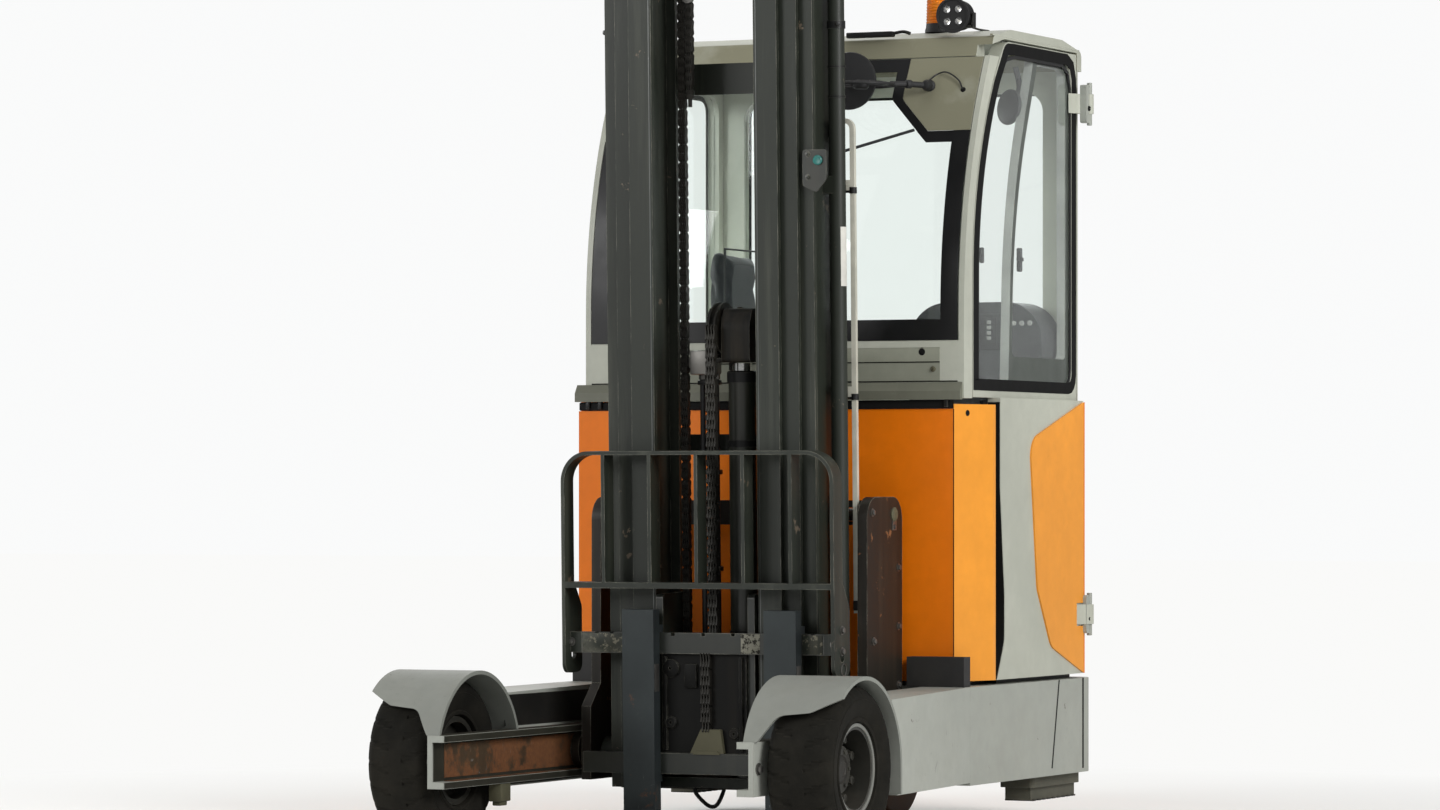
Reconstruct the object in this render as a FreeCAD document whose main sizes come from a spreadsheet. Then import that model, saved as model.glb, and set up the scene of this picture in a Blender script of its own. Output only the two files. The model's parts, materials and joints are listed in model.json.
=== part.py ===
"""Reach truck with an enclosed cab, as a parametric document.

Millimetres, +Z up, forks towards -Y, the driver's door on +X.  The document is drawn
with Y = 0 at the front ends of the two load arms; every sub-part is then placed so
that the origin lies on the floor under the middle of the truck's length and width.
"""
import FreeCAD, Part
import math
import os
import Sketcher

# ---------------------------------------------------------------- driving sizes
SIZES = (
    # load arms
    ("arm_outer_x", 500, "outer face of a load arm from the middle of the truck"),
    ("arm_depth", 50, "width of the arm's channel section"),
    ("arm_web", 15, "thickness of the channel's web"),
    ("arm_flange", 19, "thickness of the channel's flanges"),
    ("arm_bottom", 161, "underside of the arm above the floor"),
    ("arm_height", 149, "height of the channel section"),
    # load wheels and their guards
    ("axle_y", 250, "load wheel axle behind the arm ends"),
    ("tyre_diameter", 458, "outside diameter of a load tyre"),
    ("tyre_width", 194, "width of a load tyre"),
    ("tyre_outer_x", 713, "outer face of a load tyre"),
    ("rim_diameter", 250, "outside diameter of the load wheel rim"),
    ("rim_width", 150, "width of the load wheel rim"),
    ("rim_wall", 15, "thickness of the rim's barrel"),
    ("wheel_disc", 16, "thickness of the wheel disc"),
    ("wheel_disc_inset", 60, "wheel disc from the tyre's inner face"),
    ("hub_length", 120, "length of the wheel hub"),
    ("hub_inset", 10, "hub from the tyre's inner face"),
    ("hub_cap", 14, "thickness of the hub's end cap"),
    ("tyre_shoulder", 22, "radius of the tyre's shoulders"),
    ("axle_gap", 1, "running gap between hub and axle"),
    ("hub_diameter", 130, "diameter of the hub's end cap"),
    ("axle_diameter", 70, "stub axle diameter"),
    ("guard_gap", 16, "gap between tyre and wheel guard"),
    ("guard_sheet", 11, "thickness of the wheel guard sheet"),
    ("guard_outer_x", 723, "outer edge of a wheel guard"),
    ("guard_inner_x", 466, "inner edge of a wheel guard"),
    ("guard_nose_x", 506, "outer edge of the guard's strip that runs down to the arm"),
    ("guard_lip_x", 553, "where the guard's trimmed front edge levels out"),
    ("guard_lip_z", 381, "height of the trimmed front edge"),
    ("guard_sweep_x", 645, "where the trimmed front edge starts to rise"),
    ("guard_sweep_z", 390, "height of the front edge there"),
    ("guard_brim_z", 428, "height of the front edge at the guard's outer side"),
    ("leg_gap", 2, "gap between wheel guard and leg box"),
    ("guard_rear_low", 150, "lower end of the guard behind the tyre"),
    ("guard_radius_soft", 40, "radius of the bends in the guard's front edge"),
    ("leg_overlap", 49, "how far the leg box reaches forward round the guard"),
    # leg boxes and chassis
    ("leg_outer_x", 712, "outer face of the leg box behind the wheel"),
    ("leg_front_top", 414, "top of the leg box behind the wheel"),
    ("leg_bottom", 146, "underside of the leg boxes"),
    ("chassis_front_y", 1200, "front wall of the chassis, where the tapering legs meet it"),
    ("chassis_rear_y", 2202, "rear face of the chassis"),
    ("chassis_half_width", 640, "half width of the chassis"),
    ("chassis_bottom", 138, "underside of the chassis skirts"),
    ("chassis_top", 424, "top of the chassis deck"),
    ("skirt_thickness", 20, "thickness of the chassis side plates"),
    ("deck_thickness", 24, "thickness of the chassis deck"),
    ("tail_thickness", 150, "thickness of the tail casting"),
    ("chassis_corner", 70, "radius of the chassis' rear corners"),
    # drive unit
    ("drive_x", 90, "steering axis of the drive unit from the middle"),
    ("drive_y", 1810, "steering axis of the drive unit behind the arm ends"),
    ("drive_wheel_diameter", 360, "outside diameter of the drive wheel"),
    ("drive_wheel_width", 140, "width of the drive wheel"),
    ("drive_hub_diameter", 210, "diameter of the drive wheel's hub"),
    ("drive_gear_thickness", 46, "thickness of the gear leg beside the drive wheel"),
    ("drive_turntable_diameter", 300, "diameter of the steering turntable"),
    ("drive_turntable_height", 30, "height of the steering turntable"),
    ("drive_gap", 6, "running gap beside and above the drive wheel"),
    ("drive_leg_width", 150, "width of the gear leg"),
    ("drive_shoulder", 16, "radius of the drive tyre's shoulders"),
    # foot plates
    ("foot_front_y", 1766, "front of the foot plates"),
    ("foot_rear_y", 2150, "rear of the foot plates"),
    ("foot_outer_x", 610, "outer edge of the foot plates"),
    ("foot_width", 110, "width of the foot plates"),
    ("foot_pad_bottom", 67, "underside of the rubber foot pads"),
    ("foot_plate_bottom", 104, "underside of the foot plates"),
    ("foot_radius", 14, "corner radius of the foot plates"),
    # battery and lower body
    ("battery_width", 1150, "battery across the truck"),
    ("battery_left_x", -600, "left end of the battery"),
    ("battery_length", 283, "battery along the truck"),
    ("battery_height", 784, "battery height"),
    ("battery_gap", 6, "gap round the battery"),
    ("body_half_width", 635, "half width of the lower body"),
    ("body_front_y", 1220, "front face of the lower body"),
    ("cover_thickness", 16, "thickness of the lower body panels"),
    ("cover_bottom", 438, "lower edge of the lower body panels"),
    ("cover_top", 1231, "upper edge of the front cover"),
    ("corner_front_x", 580, "where the slanted corner panel starts"),
    ("corner_rear_y", 1390, "where the slanted corner panel ends"),
    ("corner_top", 1245, "upper edge of the slanted corner panel"),
    ("corner_end_y", 1408, "rear edge of the corner panel, before the door"),
    ("floor_right_x", 587, "right edge of the cab floor, inside the door"),
    ("floor_height", 40, "thickness of the cab floor on the deck"),
    ("hood_top", 1215, "underside of the hood over the battery"),
    ("bumper_outer_x", 632, "outer end of the corner bumpers"),
    ("body_top", 1262, "top of the lower body, where the cab frame starts"),
    ("body_rear_y", 2150, "rear face of the lower body"),
    ("body_corner", 30, "radius of the rear corners of body and cab"),
    ("sill_thickness", 20, "thickness of the wall behind the battery"),
    ("bumper_height", 87, "height of the black corner bumpers"),
    ("bumper_length", 48, "length of the corner bumpers along the truck"),
    ("bumper_inner_x", 452, "inner end of the corner bumpers"),
    # cab
    ("cab_half_width", 612, "half width of the cab"),
    ("cab_rear_y", 2150, "rear face of the cab"),
    ("cab_front_y", 1221, "front face of the cab below its bend"),
    ("cab_corner", 30, "radius of the cab's front corners"),
    ("cab_wall", 40, "thickness of the cab's walls and door"),
    ("cab_bend_z", 1912, "height of the bend point of the cab's front"),
    ("cab_brow_y", 203, "how far the front has leant back at the roof"),
    ("cab_brow_z", 2271, "lower edge of the roof band"),
    ("roof_top", 2357, "top of the roof"),
    ("roof_skin", 30, "thickness of the roof"),
    ("roof_band_lean", 26, "how far the roof band leans back"),
    ("roof_edge_z", 2330, "height of the roof's edge"),
    ("roof_bend", 20, "radius of the roof's front and rear edges"),
    ("roof_crown_y", 160, "how far the roof's slope to its crown reaches"),
    ("roof_rear_overhang", 6, "how far the roof stands out at the rear"),
    ("front_panel_top", 1430, "top of the sheet below the windscreen"),
    ("front_panel_bottom", 1312, "bottom of the sheet below the windscreen"),
    ("ledge_front_y", 1204, "front lip of the ledge below the cab"),
    ("ledge_left_x", -641, "left end of the ledge"),
    ("ledge_right_x", 607, "right end of the ledge"),
    ("ledge_lip_bottom", 1258, "lower edge of the ledge's lip"),
    ("ledge_lip_top", 1284, "upper edge of the ledge's lip"),
    ("ledge_top", 1309, "where the sloping ledge meets the cab"),
    ("pillar_width", 76, "width of the front pillars behind the windscreen"),
    ("glass", 6, "thickness of the window panes"),
    ("glass_gap", 3, "gap round a window pane"),
    ("screen_edge", 20, "strip of pillar left outside the windscreen"),
    ("screen_low", 1470, "lower edge of the opening behind the windscreen"),
    ("screen_head", 20, "height of the frame bar over the windscreen opening"),
    ("plate_left_x", 360, "left edge of the lamp plate at the windscreen's corner"),
    ("plate_bend_x", 457, "where the lamp plate's lower edge starts"),
    ("plate_low", 2047, "lower edge of the lamp plate"),
    ("plate_bend_z", 2145, "height of the lamp plate's left lower corner"),
    ("plate_seal", 14, "width of the seal between lamp plate and windscreen"),
    ("side_window_front_y", 1320, "front of the left side window"),
    ("side_window_rear_y", 2080, "rear of the left side window"),
    ("side_window_lean", 125, "how far the side window's upper front corner stands back"),
    ("side_window_low", 1330, "lower edge of the side windows"),
    ("side_window_high", 2225, "upper edge of the left side window"),
    ("window_corner", 60, "corner radius of the side windows"),
    ("rear_window_half", 500, "half width of the rear window"),
    ("rear_window_low", 1400, "lower edge of the rear window"),
    ("rear_window_high", 2210, "upper edge of the rear window"),
    # door
    ("door_front_y", 1290, "front edge of the door's window part"),
    ("door_rear_y", 2112, "rear edge of the door"),
    ("door_top", 2320, "upper edge of the door"),
    ("door_bottom", 438, "lower edge of the door"),
    ("door_bend_z", 1974, "height of the bend point of the door's front edge"),
    ("door_brow_y", 245, "how far the door's front edge has leant back at its top"),
    ("door_neck_y", 1444, "front edge of the door's lower part"),
    ("door_neck_z", 1000, "height where that edge starts to run in"),
    ("door_toe_y", 1419, "front edge of the door at its bottom"),
    ("door_waist_rise", 70, "half height of the straight part of the waist"),
    ("door_waist_y", 1478, "front edge at the lower part's waist"),
    ("door_waist_z", 620, "height of that waist"),
    ("door_step_z", 1266, "height of the step in the door's front edge"),
    ("door_gap", 6, "gap round the door"),
    ("door_frame", 26, "width of the frame round the door's window"),
    ("door_frame_low", 40, "width of the frame below the door's window"),
    ("door_rear_frame", 44, "width of the frame behind the door's window"),
    ("door_corner", 70, "upper front corner radius of the door"),
    ("insert_thickness", 5, "thickness of the coloured insert on the door"),
    ("insert_rear_y", 2104, "rear edge of the insert"),
    ("insert_top_z", 1262, "upper rear corner of the insert"),
    ("insert_front_y", 1670, "foremost corner of the insert"),
    ("insert_front_z", 1143, "height of that corner"),
    ("insert_bow_y", 1728, "front edge of the insert at its bow"),
    ("insert_bow_z", 700, "height of that bow"),
    ("insert_toe_y", 1840, "lower front corner of the insert"),
    ("insert_toe_z", 525, "height of that lower corner"),
    ("insert_low_z", 440, "lower rear corner of the insert"),
    ("stile_width", 24, "width of the inner window frame"),
    ("stile_foot", 84, "height of the inner window frame's lower band"),
    ("stile_low_y", 1584, "front of the inner window frame at its foot"),
    ("stile_mid_y", 1612, "front of the inner window frame at its bend"),
    ("stile_mid_z", 1850, "height of that bend"),
    ("stile_high_y", 1790, "front of the inner window frame at its top"),
    ("hinge_x", 648, "door hinge axis from the middle"),
    ("hinge_y", 2132, "door hinge axis behind the arm ends"),
    ("hinge_pin", 14, "door hinge pin diameter"),
    ("hinge_eye", 26, "door hinge eye diameter"),
    ("hinge_high_z", 2170, "middle of the upper door hinge"),
    ("hinge_low_z", 617, "middle of the lower door hinge"),
    ("hinge_height", 120, "height of a door hinge"),
    ("hinge_leaf", 60, "height of the hinge's leaf on the door"),
    ("hinge_play", 5, "gap above and below the leaf"),
    # seat and controls
    ("seat_y", 1800, "middle of the seat behind the arm ends"),
    ("seat_width", 460, "width of the seat"),
    ("seat_back_x", -430, "rear face of the backrest from the middle"),
    ("seat_back", 80, "thickness of the backrest"),
    ("seat_depth", 520, "backrest and cushion together, front to back"),
    ("seat_z", 850, "top of the seat base"),
    ("seat_cushion", 100, "thickness of the seat cushion"),
    ("seat_soft", 25, "radius of the cushion's upper edges"),
    ("back_low_z", 900, "lower edge of the backrest"),
    ("back_high_z", 1440, "upper edge of the backrest"),
    ("headrest_depth", 70, "thickness of the headrest"),
    ("headrest_width", 280, "width of the headrest"),
    ("headrest_low_z", 1475, "lower edge of the headrest"),
    ("headrest_high_z", 1745, "upper edge of the headrest"),
    ("headrest_post", 14, "diameter of the headrest's posts"),
    ("console_depth", 160, "depth of the rear console"),
    ("console_left_x", 130, "left end of the rear console"),
    ("console_right_x", 560, "right end of the rear console"),
    ("console_top", 1565, "top of the rear console"),
    ("console_round", 120, "radius of the console's upper corners"),
    ("pod_x", 330, "middle of the steering pod"),
    ("pod_width", 300, "width of the steering pod"),
    ("pod_z", 1120, "top of the steering pod"),
    ("pod_height", 160, "height of the steering pod at the wall"),
    ("pod_depth", 190, "depth of the steering pod"),
    ("steering_diameter", 180, "diameter of the steering wheel"),
    ("steering_rim", 18, "thickness of the steering wheel's rim"),
    ("steering_rise", 40, "steering wheel above the pod"),
    # lamps
    ("beacon_x", 375, "beacon from the middle"),
    ("beacon_y", 1600, "beacon behind the arm ends"),
    ("beacon_diameter", 84, "diameter of the beacon's lens"),
    ("beacon_flange", 16, "how far the beacon's base stands out"),
    ("beacon_base", 26, "height of the beacon's base"),
    ("beacon_height", 110, "height of the beacon's lens"),
    ("spot_x", 490, "spotlight from the middle"),
    ("spot_y", 1450, "middle of the spotlight behind the arm ends"),
    ("spot_z", 2394, "middle of the spotlight above the floor"),
    ("spot_diameter", 108, "diameter of the spotlight"),
    ("spot_depth", 50, "depth of the spotlight"),
    ("spot_bracket", 8, "thickness of the spotlight's bracket"),
    ("bracket_width", 30, "width of small brackets"),
    ("lamp_x", 270, "guarded lamp from the middle"),
    ("lamp_y", 1258, "guarded lamp behind the arm ends"),
    ("lamp_z", 2183, "guarded lamp above the floor"),
    ("lamp_diameter", 210, "diameter of the guarded lamp's guard"),
    ("lamp_height", 30, "height of the guarded lamp"),
    ("lamp_ball_x", 445, "ball joint of the guarded lamp's arm from the middle"),
    ("lamp_ball_y", 1354, "ball joint of the guarded lamp behind the arm ends"),
    ("arm_step", 22, "width of the guarded lamp's arm"),
    # mast: staggered I sections, drawn upright and leant about the tilt axis
    ("mast_lean", 1.3, "forward lean of the mast, in degrees"),
    ("tilt_y", 934, "tilt axis behind the arm ends"),
    ("tilt_z", 225, "tilt axis above the floor"),
    ("rail_front_y", 780, "front face of the inner rails"),
    ("rail_depth", 180, "depth of the rails"),
    ("rail_flange", 15, "thickness of the rail flanges"),
    ("rail_web", 15, "thickness of the rail webs"),
    ("rail_gap", 5, "running gap between nested rails"),
    ("inner_rail_x", 162, "inner edge of the inner rails' flanges"),
    ("inner_rail_width", 73, "flange width of the inner rails"),
    ("inner_web_x", 192, "inner face of the inner rails' webs"),
    ("middle_rail_x", 222, "inner edge of the middle rails' flanges"),
    ("middle_rail_width", 66, "flange width of the middle rails"),
    ("middle_web_x", 248, "inner face of the middle rails' webs"),
    ("outer_rail_x", 276, "inner edge of the outer rails' flanges"),
    ("outer_rail_width", 53, "flange width of the outer rails"),
    ("outer_web_x", 302, "inner face of the outer rails' webs"),
    ("mast_bottom", 135, "lower end of the rails"),
    ("mast_top", 2790, "upper end of the rails"),
    ("tie_thickness", 15, "thickness of the mast's cross ties"),
    ("tie_low_z", 300, "lower edge of the lowest cross tie"),
    ("tie_low_height", 120, "height of the lowest cross ties"),
    ("tie_middle_z", 1106, "lower edge of the middle cross tie"),
    ("tie_middle_height", 50, "height of the middle cross tie"),
    ("tie_upper_z", 2144, "lower edge of the upper cross tie"),
    ("tie_upper_height", 90, "height of the upper cross tie"),
    ("tie_top_height", 60, "height of the cross ties at the top of the moving stages"),
    ("roller_play", 30, "room beside the mast rollers between the rails' flanges"),
    ("roller_width", 26, "width of the mast rollers"),
    ("roller_pin", 34, "diameter of the roller pins"),
    ("roller_end", 12, "rollers from the ends of the rails"),
    ("roller_inset", 8, "rollers from the web that carries them"),
    ("lug_gap", 12, "running gap beside lugs, eyes and cylinder ends"),
    ("seat_gap", 0.4, "gap between a roller and the flange it runs on"),
    ("lift_cylinder_x", 354, "main lift cylinders from the middle"),
    ("lift_cylinder_inset", 26, "main lift cylinders before the inner rails' rear edges"),
    ("lift_cylinder_diameter", 48, "outside diameter of the main lift cylinders"),
    ("lift_rod_diameter", 32, "diameter of the main lift rods"),
    ("lift_cylinder_top", 2600, "upper end of the main lift cylinders"),
    ("rod_gap", 1, "running gap round a piston rod"),
    ("yoke_height", 26, "height of the yokes on top of the middle stage"),
    ("free_cylinder_x", 62, "free lift cylinder from the middle"),
    ("free_cylinder_inset", 55, "free lift cylinder before the inner rails' rear edges"),
    ("free_cylinder_diameter", 82, "outside diameter of the free lift cylinder"),
    ("free_rod_diameter", 54, "diameter of the free lift rod"),
    ("free_cylinder_top", 1336, "upper end of the free lift cylinder"),
    ("free_head_bottom", 1362, "underside of the free lift head"),
    ("free_head_top", 1524, "top of the free lift head"),
    ("head_left_x", -20, "left side of the free lift head"),
    ("head_right_x", 125, "right side of the free lift head"),
    ("head_depth", 130, "depth of the free lift head"),
    ("head_inset", 10, "free lift head before the inner rails' rear edges"),
    ("pipe_clamp_low_z", 1262, "lower pipe clamp"),
    ("pipe_clamp_high_z", 1855, "upper pipe clamp"),
    ("pipe_x", 388, "hydraulic pipe from the middle"),
    ("pipe_outset", 8, "hydraulic pipe behind the inner rails' rear edges"),
    ("pipe_diameter", 14, "diameter of the hydraulic pipe"),
    ("pipe_top", 2055, "top of the hydraulic pipe's bend"),
    ("pipe_bottom", 640, "lower end of the hydraulic pipe"),
    ("pipe_bend", 30, "bend radius of the hydraulic pipe"),
    # fork carriage
    ("fork_bottom", 30, "underside of the forks at the heel"),
    ("bar_offset", 152, "lower edge of the carriage above the underside of the forks"),
    ("carriage_height", 407, "height over both fork bars"),
    ("bar_height", 60, "height of a fork bar"),
    ("bar_thickness", 28, "thickness of a fork bar"),
    ("bar_half_length", 383, "half length of the fork bars"),
    ("bar_gap", 11, "gap between fork bars and inner rails"),
    ("carriage_plate_x", 134, "inner face of the carriage side plates"),
    ("carriage_plate", 22, "thickness of the carriage side plates"),
    ("carriage_inset", 20, "carriage side plates before the inner rails' rear edges"),
    ("anchor_plate", 12, "thickness of the plate between the carriage's side plates"),
    ("carriage_top", 700, "top of the carriage side plates"),
    ("fork_width", 100, "width of a fork"),
    ("fork_thickness", 40, "thickness of a fork"),
    ("fork_length", 1150, "length of the fork blades"),
    ("fork_tip", 10, "thickness of a fork at its tip"),
    ("fork_top", 656, "top of the fork shanks"),
    ("fork_spread", 448, "distance between the fork centres"),
    ("fork_shift", 40, "how far the fork pair stands off centre"),
    ("fork_hook", 22, "height of the fork's hooks"),
    ("hook_inset", 3, "fork hooks from the rear faces of the bars"),
    ("fork_heel", 45, "outer radius of the fork heel"),
    ("rest_half_width", 431, "half width of the load guard"),
    ("rest_top", 1112, "top of the load guard"),
    ("rest_bar", 11, "thickness of the load guard's flat bars"),
    ("rest_depth", 60, "width of the load guard's flat bars"),
    ("rest_low", 717, "lower cross bar of the load guard"),
    ("rest_low_height", 17, "height of the load guard's lower cross bar"),
    ("rest_corner", 88, "outer corner radius of the load guard"),
    ("rest_pitch", 148, "spacing of the load guard's upright bars"),
    ("rest_upright", 11, "thickness of the load guard's upright bars"),
    ("rest_foot", 470, "lower end of the load guard's side plates"),
    ("rest_eye", 30, "diameter of the eyes in the side plates"),
    ("rest_foot_depth", 108, "width of the load guard's side plates"),
    # reach carriage
    ("tower_inner_x", 410, "inner face of the tower plates"),
    ("tower_thickness", 30, "thickness of the tower plates"),
    ("tower_rear_y", 1167, "rear edge of the tower plates"),
    ("tower_front_y", 912, "front edge of the tower plates"),
    ("tower_foot_y", 846, "front edge of the tower plates at their foot"),
    ("tower_knee_z", 430, "height where the tower plates widen towards the foot"),
    ("tower_top", 975, "top of the tower plates"),
    ("tower_bottom", 150, "underside of the tower plates"),
    ("tower_corner", 66, "corner radius at the top of the tower plates"),
    ("beam_low", 118, "underside of the reach carriage's lower beam"),
    ("beam_height", 130, "height of the lower beam"),
    ("beam_inset", 7, "lower beam from the rear edge of the towers"),
    ("beam_front_y", 1050, "front of the lower beam"),
    ("cross_low", 893, "underside of the reach carriage's upper cross bar"),
    ("cross_height", 72, "height of the upper cross bar"),
    ("cross_depth", 28, "depth of the upper cross bar"),
    ("reach_roller_play", 1, "play of the reach rollers in their channels"),
    ("reach_roller_width", 26, "width of the reach rollers"),
    ("reach_roller_front_y", 905, "front reach rollers behind the arm ends"),
    ("reach_roller_rear_y", 1110, "rear reach rollers behind the arm ends"),
    ("tilt_pin_diameter", 46, "diameter of the tilt pins"),
    ("tilt_lug_diameter", 96, "diameter of the mast's tilt lugs"),
    ("tilt_top_z", 923, "height of the tilt cylinders"),
    ("tilt_top_y", 1106, "rear pins of the tilt cylinders"),
    ("tilt_pin_x", 345, "inner end of the tilt pins"),
    ("tilt_eye_y", 985, "eyes of the tilt rods at the mast"),
    ("tilt_eye_diameter", 40, "diameter of the tilt rods' eyes"),
    ("tilt_eye_width", 20, "width of the tilt rods' eyes"),
    ("tilt_play", 3, "gap between the tilt rods and the mast's cheeks"),
    ("tilt_eye_pin", 20, "diameter of the pins in these eyes"),
    ("tilt_eye_play", 3.6, "play of the pins in these eyes, which the mast's arc needs"),
    ("tilt_eye_drop", 2.1, "how far the middle of these bores lies below the pins at rest"),
    ("tilt_barrel_y", 1048, "front end of the tilt cylinders"),
    ("tilt_rod_end_y", 1068, "rear end of the tilt rods inside the cylinders"),
    ("tilt_x", 366, "tilt cylinders from the middle"),
    ("tilt_cylinder_diameter", 56, "outside diameter of the tilt cylinders"),
    ("tilt_rod_diameter", 30, "diameter of the tilt rods"),
)

doc = FreeCAD.newDocument("reach_truck")
sheet = doc.addObject("Spreadsheet::Sheet", "sizes")
for row, (alias, value, note) in enumerate(SIZES, 1):
    sheet.set("A%d" % row, alias)
    sheet.set("B%d" % row, str(value))
    sheet.setAlias("B%d" % row, alias)
    sheet.set("C%d" % row, note)
doc.recompute()


class Size:
    """A length with its value now and the sheet expression that it comes from."""

    def __init__(self, value, text):
        self.value = float(value)
        self.text = text

    @staticmethod
    def of(other):
        return other if isinstance(other, Size) else Size(other, repr(float(other)))

    def _join(self, other, sign, value):
        return Size(value, "(%s %s %s)" % (self.text, sign, other.text))

    def __add__(self, other):
        other = Size.of(other)
        return self._join(other, "+", self.value + other.value)

    def __sub__(self, other):
        other = Size.of(other)
        return self._join(other, "-", self.value - other.value)

    def __mul__(self, other):
        other = Size.of(other)
        return self._join(other, "*", self.value * other.value)

    def __truediv__(self, other):
        other = Size.of(other)
        return self._join(other, "/", self.value / other.value)

    def __radd__(self, other):
        return Size.of(other) + self

    def __rsub__(self, other):
        return Size.of(other) - self

    def __rmul__(self, other):
        return Size.of(other) * self

    def __neg__(self):
        return Size(-self.value, "(-1 * %s)" % self.text)


class Sheet:
    """Gives each cell of the sheet as a Size, by its alias."""

    def __getattr__(self, alias):
        return Size(getattr(sheet, alias), "%s.%s" % (sheet.Name, alias))


s = Sheet()
PLANES = {"XY": ("XY_Plane", 1), "XZ": ("XZ_Plane", -1), "YZ": ("YZ_Plane", 1)}
Vector = FreeCAD.Vector


# ---------------------------------------------------------------- drawing tools
def new_body(label):
    """An empty body that may hold several solids that don't touch."""
    body = doc.addObject("PartDesign::Body", label)
    body.AllowCompound = True
    return body


def lock(sketch, geometry, point, u, v):
    """Ties one point of a sketch to the sheet."""
    for kind, size in (("DistanceX", Size.of(u)), ("DistanceY", Size.of(v))):
        number = sketch.addConstraint(
            Sketcher.Constraint(kind, -1, 1, geometry, point, size.value))
        sketch.setExpression("Constraints[%d]" % number, size.text)


def draw_circle(sketch, u, v, radius):
    """A circle with its centre and radius tied to the sheet."""
    u, v, radius = Size.of(u), Size.of(v), Size.of(radius)
    number = sketch.addGeometry(
        Part.Circle(Vector(u.value, v.value, 0), Vector(0, 0, 1), radius.value), False)
    lock(sketch, number, 3, u, v)
    ring = sketch.addConstraint(Sketcher.Constraint("Radius", number, radius.value))
    sketch.setExpression("Constraints[%d]" % ring, radius.text)


def draw_loop(sketch, corners):
    """A closed outline of straight runs.  A corner is (u, v) or (u, v, radius)."""
    places = [Vector(Size.of(c[0]).value, Size.of(c[1]).value, 0) for c in corners]
    count = len(corners)
    turns = []
    for i in range(count):
        before = places[i] - places[i - 1]
        after = places[(i + 1) % count] - places[i]
        before.normalize()
        after.normalize()
        turns.append((before, after, before.x * after.y - before.y * after.x))
    starts, ends, arcs = [], [], {}
    for i, corner in enumerate(corners):
        before, after, cross = turns[i]
        if len(corner) == 2:
            starts.append(places[i])
            ends.append(places[i])
            continue
        radius = Size.of(corner[2]).value
        angle = before.getAngle(after)
        reach = radius * math.tan(angle / 2)
        first, last = places[i] - before * reach, places[i] + after * reach
        side = 1 if cross > 0 else -1
        centre = first + Vector(-before.y, before.x, 0) * radius * side
        arcs[i] = (first, last, centre, radius, side)
        starts.append(last)
        ends.append(first)
    lines = []
    for i in range(count):
        run = Part.LineSegment(starts[i], ends[(i + 1) % count])
        lines.append(sketch.addGeometry(run, False))
    for i, corner in enumerate(corners):
        incoming, outgoing = lines[i - 1], lines[i]
        if i not in arcs:
            sketch.addConstraint(Sketcher.Constraint("Coincident", incoming, 2, outgoing, 1))
            lock(sketch, outgoing, 1, corner[0], corner[1])
            continue
        first, last, centre, radius, side = arcs[i]
        low, high = (first, last) if side > 0 else (last, first)
        circle = Part.Circle(centre, Vector(0, 0, 1), radius)
        arc = sketch.addGeometry(
            Part.ArcOfCircle(circle, circle.parameter(low), circle.parameter(high)), False)
        in_end, out_end = (1, 2) if side > 0 else (2, 1)
        sketch.addConstraint(Sketcher.Constraint("Tangent", incoming, 2, arc, in_end))
        sketch.addConstraint(Sketcher.Constraint("Tangent", outgoing, 1, arc, out_end))
        size = Size.of(corner[2])
        bend = sketch.addConstraint(Sketcher.Constraint("Radius", arc, radius))
        sketch.setExpression("Constraints[%d]" % bend, size.text)
        point = sketch.addGeometry(Part.Point(places[i]), True)
        lock(sketch, point, 1, corner[0], corner[1])
        sketch.addConstraint(Sketcher.Constraint("PointOnObject", point, 1, incoming))
        sketch.addConstraint(Sketcher.Constraint("PointOnObject", point, 1, outgoing))


def draw(body, plane, at, loops):
    """A sketch of closed loops on one of the body's own planes, moved to the place `at`."""
    role, sense = PLANES[plane]
    sketch = body.newObject("Sketcher::SketchObject", body.Label + "_sketch")
    support = next(f for f in body.Origin.OriginFeatures if f.Role == role)
    sketch.AttachmentSupport = [(support, "")]
    sketch.MapMode = "FlatFace"
    sketch.setExpression("AttachmentOffset.Base.z", (Size.of(at) * sense).text)
    for loop in loops:
        if loop[0] == "circle":
            draw_circle(sketch, *loop[1:])
        else:
            draw_loop(sketch, loop)
    return sketch


def add(body, plane, low, high, *loops):
    """Adds the loops' area to the body, from `low` to `high` along the plane's axis."""
    low, high = Size.of(low), Size.of(high)
    sketch = draw(body, plane, high if plane == "XZ" else low, loops)
    pad = body.newObject("PartDesign::Pad", body.Label + "_pad")
    pad.Profile = sketch
    pad.setExpression("Length", (high - low).text)
    finish(body, pad)
    return pad


def cut(body, plane, low, high, *loops):
    """Cuts the loops' area out of the body, from `low` to `high` along the plane's axis."""
    low, high = Size.of(low), Size.of(high)
    before = body.Shape.Volume
    sketch = draw(body, plane, low if plane == "XZ" else high, loops)
    pocket = body.newObject("PartDesign::Pocket", body.Label + "_pocket")
    pocket.Profile = sketch
    pocket.setExpression("Length", (high - low).text)
    finish(body, pocket)
    if body.Shape.Volume > before - 1:
        raise RuntimeError("a pocket of %s cuts nothing" % body.Label)
    return pocket


def turn(body, loop):
    """Turns a profile about the body's X axis: u runs along the axis, v is the radius."""
    sketch = draw(body, "XZ", 0, [loop])
    solid = body.newObject("PartDesign::Revolution", body.Label + "_turned")
    solid.Profile = sketch
    solid.ReferenceAxis = (sketch, ["H_Axis"])
    solid.Angle = 360
    finish(body, solid)
    return solid


def round_edges(body, radius, wanted):
    """Rounds those edges of the body's solid for which wanted(edge) is true."""
    base = body.Tip
    names = ["Edge%d" % i for i, edge in enumerate(base.Shape.Edges, 1) if wanted(edge)]
    if not names:
        raise RuntimeError("no edge to round on " + body.Label)
    fillet = body.newObject("PartDesign::Fillet", body.Label + "_fillet")
    fillet.Base = (base, names)
    fillet.setExpression("Radius", Size.of(radius).text)
    finish(body, fillet)
    return fillet


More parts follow.
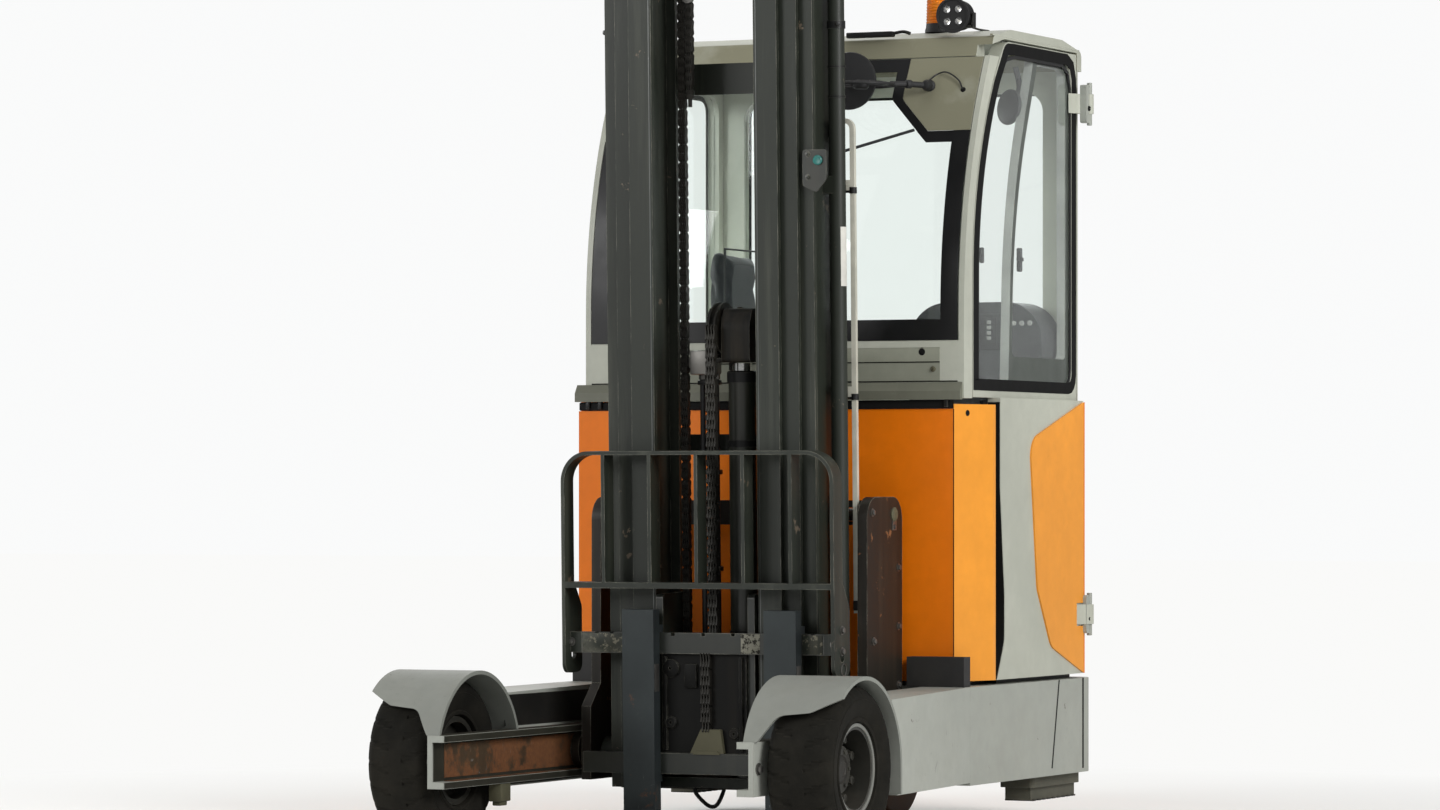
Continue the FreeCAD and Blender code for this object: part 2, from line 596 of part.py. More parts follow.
def finish(body, feature):
    """Makes a feature the body's tip and works it out."""
    body.Tip = feature
    doc.recompute()
    if "Invalid" in feature.State or "Error" in feature.State or feature.Shape.isNull():
        raise RuntimeError("%s: %s" % (feature.Label, feature.getStatusString()))


def box(u_low, u_high, v_low, v_high, radius=None):
    """The corners of a rectangle, all rounded alike if a radius is given."""
    ring = ((u_low, v_low), (u_high, v_low), (u_high, v_high), (u_low, v_high))
    return [corner if radius is None else corner + (radius,) for corner in ring]


# ---------------------------------------------------------------- shared places
SIDES = (("left", 1), ("right", -1))
axle_z = s.tyre_diameter / 2
drive_z = s.drive_wheel_diameter / 2
arm_top = s.arm_bottom + s.arm_height
rail_pitch = s.rail_flange + s.rail_gap
rail_rear_y = s.rail_front_y + s.rail_depth
roller_diameter = s.rail_depth - s.rail_flange * 2 - s.roller_play
lift_cylinder_y = rail_rear_y - s.lift_cylinder_inset
free_cylinder_y = rail_rear_y - s.free_cylinder_inset
pipe_y = rail_rear_y + s.pipe_outset
head_rear_y = rail_rear_y - s.head_inset
head_front_y = head_rear_y - s.head_depth
carriage_rear_y = rail_rear_y - s.carriage_inset
reach_roller_diameter = s.arm_height - s.arm_flange * 2 - s.reach_roller_play
guard_radius = s.tyre_diameter / 2 + s.guard_gap + s.guard_sheet
bar_rear_y = s.rail_front_y - s.bar_gap
bar_front_y = bar_rear_y - s.bar_thickness
shank_front_y = bar_front_y - s.fork_thickness
tip_y = shank_front_y + s.fork_thickness - s.fork_length
lower_bar_z = s.fork_bottom + s.bar_offset
upper_bar_z = lower_bar_z + s.carriage_height - s.bar_height
body_inner_x = s.body_half_width - s.cover_thickness
battery_front_y = s.body_front_y + s.cover_thickness + s.battery_gap
battery_rear_y = battery_front_y + s.battery_length
cab_inner_x = s.cab_half_width - s.cab_wall

lean = math.radians(sheet.mast_lean)
lean_cos = Size(math.cos(lean), "cos(sizes.mast_lean * 1deg)")
lean_sin = Size(math.sin(lean), "sin(sizes.mast_lean * 1deg)")
# the highest corner of a fork's tip, leant with the mast, is the truck's foremost point
tip_from_axis_y = tip_y - s.tilt_y
tip_from_axis_z = s.fork_bottom + s.fork_thickness - s.tilt_z
foremost_y = s.tilt_y + tip_from_axis_y * lean_cos - tip_from_axis_z * lean_sin
middle_y = (s.chassis_rear_y + foremost_y) / 2


def span(side, inner, outer):
    """The low and high X of something between two distances from the middle plane."""
    return (Size.of(inner), Size.of(outer)) if side > 0 else (-Size.of(outer), -Size.of(inner))


def place(body, x=0, y=0, z=0, leant=False):
    """Puts a body in the truck's own frame; a leant body turns about the tilt axis."""
    x, y, z = Size.of(x), Size.of(y), Size.of(z)
    if leant:
        body.Placement = FreeCAD.Placement(Vector(0, 0, 0), FreeCAD.Rotation(Vector(1, 0, 0), 1))
        body.setExpression("Placement.Rotation.Angle", s.mast_lean.text)
        y = y + s.tilt_y - (s.tilt_y * lean_cos - s.tilt_z * lean_sin)
        z = z + s.tilt_z - (s.tilt_y * lean_sin + s.tilt_z * lean_cos)
    body.setExpression("Placement.Base.x", x.text)
    body.setExpression("Placement.Base.y", (y - middle_y).text)
    body.setExpression("Placement.Base.z", z.text)
    doc.recompute()


# ---------------------------------------------------------------- legs and chassis
def make_load_arm(body, side):
    """A channel section, open inwards, with the stub axle of its load wheel."""
    tip = side * (s.arm_outer_x - s.arm_depth)
    back = side * s.arm_outer_x
    web = side * (s.arm_outer_x - s.arm_web)
    low, high = s.arm_bottom, arm_top
    section = [(back, low), (back, high), (tip, high), (tip, high - s.arm_flange),
               (web, high - s.arm_flange), (web, low + s.arm_flange),
               (tip, low + s.arm_flange), (tip, low)]
    add(body, "XZ", 0, s.chassis_front_y, section)
    axle_end = s.tyre_outer_x - s.tyre_width + s.hub_inset + s.hub_length - s.hub_cap - 2
    low_x, high_x = span(side, s.arm_outer_x - s.arm_web, axle_end)
    add(body, "YZ", low_x, high_x, ("circle", s.axle_y, axle_z, s.axle_diameter / 2))


def make_load_tyre(name, side):
    """A solid rubber tyre with rounded shoulders."""
    body = new_body("load_tyre_" + name)
    inner, outer = s.rim_diameter / 2, s.tyre_diameter / 2
    width = side * s.tyre_width
    turn(body, [(0, inner), (width, inner), (width, outer, s.tyre_shoulder),
                (0, outer, s.tyre_shoulder)])
    place(body, side * (s.tyre_outer_x - s.tyre_width), s.axle_y, axle_z)


def make_load_rim(name, side):
    """Barrel, disc and hub of a load wheel, with a blind bore for the stub axle."""
    body = new_body("load_rim_" + name)
    edge = (s.tyre_width - s.rim_width) / 2
    bore = s.axle_diameter / 2 + s.axle_gap
    barrel = s.rim_diameter / 2
    trough = barrel - s.rim_wall
    hub = s.hub_diameter / 2
    hub_end = s.hub_inset + s.hub_length
    disc_out = s.wheel_disc_inset + s.wheel_disc
    profile = [(s.hub_inset, bore), (hub_end - s.hub_cap, bore), (hub_end - s.hub_cap, 0),
               (hub_end, 0), (hub_end, hub), (disc_out, hub), (disc_out, trough),
               (edge + s.rim_width, trough), (edge + s.rim_width, barrel), (edge, barrel),
               (edge, trough), (s.wheel_disc_inset, trough), (s.wheel_disc_inset, hub),
               (s.hub_inset, hub)]
    turn(body, [(side * u, v) for u, v in profile])
    place(body, side * (s.tyre_outer_x - s.tyre_width), s.axle_y, axle_z)


def make_wheel_guard(body, side):
    """An arched sheet over the load wheel; its front is trimmed in an S to bare the tyre."""
    outer, inner = guard_radius, guard_radius - s.guard_sheet
    front, rear = s.axle_y - outer, s.axle_y + outer
    low, high = span(side, s.guard_inner_x, s.guard_outer_x)
    add(body, "YZ", low, high,
        ("circle", s.axle_y, axle_z, outer), ("circle", s.axle_y, axle_z, inner))
    cut(body, "YZ", low - 1, high + 1, box(s.axle_y, rear + 1, axle_z - outer - 1, axle_z))
    cut(body, "YZ", low - 1, high + 1,
        box(front - 1, s.axle_y, axle_z - outer - 1, arm_top))
    add(body, "YZ", low, high,
        box(rear - s.guard_sheet, rear, s.guard_rear_low, axle_z))
    cut(body, "XZ", s.axle_y, rear + 1,
        box(side * (s.guard_inner_x - 1), side * s.arm_outer_x, s.guard_rear_low - 1, arm_top))
    nose, brim = side * s.guard_nose_x, side * (s.guard_outer_x + 1)
    lip = [(nose, arm_top - 1), (brim, arm_top - 1), (brim, s.guard_brim_z),
           (side * s.guard_sweep_x, s.guard_sweep_z, s.guard_radius_soft),
           (side * s.guard_lip_x, s.guard_lip_z, s.guard_radius_soft)]
    cut(body, "XZ", front - 1, s.axle_y, lip)


def make_leg_box(body, side):
    """The tapering box behind a load wheel that joins the arm to the chassis."""
    front = s.axle_y + guard_radius - s.leg_overlap
    inner, outer = side * s.arm_outer_x, side * s.leg_outer_x
    add(body, "XY", s.leg_bottom, s.chassis_top,
        [(inner, front), (outer, front), (side * s.chassis_half_width, s.chassis_front_y),
         (inner, s.chassis_front_y)])
    low, high = span(side, s.arm_outer_x - 1, s.leg_outer_x + 1)
    cut(body, "YZ", low, high,
        [(front - 1, s.leg_front_top), (s.chassis_front_y, s.chassis_top),
         (s.chassis_front_y, s.chassis_top + 1), (front - 1, s.chassis_top + 1)])
    clear = guard_radius + s.leg_gap
    cut(body, "YZ", low, high, ("circle", s.axle_y, axle_z, clear))
    cut(body, "YZ", low, high, box(front - 1, s.axle_y + clear, s.leg_bottom - 1, axle_z))


def make_chassis():
    """Deck, side skirts, front wall and heavy tail, open underneath for the drive unit."""
    body = new_body("chassis")
    half = s.chassis_half_width
    rear, corner = s.chassis_rear_y, s.chassis_corner
    add(body, "XY", s.chassis_bottom, s.chassis_top,
        [(-half, s.chassis_front_y), (half, s.chassis_front_y), (half, rear, corner),
         (-half, rear, corner)])
    skirt = half - s.skirt_thickness
    cut(body, "XY", s.chassis_bottom - 1, s.chassis_top - s.deck_thickness,
        box(-skirt, skirt, s.chassis_front_y + s.skirt_thickness, rear - s.tail_thickness))
    place(body)


def make_foot(body, side):
    """A steel foot plate under the tail of the chassis with a rubber pad below it."""
    outer, inner = s.foot_outer_x, s.foot_outer_x - s.foot_width
    low, high = span(side, inner, outer)
    add(body, "XY", s.foot_plate_bottom, s.chassis_bottom,
        box(low, high, s.foot_front_y, s.foot_rear_y, s.foot_radius))
    add(body, "XY", s.foot_pad_bottom, s.foot_plate_bottom,
        box(low + s.foot_radius, high - s.foot_radius, s.foot_front_y + s.foot_radius,
            s.foot_rear_y - s.foot_radius))


# ---------------------------------------------------------------- drive unit
def make_drive_unit():
    """Steering turntable and gear leg, seen from below."""
    body = new_body("drive_leg")
    top = s.chassis_top - s.deck_thickness - s.seat_gap
    table = top - s.drive_turntable_height
    add(body, "XY", table, top, ("circle", s.drive_x, s.drive_y, s.drive_turntable_diameter / 2))
    leg_x = s.drive_x + s.drive_wheel_width / 2 + s.drive_gap
    radius = s.drive_leg_width / 2
    add(body, "YZ", leg_x, leg_x + s.drive_gear_thickness,
        [(s.drive_y - radius, drive_z), (s.drive_y - radius, table),
         (s.drive_y + radius, table), (s.drive_y + radius, drive_z)])
    add(body, "YZ", leg_x, leg_x + s.drive_gear_thickness,
        ("circle", s.drive_y, drive_z, radius))
    add(body, "YZ", s.drive_x, leg_x, ("circle", s.drive_y, drive_z, s.axle_diameter / 2))
    place(body)


def make_drive_wheel():
    """The steered and driven wheel: a thick tyre round a dished hub."""
    half = s.drive_wheel_width / 2
    hub, rim = s.axle_diameter / 2 + s.axle_gap, s.drive_hub_diameter / 2
    outer = s.drive_wheel_diameter / 2
    tyre = new_body("drive_tyre")
    turn(tyre, [(-half, rim), (half, rim), (half, outer, s.drive_shoulder),
                (-half, outer, s.drive_shoulder)])
    place(tyre, s.drive_x, s.drive_y, drive_z)
    core = new_body("drive_hub")
    turn(core, [(-half, 0), (-s.axle_gap, 0), (-s.axle_gap, hub), (half, hub), (half, rim),
                (-half, rim)])
    place(core, s.drive_x, s.drive_y, drive_z)


# ---------------------------------------------------------------- lower body
def make_battery():
    """The traction battery as one plain block on the chassis deck."""
    body = new_body("battery")
    add(body, "XY", s.chassis_top, s.chassis_top + s.battery_height,
        box(s.battery_left_x, s.battery_left_x + s.battery_width, battery_front_y,
            battery_rear_y))
    place(body)


def make_lower_body():
    """Panels round battery and cab foot: front, slanted corner, left side and rear."""
    half, low = s.body_half_width, s.cover_bottom
    wall = s.cover_thickness
    front = new_body("front_cover")
    add(front, "XY", low, s.cover_top,
        box(-half, s.corner_front_x, s.body_front_y, s.body_front_y + wall))
    place(front)
    corner = new_body("corner_panel")
    add(corner, "XY", low, s.corner_top,
        [(s.corner_front_x, s.body_front_y), (half, s.corner_rear_y),
         (half, s.corner_end_y), (half - wall, s.corner_end_y),
         (half - wall, s.corner_rear_y + wall / 4),
         (s.corner_front_x - wall / 4, s.body_front_y + wall),
         (s.corner_front_x, s.body_front_y + wall)])
    place(corner)
    side = new_body("left_side_panel")
    add(side, "XY", low, s.body_top,
        box(-half, -half + wall, s.body_front_y + wall, s.body_rear_y - s.body_corner * 2))
    place(side)
    rear = new_body("rear_hood")
    end, bend = s.body_rear_y, s.body_corner
    start = end - bend * 2
    door_end = s.door_rear_y + s.door_gap
    add(rear, "XY", low, s.body_top,
        [(-half, start), (-half + wall, start), (-half + wall, end - wall, bend - wall),
         (half - wall, end - wall), (half - wall, door_end), (half, door_end),
         (half, end, bend), (-half, end, bend)])
    place(rear)
    bumpers = new_body("corner_bumpers")
    for _, sign in SIDES:
        x_low, x_high = span(sign, s.bumper_inner_x, s.bumper_outer_x)
        add(bumpers, "XY", s.chassis_top, s.chassis_top + s.bumper_height,
            box(x_low, x_high, s.body_front_y - s.bumper_length, s.body_front_y))
    place(bumpers)


def make_cab_floor():
    """The cab's floor and the wall between cab and battery, with the hood over it."""
    body = new_body("cab_floor")
    left, right = -body_inner_x, s.floor_right_x
    wall_y = battery_rear_y + s.battery_gap
    add(body, "XY", s.chassis_top, s.chassis_top + s.floor_height,
        box(left, right, wall_y, s.body_rear_y - s.cover_thickness, s.body_corner / 2))
    add(body, "XY", s.chassis_top, s.hood_top,
        box(left, right, wall_y, wall_y + s.sill_thickness))
    place(body)
    hood = new_body("battery_hood")
    add(hood, "XY", s.hood_top, s.hood_top + s.cover_thickness,
        [(left, s.body_front_y + s.cover_thickness),
         (s.corner_front_x - s.sill_thickness, s.body_front_y + s.cover_thickness),
         (right, s.corner_rear_y), (right, wall_y + s.sill_thickness),
         (left, wall_y + s.sill_thickness)])
    place(hood)


# ---------------------------------------------------------------- cab
bend = (s.cab_brow_z - s.cab_bend_z) * 4.2
REACH = 1.3


def front_line(depth, low):
    """The cab's leant front, moved inwards by a depth: foot, bend and a point above the roof."""
    depth = Size.of(depth)
    slope = 1.15 * depth
    drop = s.cab_brow_y / (s.cab_brow_z - s.cab_bend_z) / 2 * depth
    return [(s.cab_front_y + depth, low),
            (s.cab_front_y + depth, s.cab_bend_z - drop, bend - depth),
            (s.cab_front_y + s.cab_brow_y * REACH + slope,
             s.cab_bend_z + (s.cab_brow_z - s.cab_bend_z) * REACH)]


door_bend = (s.door_top - s.door_bend_z) * 3.2


def door_line(grow):
    """Outline of the door's window part, made larger by `grow` on every side but the foot."""
    grow = Size.of(grow)
    return [(s.door_rear_y + grow, s.door_step_z - grow),
            (s.door_front_y - grow, s.door_step_z - grow),
            (s.door_front_y - grow, s.door_bend_z, door_bend + grow),
            (s.door_front_y + s.door_brow_y - grow / 2, s.door_top + grow, s.door_corner + grow),
            (s.door_rear_y + grow, s.door_top + grow)]


def make_cab_frame():
    """Walls and pillars of the cab as one hollow shell with its openings cut."""
    body = new_body("cab_frame")
    half, rear, wall = s.cab_half_width, s.cab_rear_y, s.cab_wall
    outline = front_line(0, s.body_top)
    top = outline[2][1]
    add(body, "YZ", -half, half, outline + [(rear, top), (rear, s.body_top)])
    cut(body, "YZ", -half - 1, half + 1,
        [(s.cab_front_y - 1, s.cab_brow_z), (rear + 1, s.cab_brow_z), (rear + 1, top + 1),
         (s.cab_front_y - 1, top + 1)])
    inner = front_line(wall, s.body_top - 1)
    cut(body, "YZ", -cab_inner_x, cab_inner_x,
        inner + [(rear - wall, top), (rear - wall, s.body_top - 1)])
    # rebate for the windscreen and the opening between the pillars
    rebate = front_line(s.glass + s.seat_gap, s.front_panel_top)
    cut(body, "YZ", -half + s.screen_edge - s.glass_gap, half - s.screen_edge + s.glass_gap,
        rebate + [(s.cab_front_y - 1, top), (s.cab_front_y - 1, s.front_panel_top)])
    opening = half - s.pillar_width
    cut(body, "XZ", s.cab_front_y - 1, s.cab_front_y + s.cab_brow_y + 2 * wall,
        box(-opening, opening, s.screen_low, s.cab_brow_z - s.screen_head))
    # sub-panel below the windscreen
    cut(body, "XZ", s.cab_front_y - 1, s.cab_front_y + s.glass,
        box(-opening, opening, s.front_panel_bottom, s.front_panel_top - s.screen_edge))
    # left side window and rear window
    side = front_line(s.side_window_front_y - s.cab_front_y, s.side_window_low)
    cut(body, "YZ", -half - 1, -cab_inner_x + 1,
        [side[0] + (s.window_corner,), side[1],
         (s.side_window_front_y + s.side_window_lean, s.side_window_high, s.window_corner),
         (s.side_window_rear_y, s.side_window_high, s.window_corner),
         (s.side_window_rear_y, s.side_window_low, s.window_corner)])
    cut(body, "XZ", rear - wall - 1, rear + 1,
        box(-s.rear_window_half, s.rear_window_half, s.rear_window_low, s.rear_window_high,
            s.window_corner))
    # door opening
    line = door_line(s.door_gap)
    foot = [(line[0][0], s.body_top - 1), (line[1][0], s.body_top - 1)]
    cut(body, "YZ", cab_inner_x - s.door_gap, half + 1,
        foot + line[2:3] + [(line[3][0], line[3][1], line[3][2]), line[4]])
    round_edges(body, s.cab_corner, lambda edge: is_rear_corner(edge, half))
    place(body)


def is_rear_corner(edge, half):
    """True for the two long upright edges at the back of the cab."""
    bounds = edge.BoundBox
    upright = bounds.ZLength > s.cab_corner.value * 20
    return upright and bounds.YMin > s.cab_rear_y.value - 1 and bounds.XLength < 1 \
        and abs(abs(bounds.XMin) - half.value) < 1


def make_cab_roof():
    """The roof with its front band and rounded edges, hollow over the driver."""
    body = new_body("cab_roof")
    half, rear = s.cab_half_width, s.cab_rear_y + s.roof_rear_overhang
    brow_y = s.cab_front_y + s.cab_brow_y
    add(body, "YZ", -half, half,
        [(brow_y, s.cab_brow_z), (brow_y + s.roof_band_lean, s.roof_edge_z, s.roof_bend),
         (brow_y + s.roof_crown_y, s.roof_top), (rear - s.roof_crown_y, s.roof_top),
         (rear, s.roof_edge_z, s.roof_bend), (rear, s.cab_brow_z)])
    hollow_front = brow_y + s.cab_wall + s.roof_band_lean
    cut(body, "YZ", -cab_inner_x, cab_inner_x,
        box(hollow_front, s.cab_rear_y - s.cab_wall, s.cab_brow_z - 1,
            s.roof_top - s.roof_skin))
    line = door_line(s.door_gap)
    cut(body, "YZ", cab_inner_x - s.door_gap, half + 1,
        [(s.door_front_y, s.cab_brow_z - 1), line[3], line[4],
         (line[4][0], s.cab_brow_z - 1)])
    place(body)


def make_windscreen():
    """The bent windscreen, notched for the lamp plate, and the plate itself."""
    half = s.cab_half_width - s.screen_edge
    top = s.cab_bend_z + (s.cab_brow_z - s.cab_bend_z) * REACH
    outer = front_line(0, s.front_panel_top)
    inner = front_line(s.glass, s.front_panel_top)
    band = outer + [inner[2], inner[1], inner[0]]
    far_y = s.cab_front_y + s.cab_brow_y + s.cab_wall
    brow = s.cab_brow_z - s.glass_gap
    screen = new_body("windscreen")
    add(screen, "YZ", -half, half, band)
    cut(screen, "XZ", s.cab_front_y - 1, far_y + s.cab_brow_y, box(-half - 1, half + 1, brow, top + 9))
    seal = s.plate_seal
    cut(screen, "XZ", s.cab_front_y - 1, far_y,
        [(s.plate_left_x - seal, brow + 1), (s.plate_left_x - seal, s.plate_bend_z - seal / 2),
         (s.plate_bend_x - seal / 2, s.plate_low - seal), (half + 1, s.plate_low - seal),
         (half + 1, brow + 1)])
    place(screen)
    plate = new_body("lamp_plate")
    add(plate, "YZ", s.plate_left_x, half, band)
    cut(plate, "XZ", s.cab_front_y - 1, far_y + s.cab_brow_y,
        box(s.plate_left_x - 1, half + 1, brow, top + 9))
    cut(plate, "XZ", s.cab_front_y - 1, far_y,
        [(s.plate_left_x - 1, s.front_panel_top - 1), (half + 1, s.front_panel_top - 1),
         (half + 1, s.plate_low), (s.plate_bend_x, s.plate_low),
         (s.plate_left_x, s.plate_bend_z), (s.plate_left_x - 1, s.plate_bend_z)])
    place(plate)


def make_side_glass():
    """Panes of the left side and rear windows, filling their openings."""
    half, wall = s.cab_half_width, s.cab_wall
    side = front_line(s.side_window_front_y - s.cab_front_y, s.side_window_low)
    pane = new_body("cab_windows")
    middle = -half + wall / 2
    add(pane, "YZ", middle, middle + s.glass,
        [side[0] + (s.window_corner,), side[1],
         (s.side_window_front_y + s.side_window_lean, s.side_window_high, s.window_corner),
         (s.side_window_rear_y, s.side_window_high, s.window_corner),
         (s.side_window_rear_y, s.side_window_low, s.window_corner)])
    middle = s.cab_rear_y - wall / 2
    add(pane, "XZ", middle - s.glass, middle,
        box(-s.rear_window_half, s.rear_window_half, s.rear_window_low, s.rear_window_high,
            s.window_corner))
    place(pane)


def make_front_parts():
    """Sheet below the windscreen and the light ledge with its lip."""
    sheet_body = new_body("front_sheet")
    half = s.cab_half_width - s.pillar_width
    add(sheet_body, "XZ", s.cab_front_y, s.cab_front_y + s.glass,
        box(-half, half, s.front_panel_bottom, s.front_panel_top - s.screen_edge))
    place(sheet_body)
    ledge = new_body("ledge")
    add(ledge, "YZ", s.ledge_left_x, s.ledge_right_x,
        [(s.ledge_front_y, s.ledge_lip_bottom), (s.ledge_front_y, s.ledge_lip_top),
         (s.cab_front_y, s.ledge_top), (s.cab_front_y, s.ledge_lip_bottom)])
    place(ledge)


# ---------------------------------------------------------------- door
def make_door():
    """Door frame with its lower panel and hinge leaves."""
    body = new_body("door")
    outer, inner = s.cab_half_width, cab_inner_x
    low_outer = s.body_half_width
    add(body, "YZ", inner, outer, door_line(0))
    cut(body, "YZ", inner - 1, outer + 1, door_opening())
    rear = s.door_rear_y
    add(body, "YZ", low_outer - s.cab_wall, low_outer,
        [(rear, s.door_bottom), (s.door_toe_y, s.door_bottom),
         (s.door_waist_y, s.door_waist_z - s.door_waist_rise, s.door_corner),
         (s.door_waist_y, s.door_waist_z + s.door_waist_rise, s.door_corner),
         (s.door_neck_y, s.door_neck_z, s.door_corner), (s.door_neck_y, s.door_step_z),
         (rear, s.door_step_z)])
    for height, face in ((s.hinge_high_z, outer), (s.hinge_low_z, low_outer)):
        low, high = height - s.hinge_leaf / 2, height + s.hinge_leaf / 2
        add(body, "XY", low, high, ("circle", s.hinge_x, s.hinge_y, s.hinge_eye / 2))
        add(body, "XY", low, high,
            [(face - 1, rear - s.hinge_leaf), (face + s.hinge_eye / 2, rear - s.hinge_leaf / 3),
             (s.hinge_x + s.hinge_eye / 2, s.hinge_y), (s.hinge_x - s.hinge_eye / 4, s.hinge_y),
             (face - 1, rear - 2)])
        cut(body, "XY", low - 1, high + 1,
            ("circle", s.hinge_x, s.hinge_y, s.hinge_pin / 2 + s.rod_gap))
    place(body)


def door_opening(gap=0):
    """Outline of the window opening in the door, made smaller by a gap."""
    frame = s.door_frame + gap
    rear = s.door_rear_y - s.door_rear_frame - gap
    low = s.door_step_z + s.door_frame_low + gap
    return [(rear, low, s.window_corner), (s.door_front_y + frame, low, s.window_corner),
            (s.door_front_y + frame, s.door_bend_z, door_bend - frame),
            (s.door_front_y + s.door_brow_y + frame / 2, s.door_top - frame,
             s.door_corner - frame),
            (rear, s.door_top - frame, s.window_corner)]


def make_door_parts():
    """Coloured insert, window pane and the inner frame of the door's window."""
    insert = new_body("door_insert")
    add(insert, "YZ", s.body_half_width, s.body_half_width + s.insert_thickness,
        [(s.insert_rear_y, s.insert_low_z), (s.insert_toe_y, s.insert_toe_z, s.door_corner),
         (s.insert_bow_y, s.insert_bow_z, s.door_corner),
         (s.insert_front_y, s.insert_front_z, s.door_corner), (s.insert_rear_y, s.insert_top_z)])
    notch = s.hinge_leaf / 2 + s.hinge_play
    cut(insert, "YZ", s.body_half_width - 1, s.body_half_width + s.insert_thickness + 1,
        box(s.door_rear_y - s.hinge_leaf - s.hinge_play, s.door_rear_y,
            s.hinge_low_z - notch, s.hinge_low_z + notch))
    place(insert)
    pane = new_body("door_glass")
    middle = s.cab_half_width - s.glass * 2
    add(pane, "YZ", middle, middle + s.glass, door_opening(s.seat_gap))
    place(pane)
    frame = new_body("door_window_frame")
    inner = s.cab_half_width - s.cab_wall
    rear = s.door_rear_y - s.door_rear_frame - s.seat_gap
    low = s.door_step_z + s.door_frame_low + s.seat_gap
    high = s.door_top - s.door_frame - s.seat_gap
    stile, corner = s.stile_width, s.window_corner
    add(frame, "YZ", inner, middle,
        [(rear, low, corner), (s.stile_low_y, low), (s.stile_mid_y, s.stile_mid_z, bend),
         (s.stile_high_y, high), (rear, high, corner)],
        [(rear - stile, low + s.stile_foot, stile),
         (s.stile_low_y + stile, low + s.stile_foot, stile),
         (s.stile_mid_y + stile, s.stile_mid_z, bend - stile),
         (s.stile_high_y + stile, high - stile), (rear - stile, high - stile, stile)])
    place(frame)


def make_door_hinges():
    """Hinge blocks and pins on the pillar behind the door."""
    body = new_body("door_hinges")
    for height, face in ((s.hinge_high_z, s.cab_half_width), (s.hinge_low_z, s.body_half_width)):
        half = s.hinge_height / 2
        gap = s.hinge_leaf / 2 + s.hinge_play
        start = s.door_rear_y + s.door_gap * 1.5
        for low, high in ((height - half, height - gap), (height + gap, height + half)):
            add(body, "XY", low, high, box(face, s.hinge_x + 4, start, start + s.hinge_eye))
        add(body, "XY", height - half, height + half,
            ("circle", s.hinge_x, s.hinge_y, s.hinge_pin / 2))
    place(body)


# ---------------------------------------------------------------- inside the cab
def make_seat():
    """Seat base, cushion, backrest and headrest; the driver faces the door."""
    floor_top = s.chassis_top + s.floor_height
    centre, half = s.seat_y, s.seat_width / 2
    back_x = s.seat_back_x
    base = new_body("seat_base")
    add(base, "XY", floor_top, s.seat_z,
        box(back_x + s.seat_back, back_x + s.seat_depth - s.seat_back, centre - half * 0.75,
            centre + half * 0.75, s.window_corner))
    add(base, "XY", s.seat_z - s.seat_back / 2, s.back_low_z + s.seat_back,
        box(back_x - s.seat_back / 2, back_x, centre - half / 2, centre + half / 2))
    add(base, "XY", s.seat_z - s.seat_back / 2, s.seat_z,
        box(back_x - s.seat_back / 2, back_x + s.seat_depth / 2, centre - half / 2,
            centre + half / 2))
    place(base)
    cushion = new_body("seat_cushion")
    add(cushion, "XY", s.seat_z, s.seat_z + s.seat_cushion,
        box(back_x + s.seat_back, back_x + s.seat_depth, centre - half, centre + half,
            s.window_corner))
    round_edges(cushion, s.seat_soft, lambda e: is_level(e, s.seat_z + s.seat_cushion))
    place(cushion)
    backrest = new_body("seat_backrest")
    add(backrest, "YZ", back_x, back_x + s.seat_back,
        box(centre - half, centre + half, s.back_low_z, s.back_high_z, s.window_corner))
    place(backrest)
    headrest = new_body("headrest")
    add(headrest, "YZ", back_x, back_x + s.headrest_depth,
        box(centre - s.headrest_width / 2, centre + s.headrest_width / 2, s.headrest_low_z,
            s.headrest_high_z, s.window_corner / 2))
    for sign in (-1, 1):
        add(headrest, "XY", s.back_high_z, s.headrest_low_z + 1,
            ("circle", back_x + s.headrest_depth / 2, centre + sign * s.headrest_width / 4,
             s.headrest_post / 2))
    place(headrest)


def is_level(edge, height):
    """True for an edge that lies level at a height."""
    bounds = edge.BoundBox
    return abs(bounds.ZMin - height.value) < 0.01 and abs(bounds.ZMax - height.value) < 0.01


def make_controls():
    """Rounded console at the rear, steering pod on the front wall and steering wheel."""
    floor_top = s.chassis_top + s.floor_height
    console = new_body("console")
    rear = s.cab_rear_y - s.cab_wall
    add(console, "XZ", rear - s.console_depth, rear,
        [(s.console_left_x, floor_top), (s.console_left_x, s.console_top, s.console_round),
         (s.console_right_x, s.console_top, s.console_round), (s.console_right_x, floor_top)])
    place(console)
    pod = new_body("steering_pod")
    wall_y = battery_rear_y + s.battery_gap + s.sill_thickness
    add(pod, "YZ", s.pod_x - s.pod_width / 2, s.pod_x + s.pod_width / 2,
        [(wall_y, s.pod_z - s.pod_height), (wall_y + s.pod_depth, s.pod_z - s.pod_height / 2),
         (wall_y + s.pod_depth, s.pod_z), (wall_y, s.pod_z)])
    place(pod)
    wheel = new_body("steering_wheel")
    centre_y = wall_y + s.pod_depth / 2
    radius, rim = s.steering_diameter / 2, s.steering_rim
    add(wheel, "XY", s.pod_z + s.steering_rise, s.pod_z + s.steering_rise + rim,
        ("circle", s.pod_x, centre_y, radius), ("circle", s.pod_x, centre_y, radius - rim))
    add(wheel, "XY", s.pod_z + s.steering_rise, s.pod_z + s.steering_rise + rim / 2,
        box(s.pod_x - radius + rim / 2, s.pod_x + radius - rim / 2, centre_y - rim, centre_y + rim))
    add(wheel, "XY", s.pod_z, s.pod_z + s.steering_rise + rim,
        ("circle", s.pod_x, centre_y, s.steering_rim * 1.2))
    place(wheel)


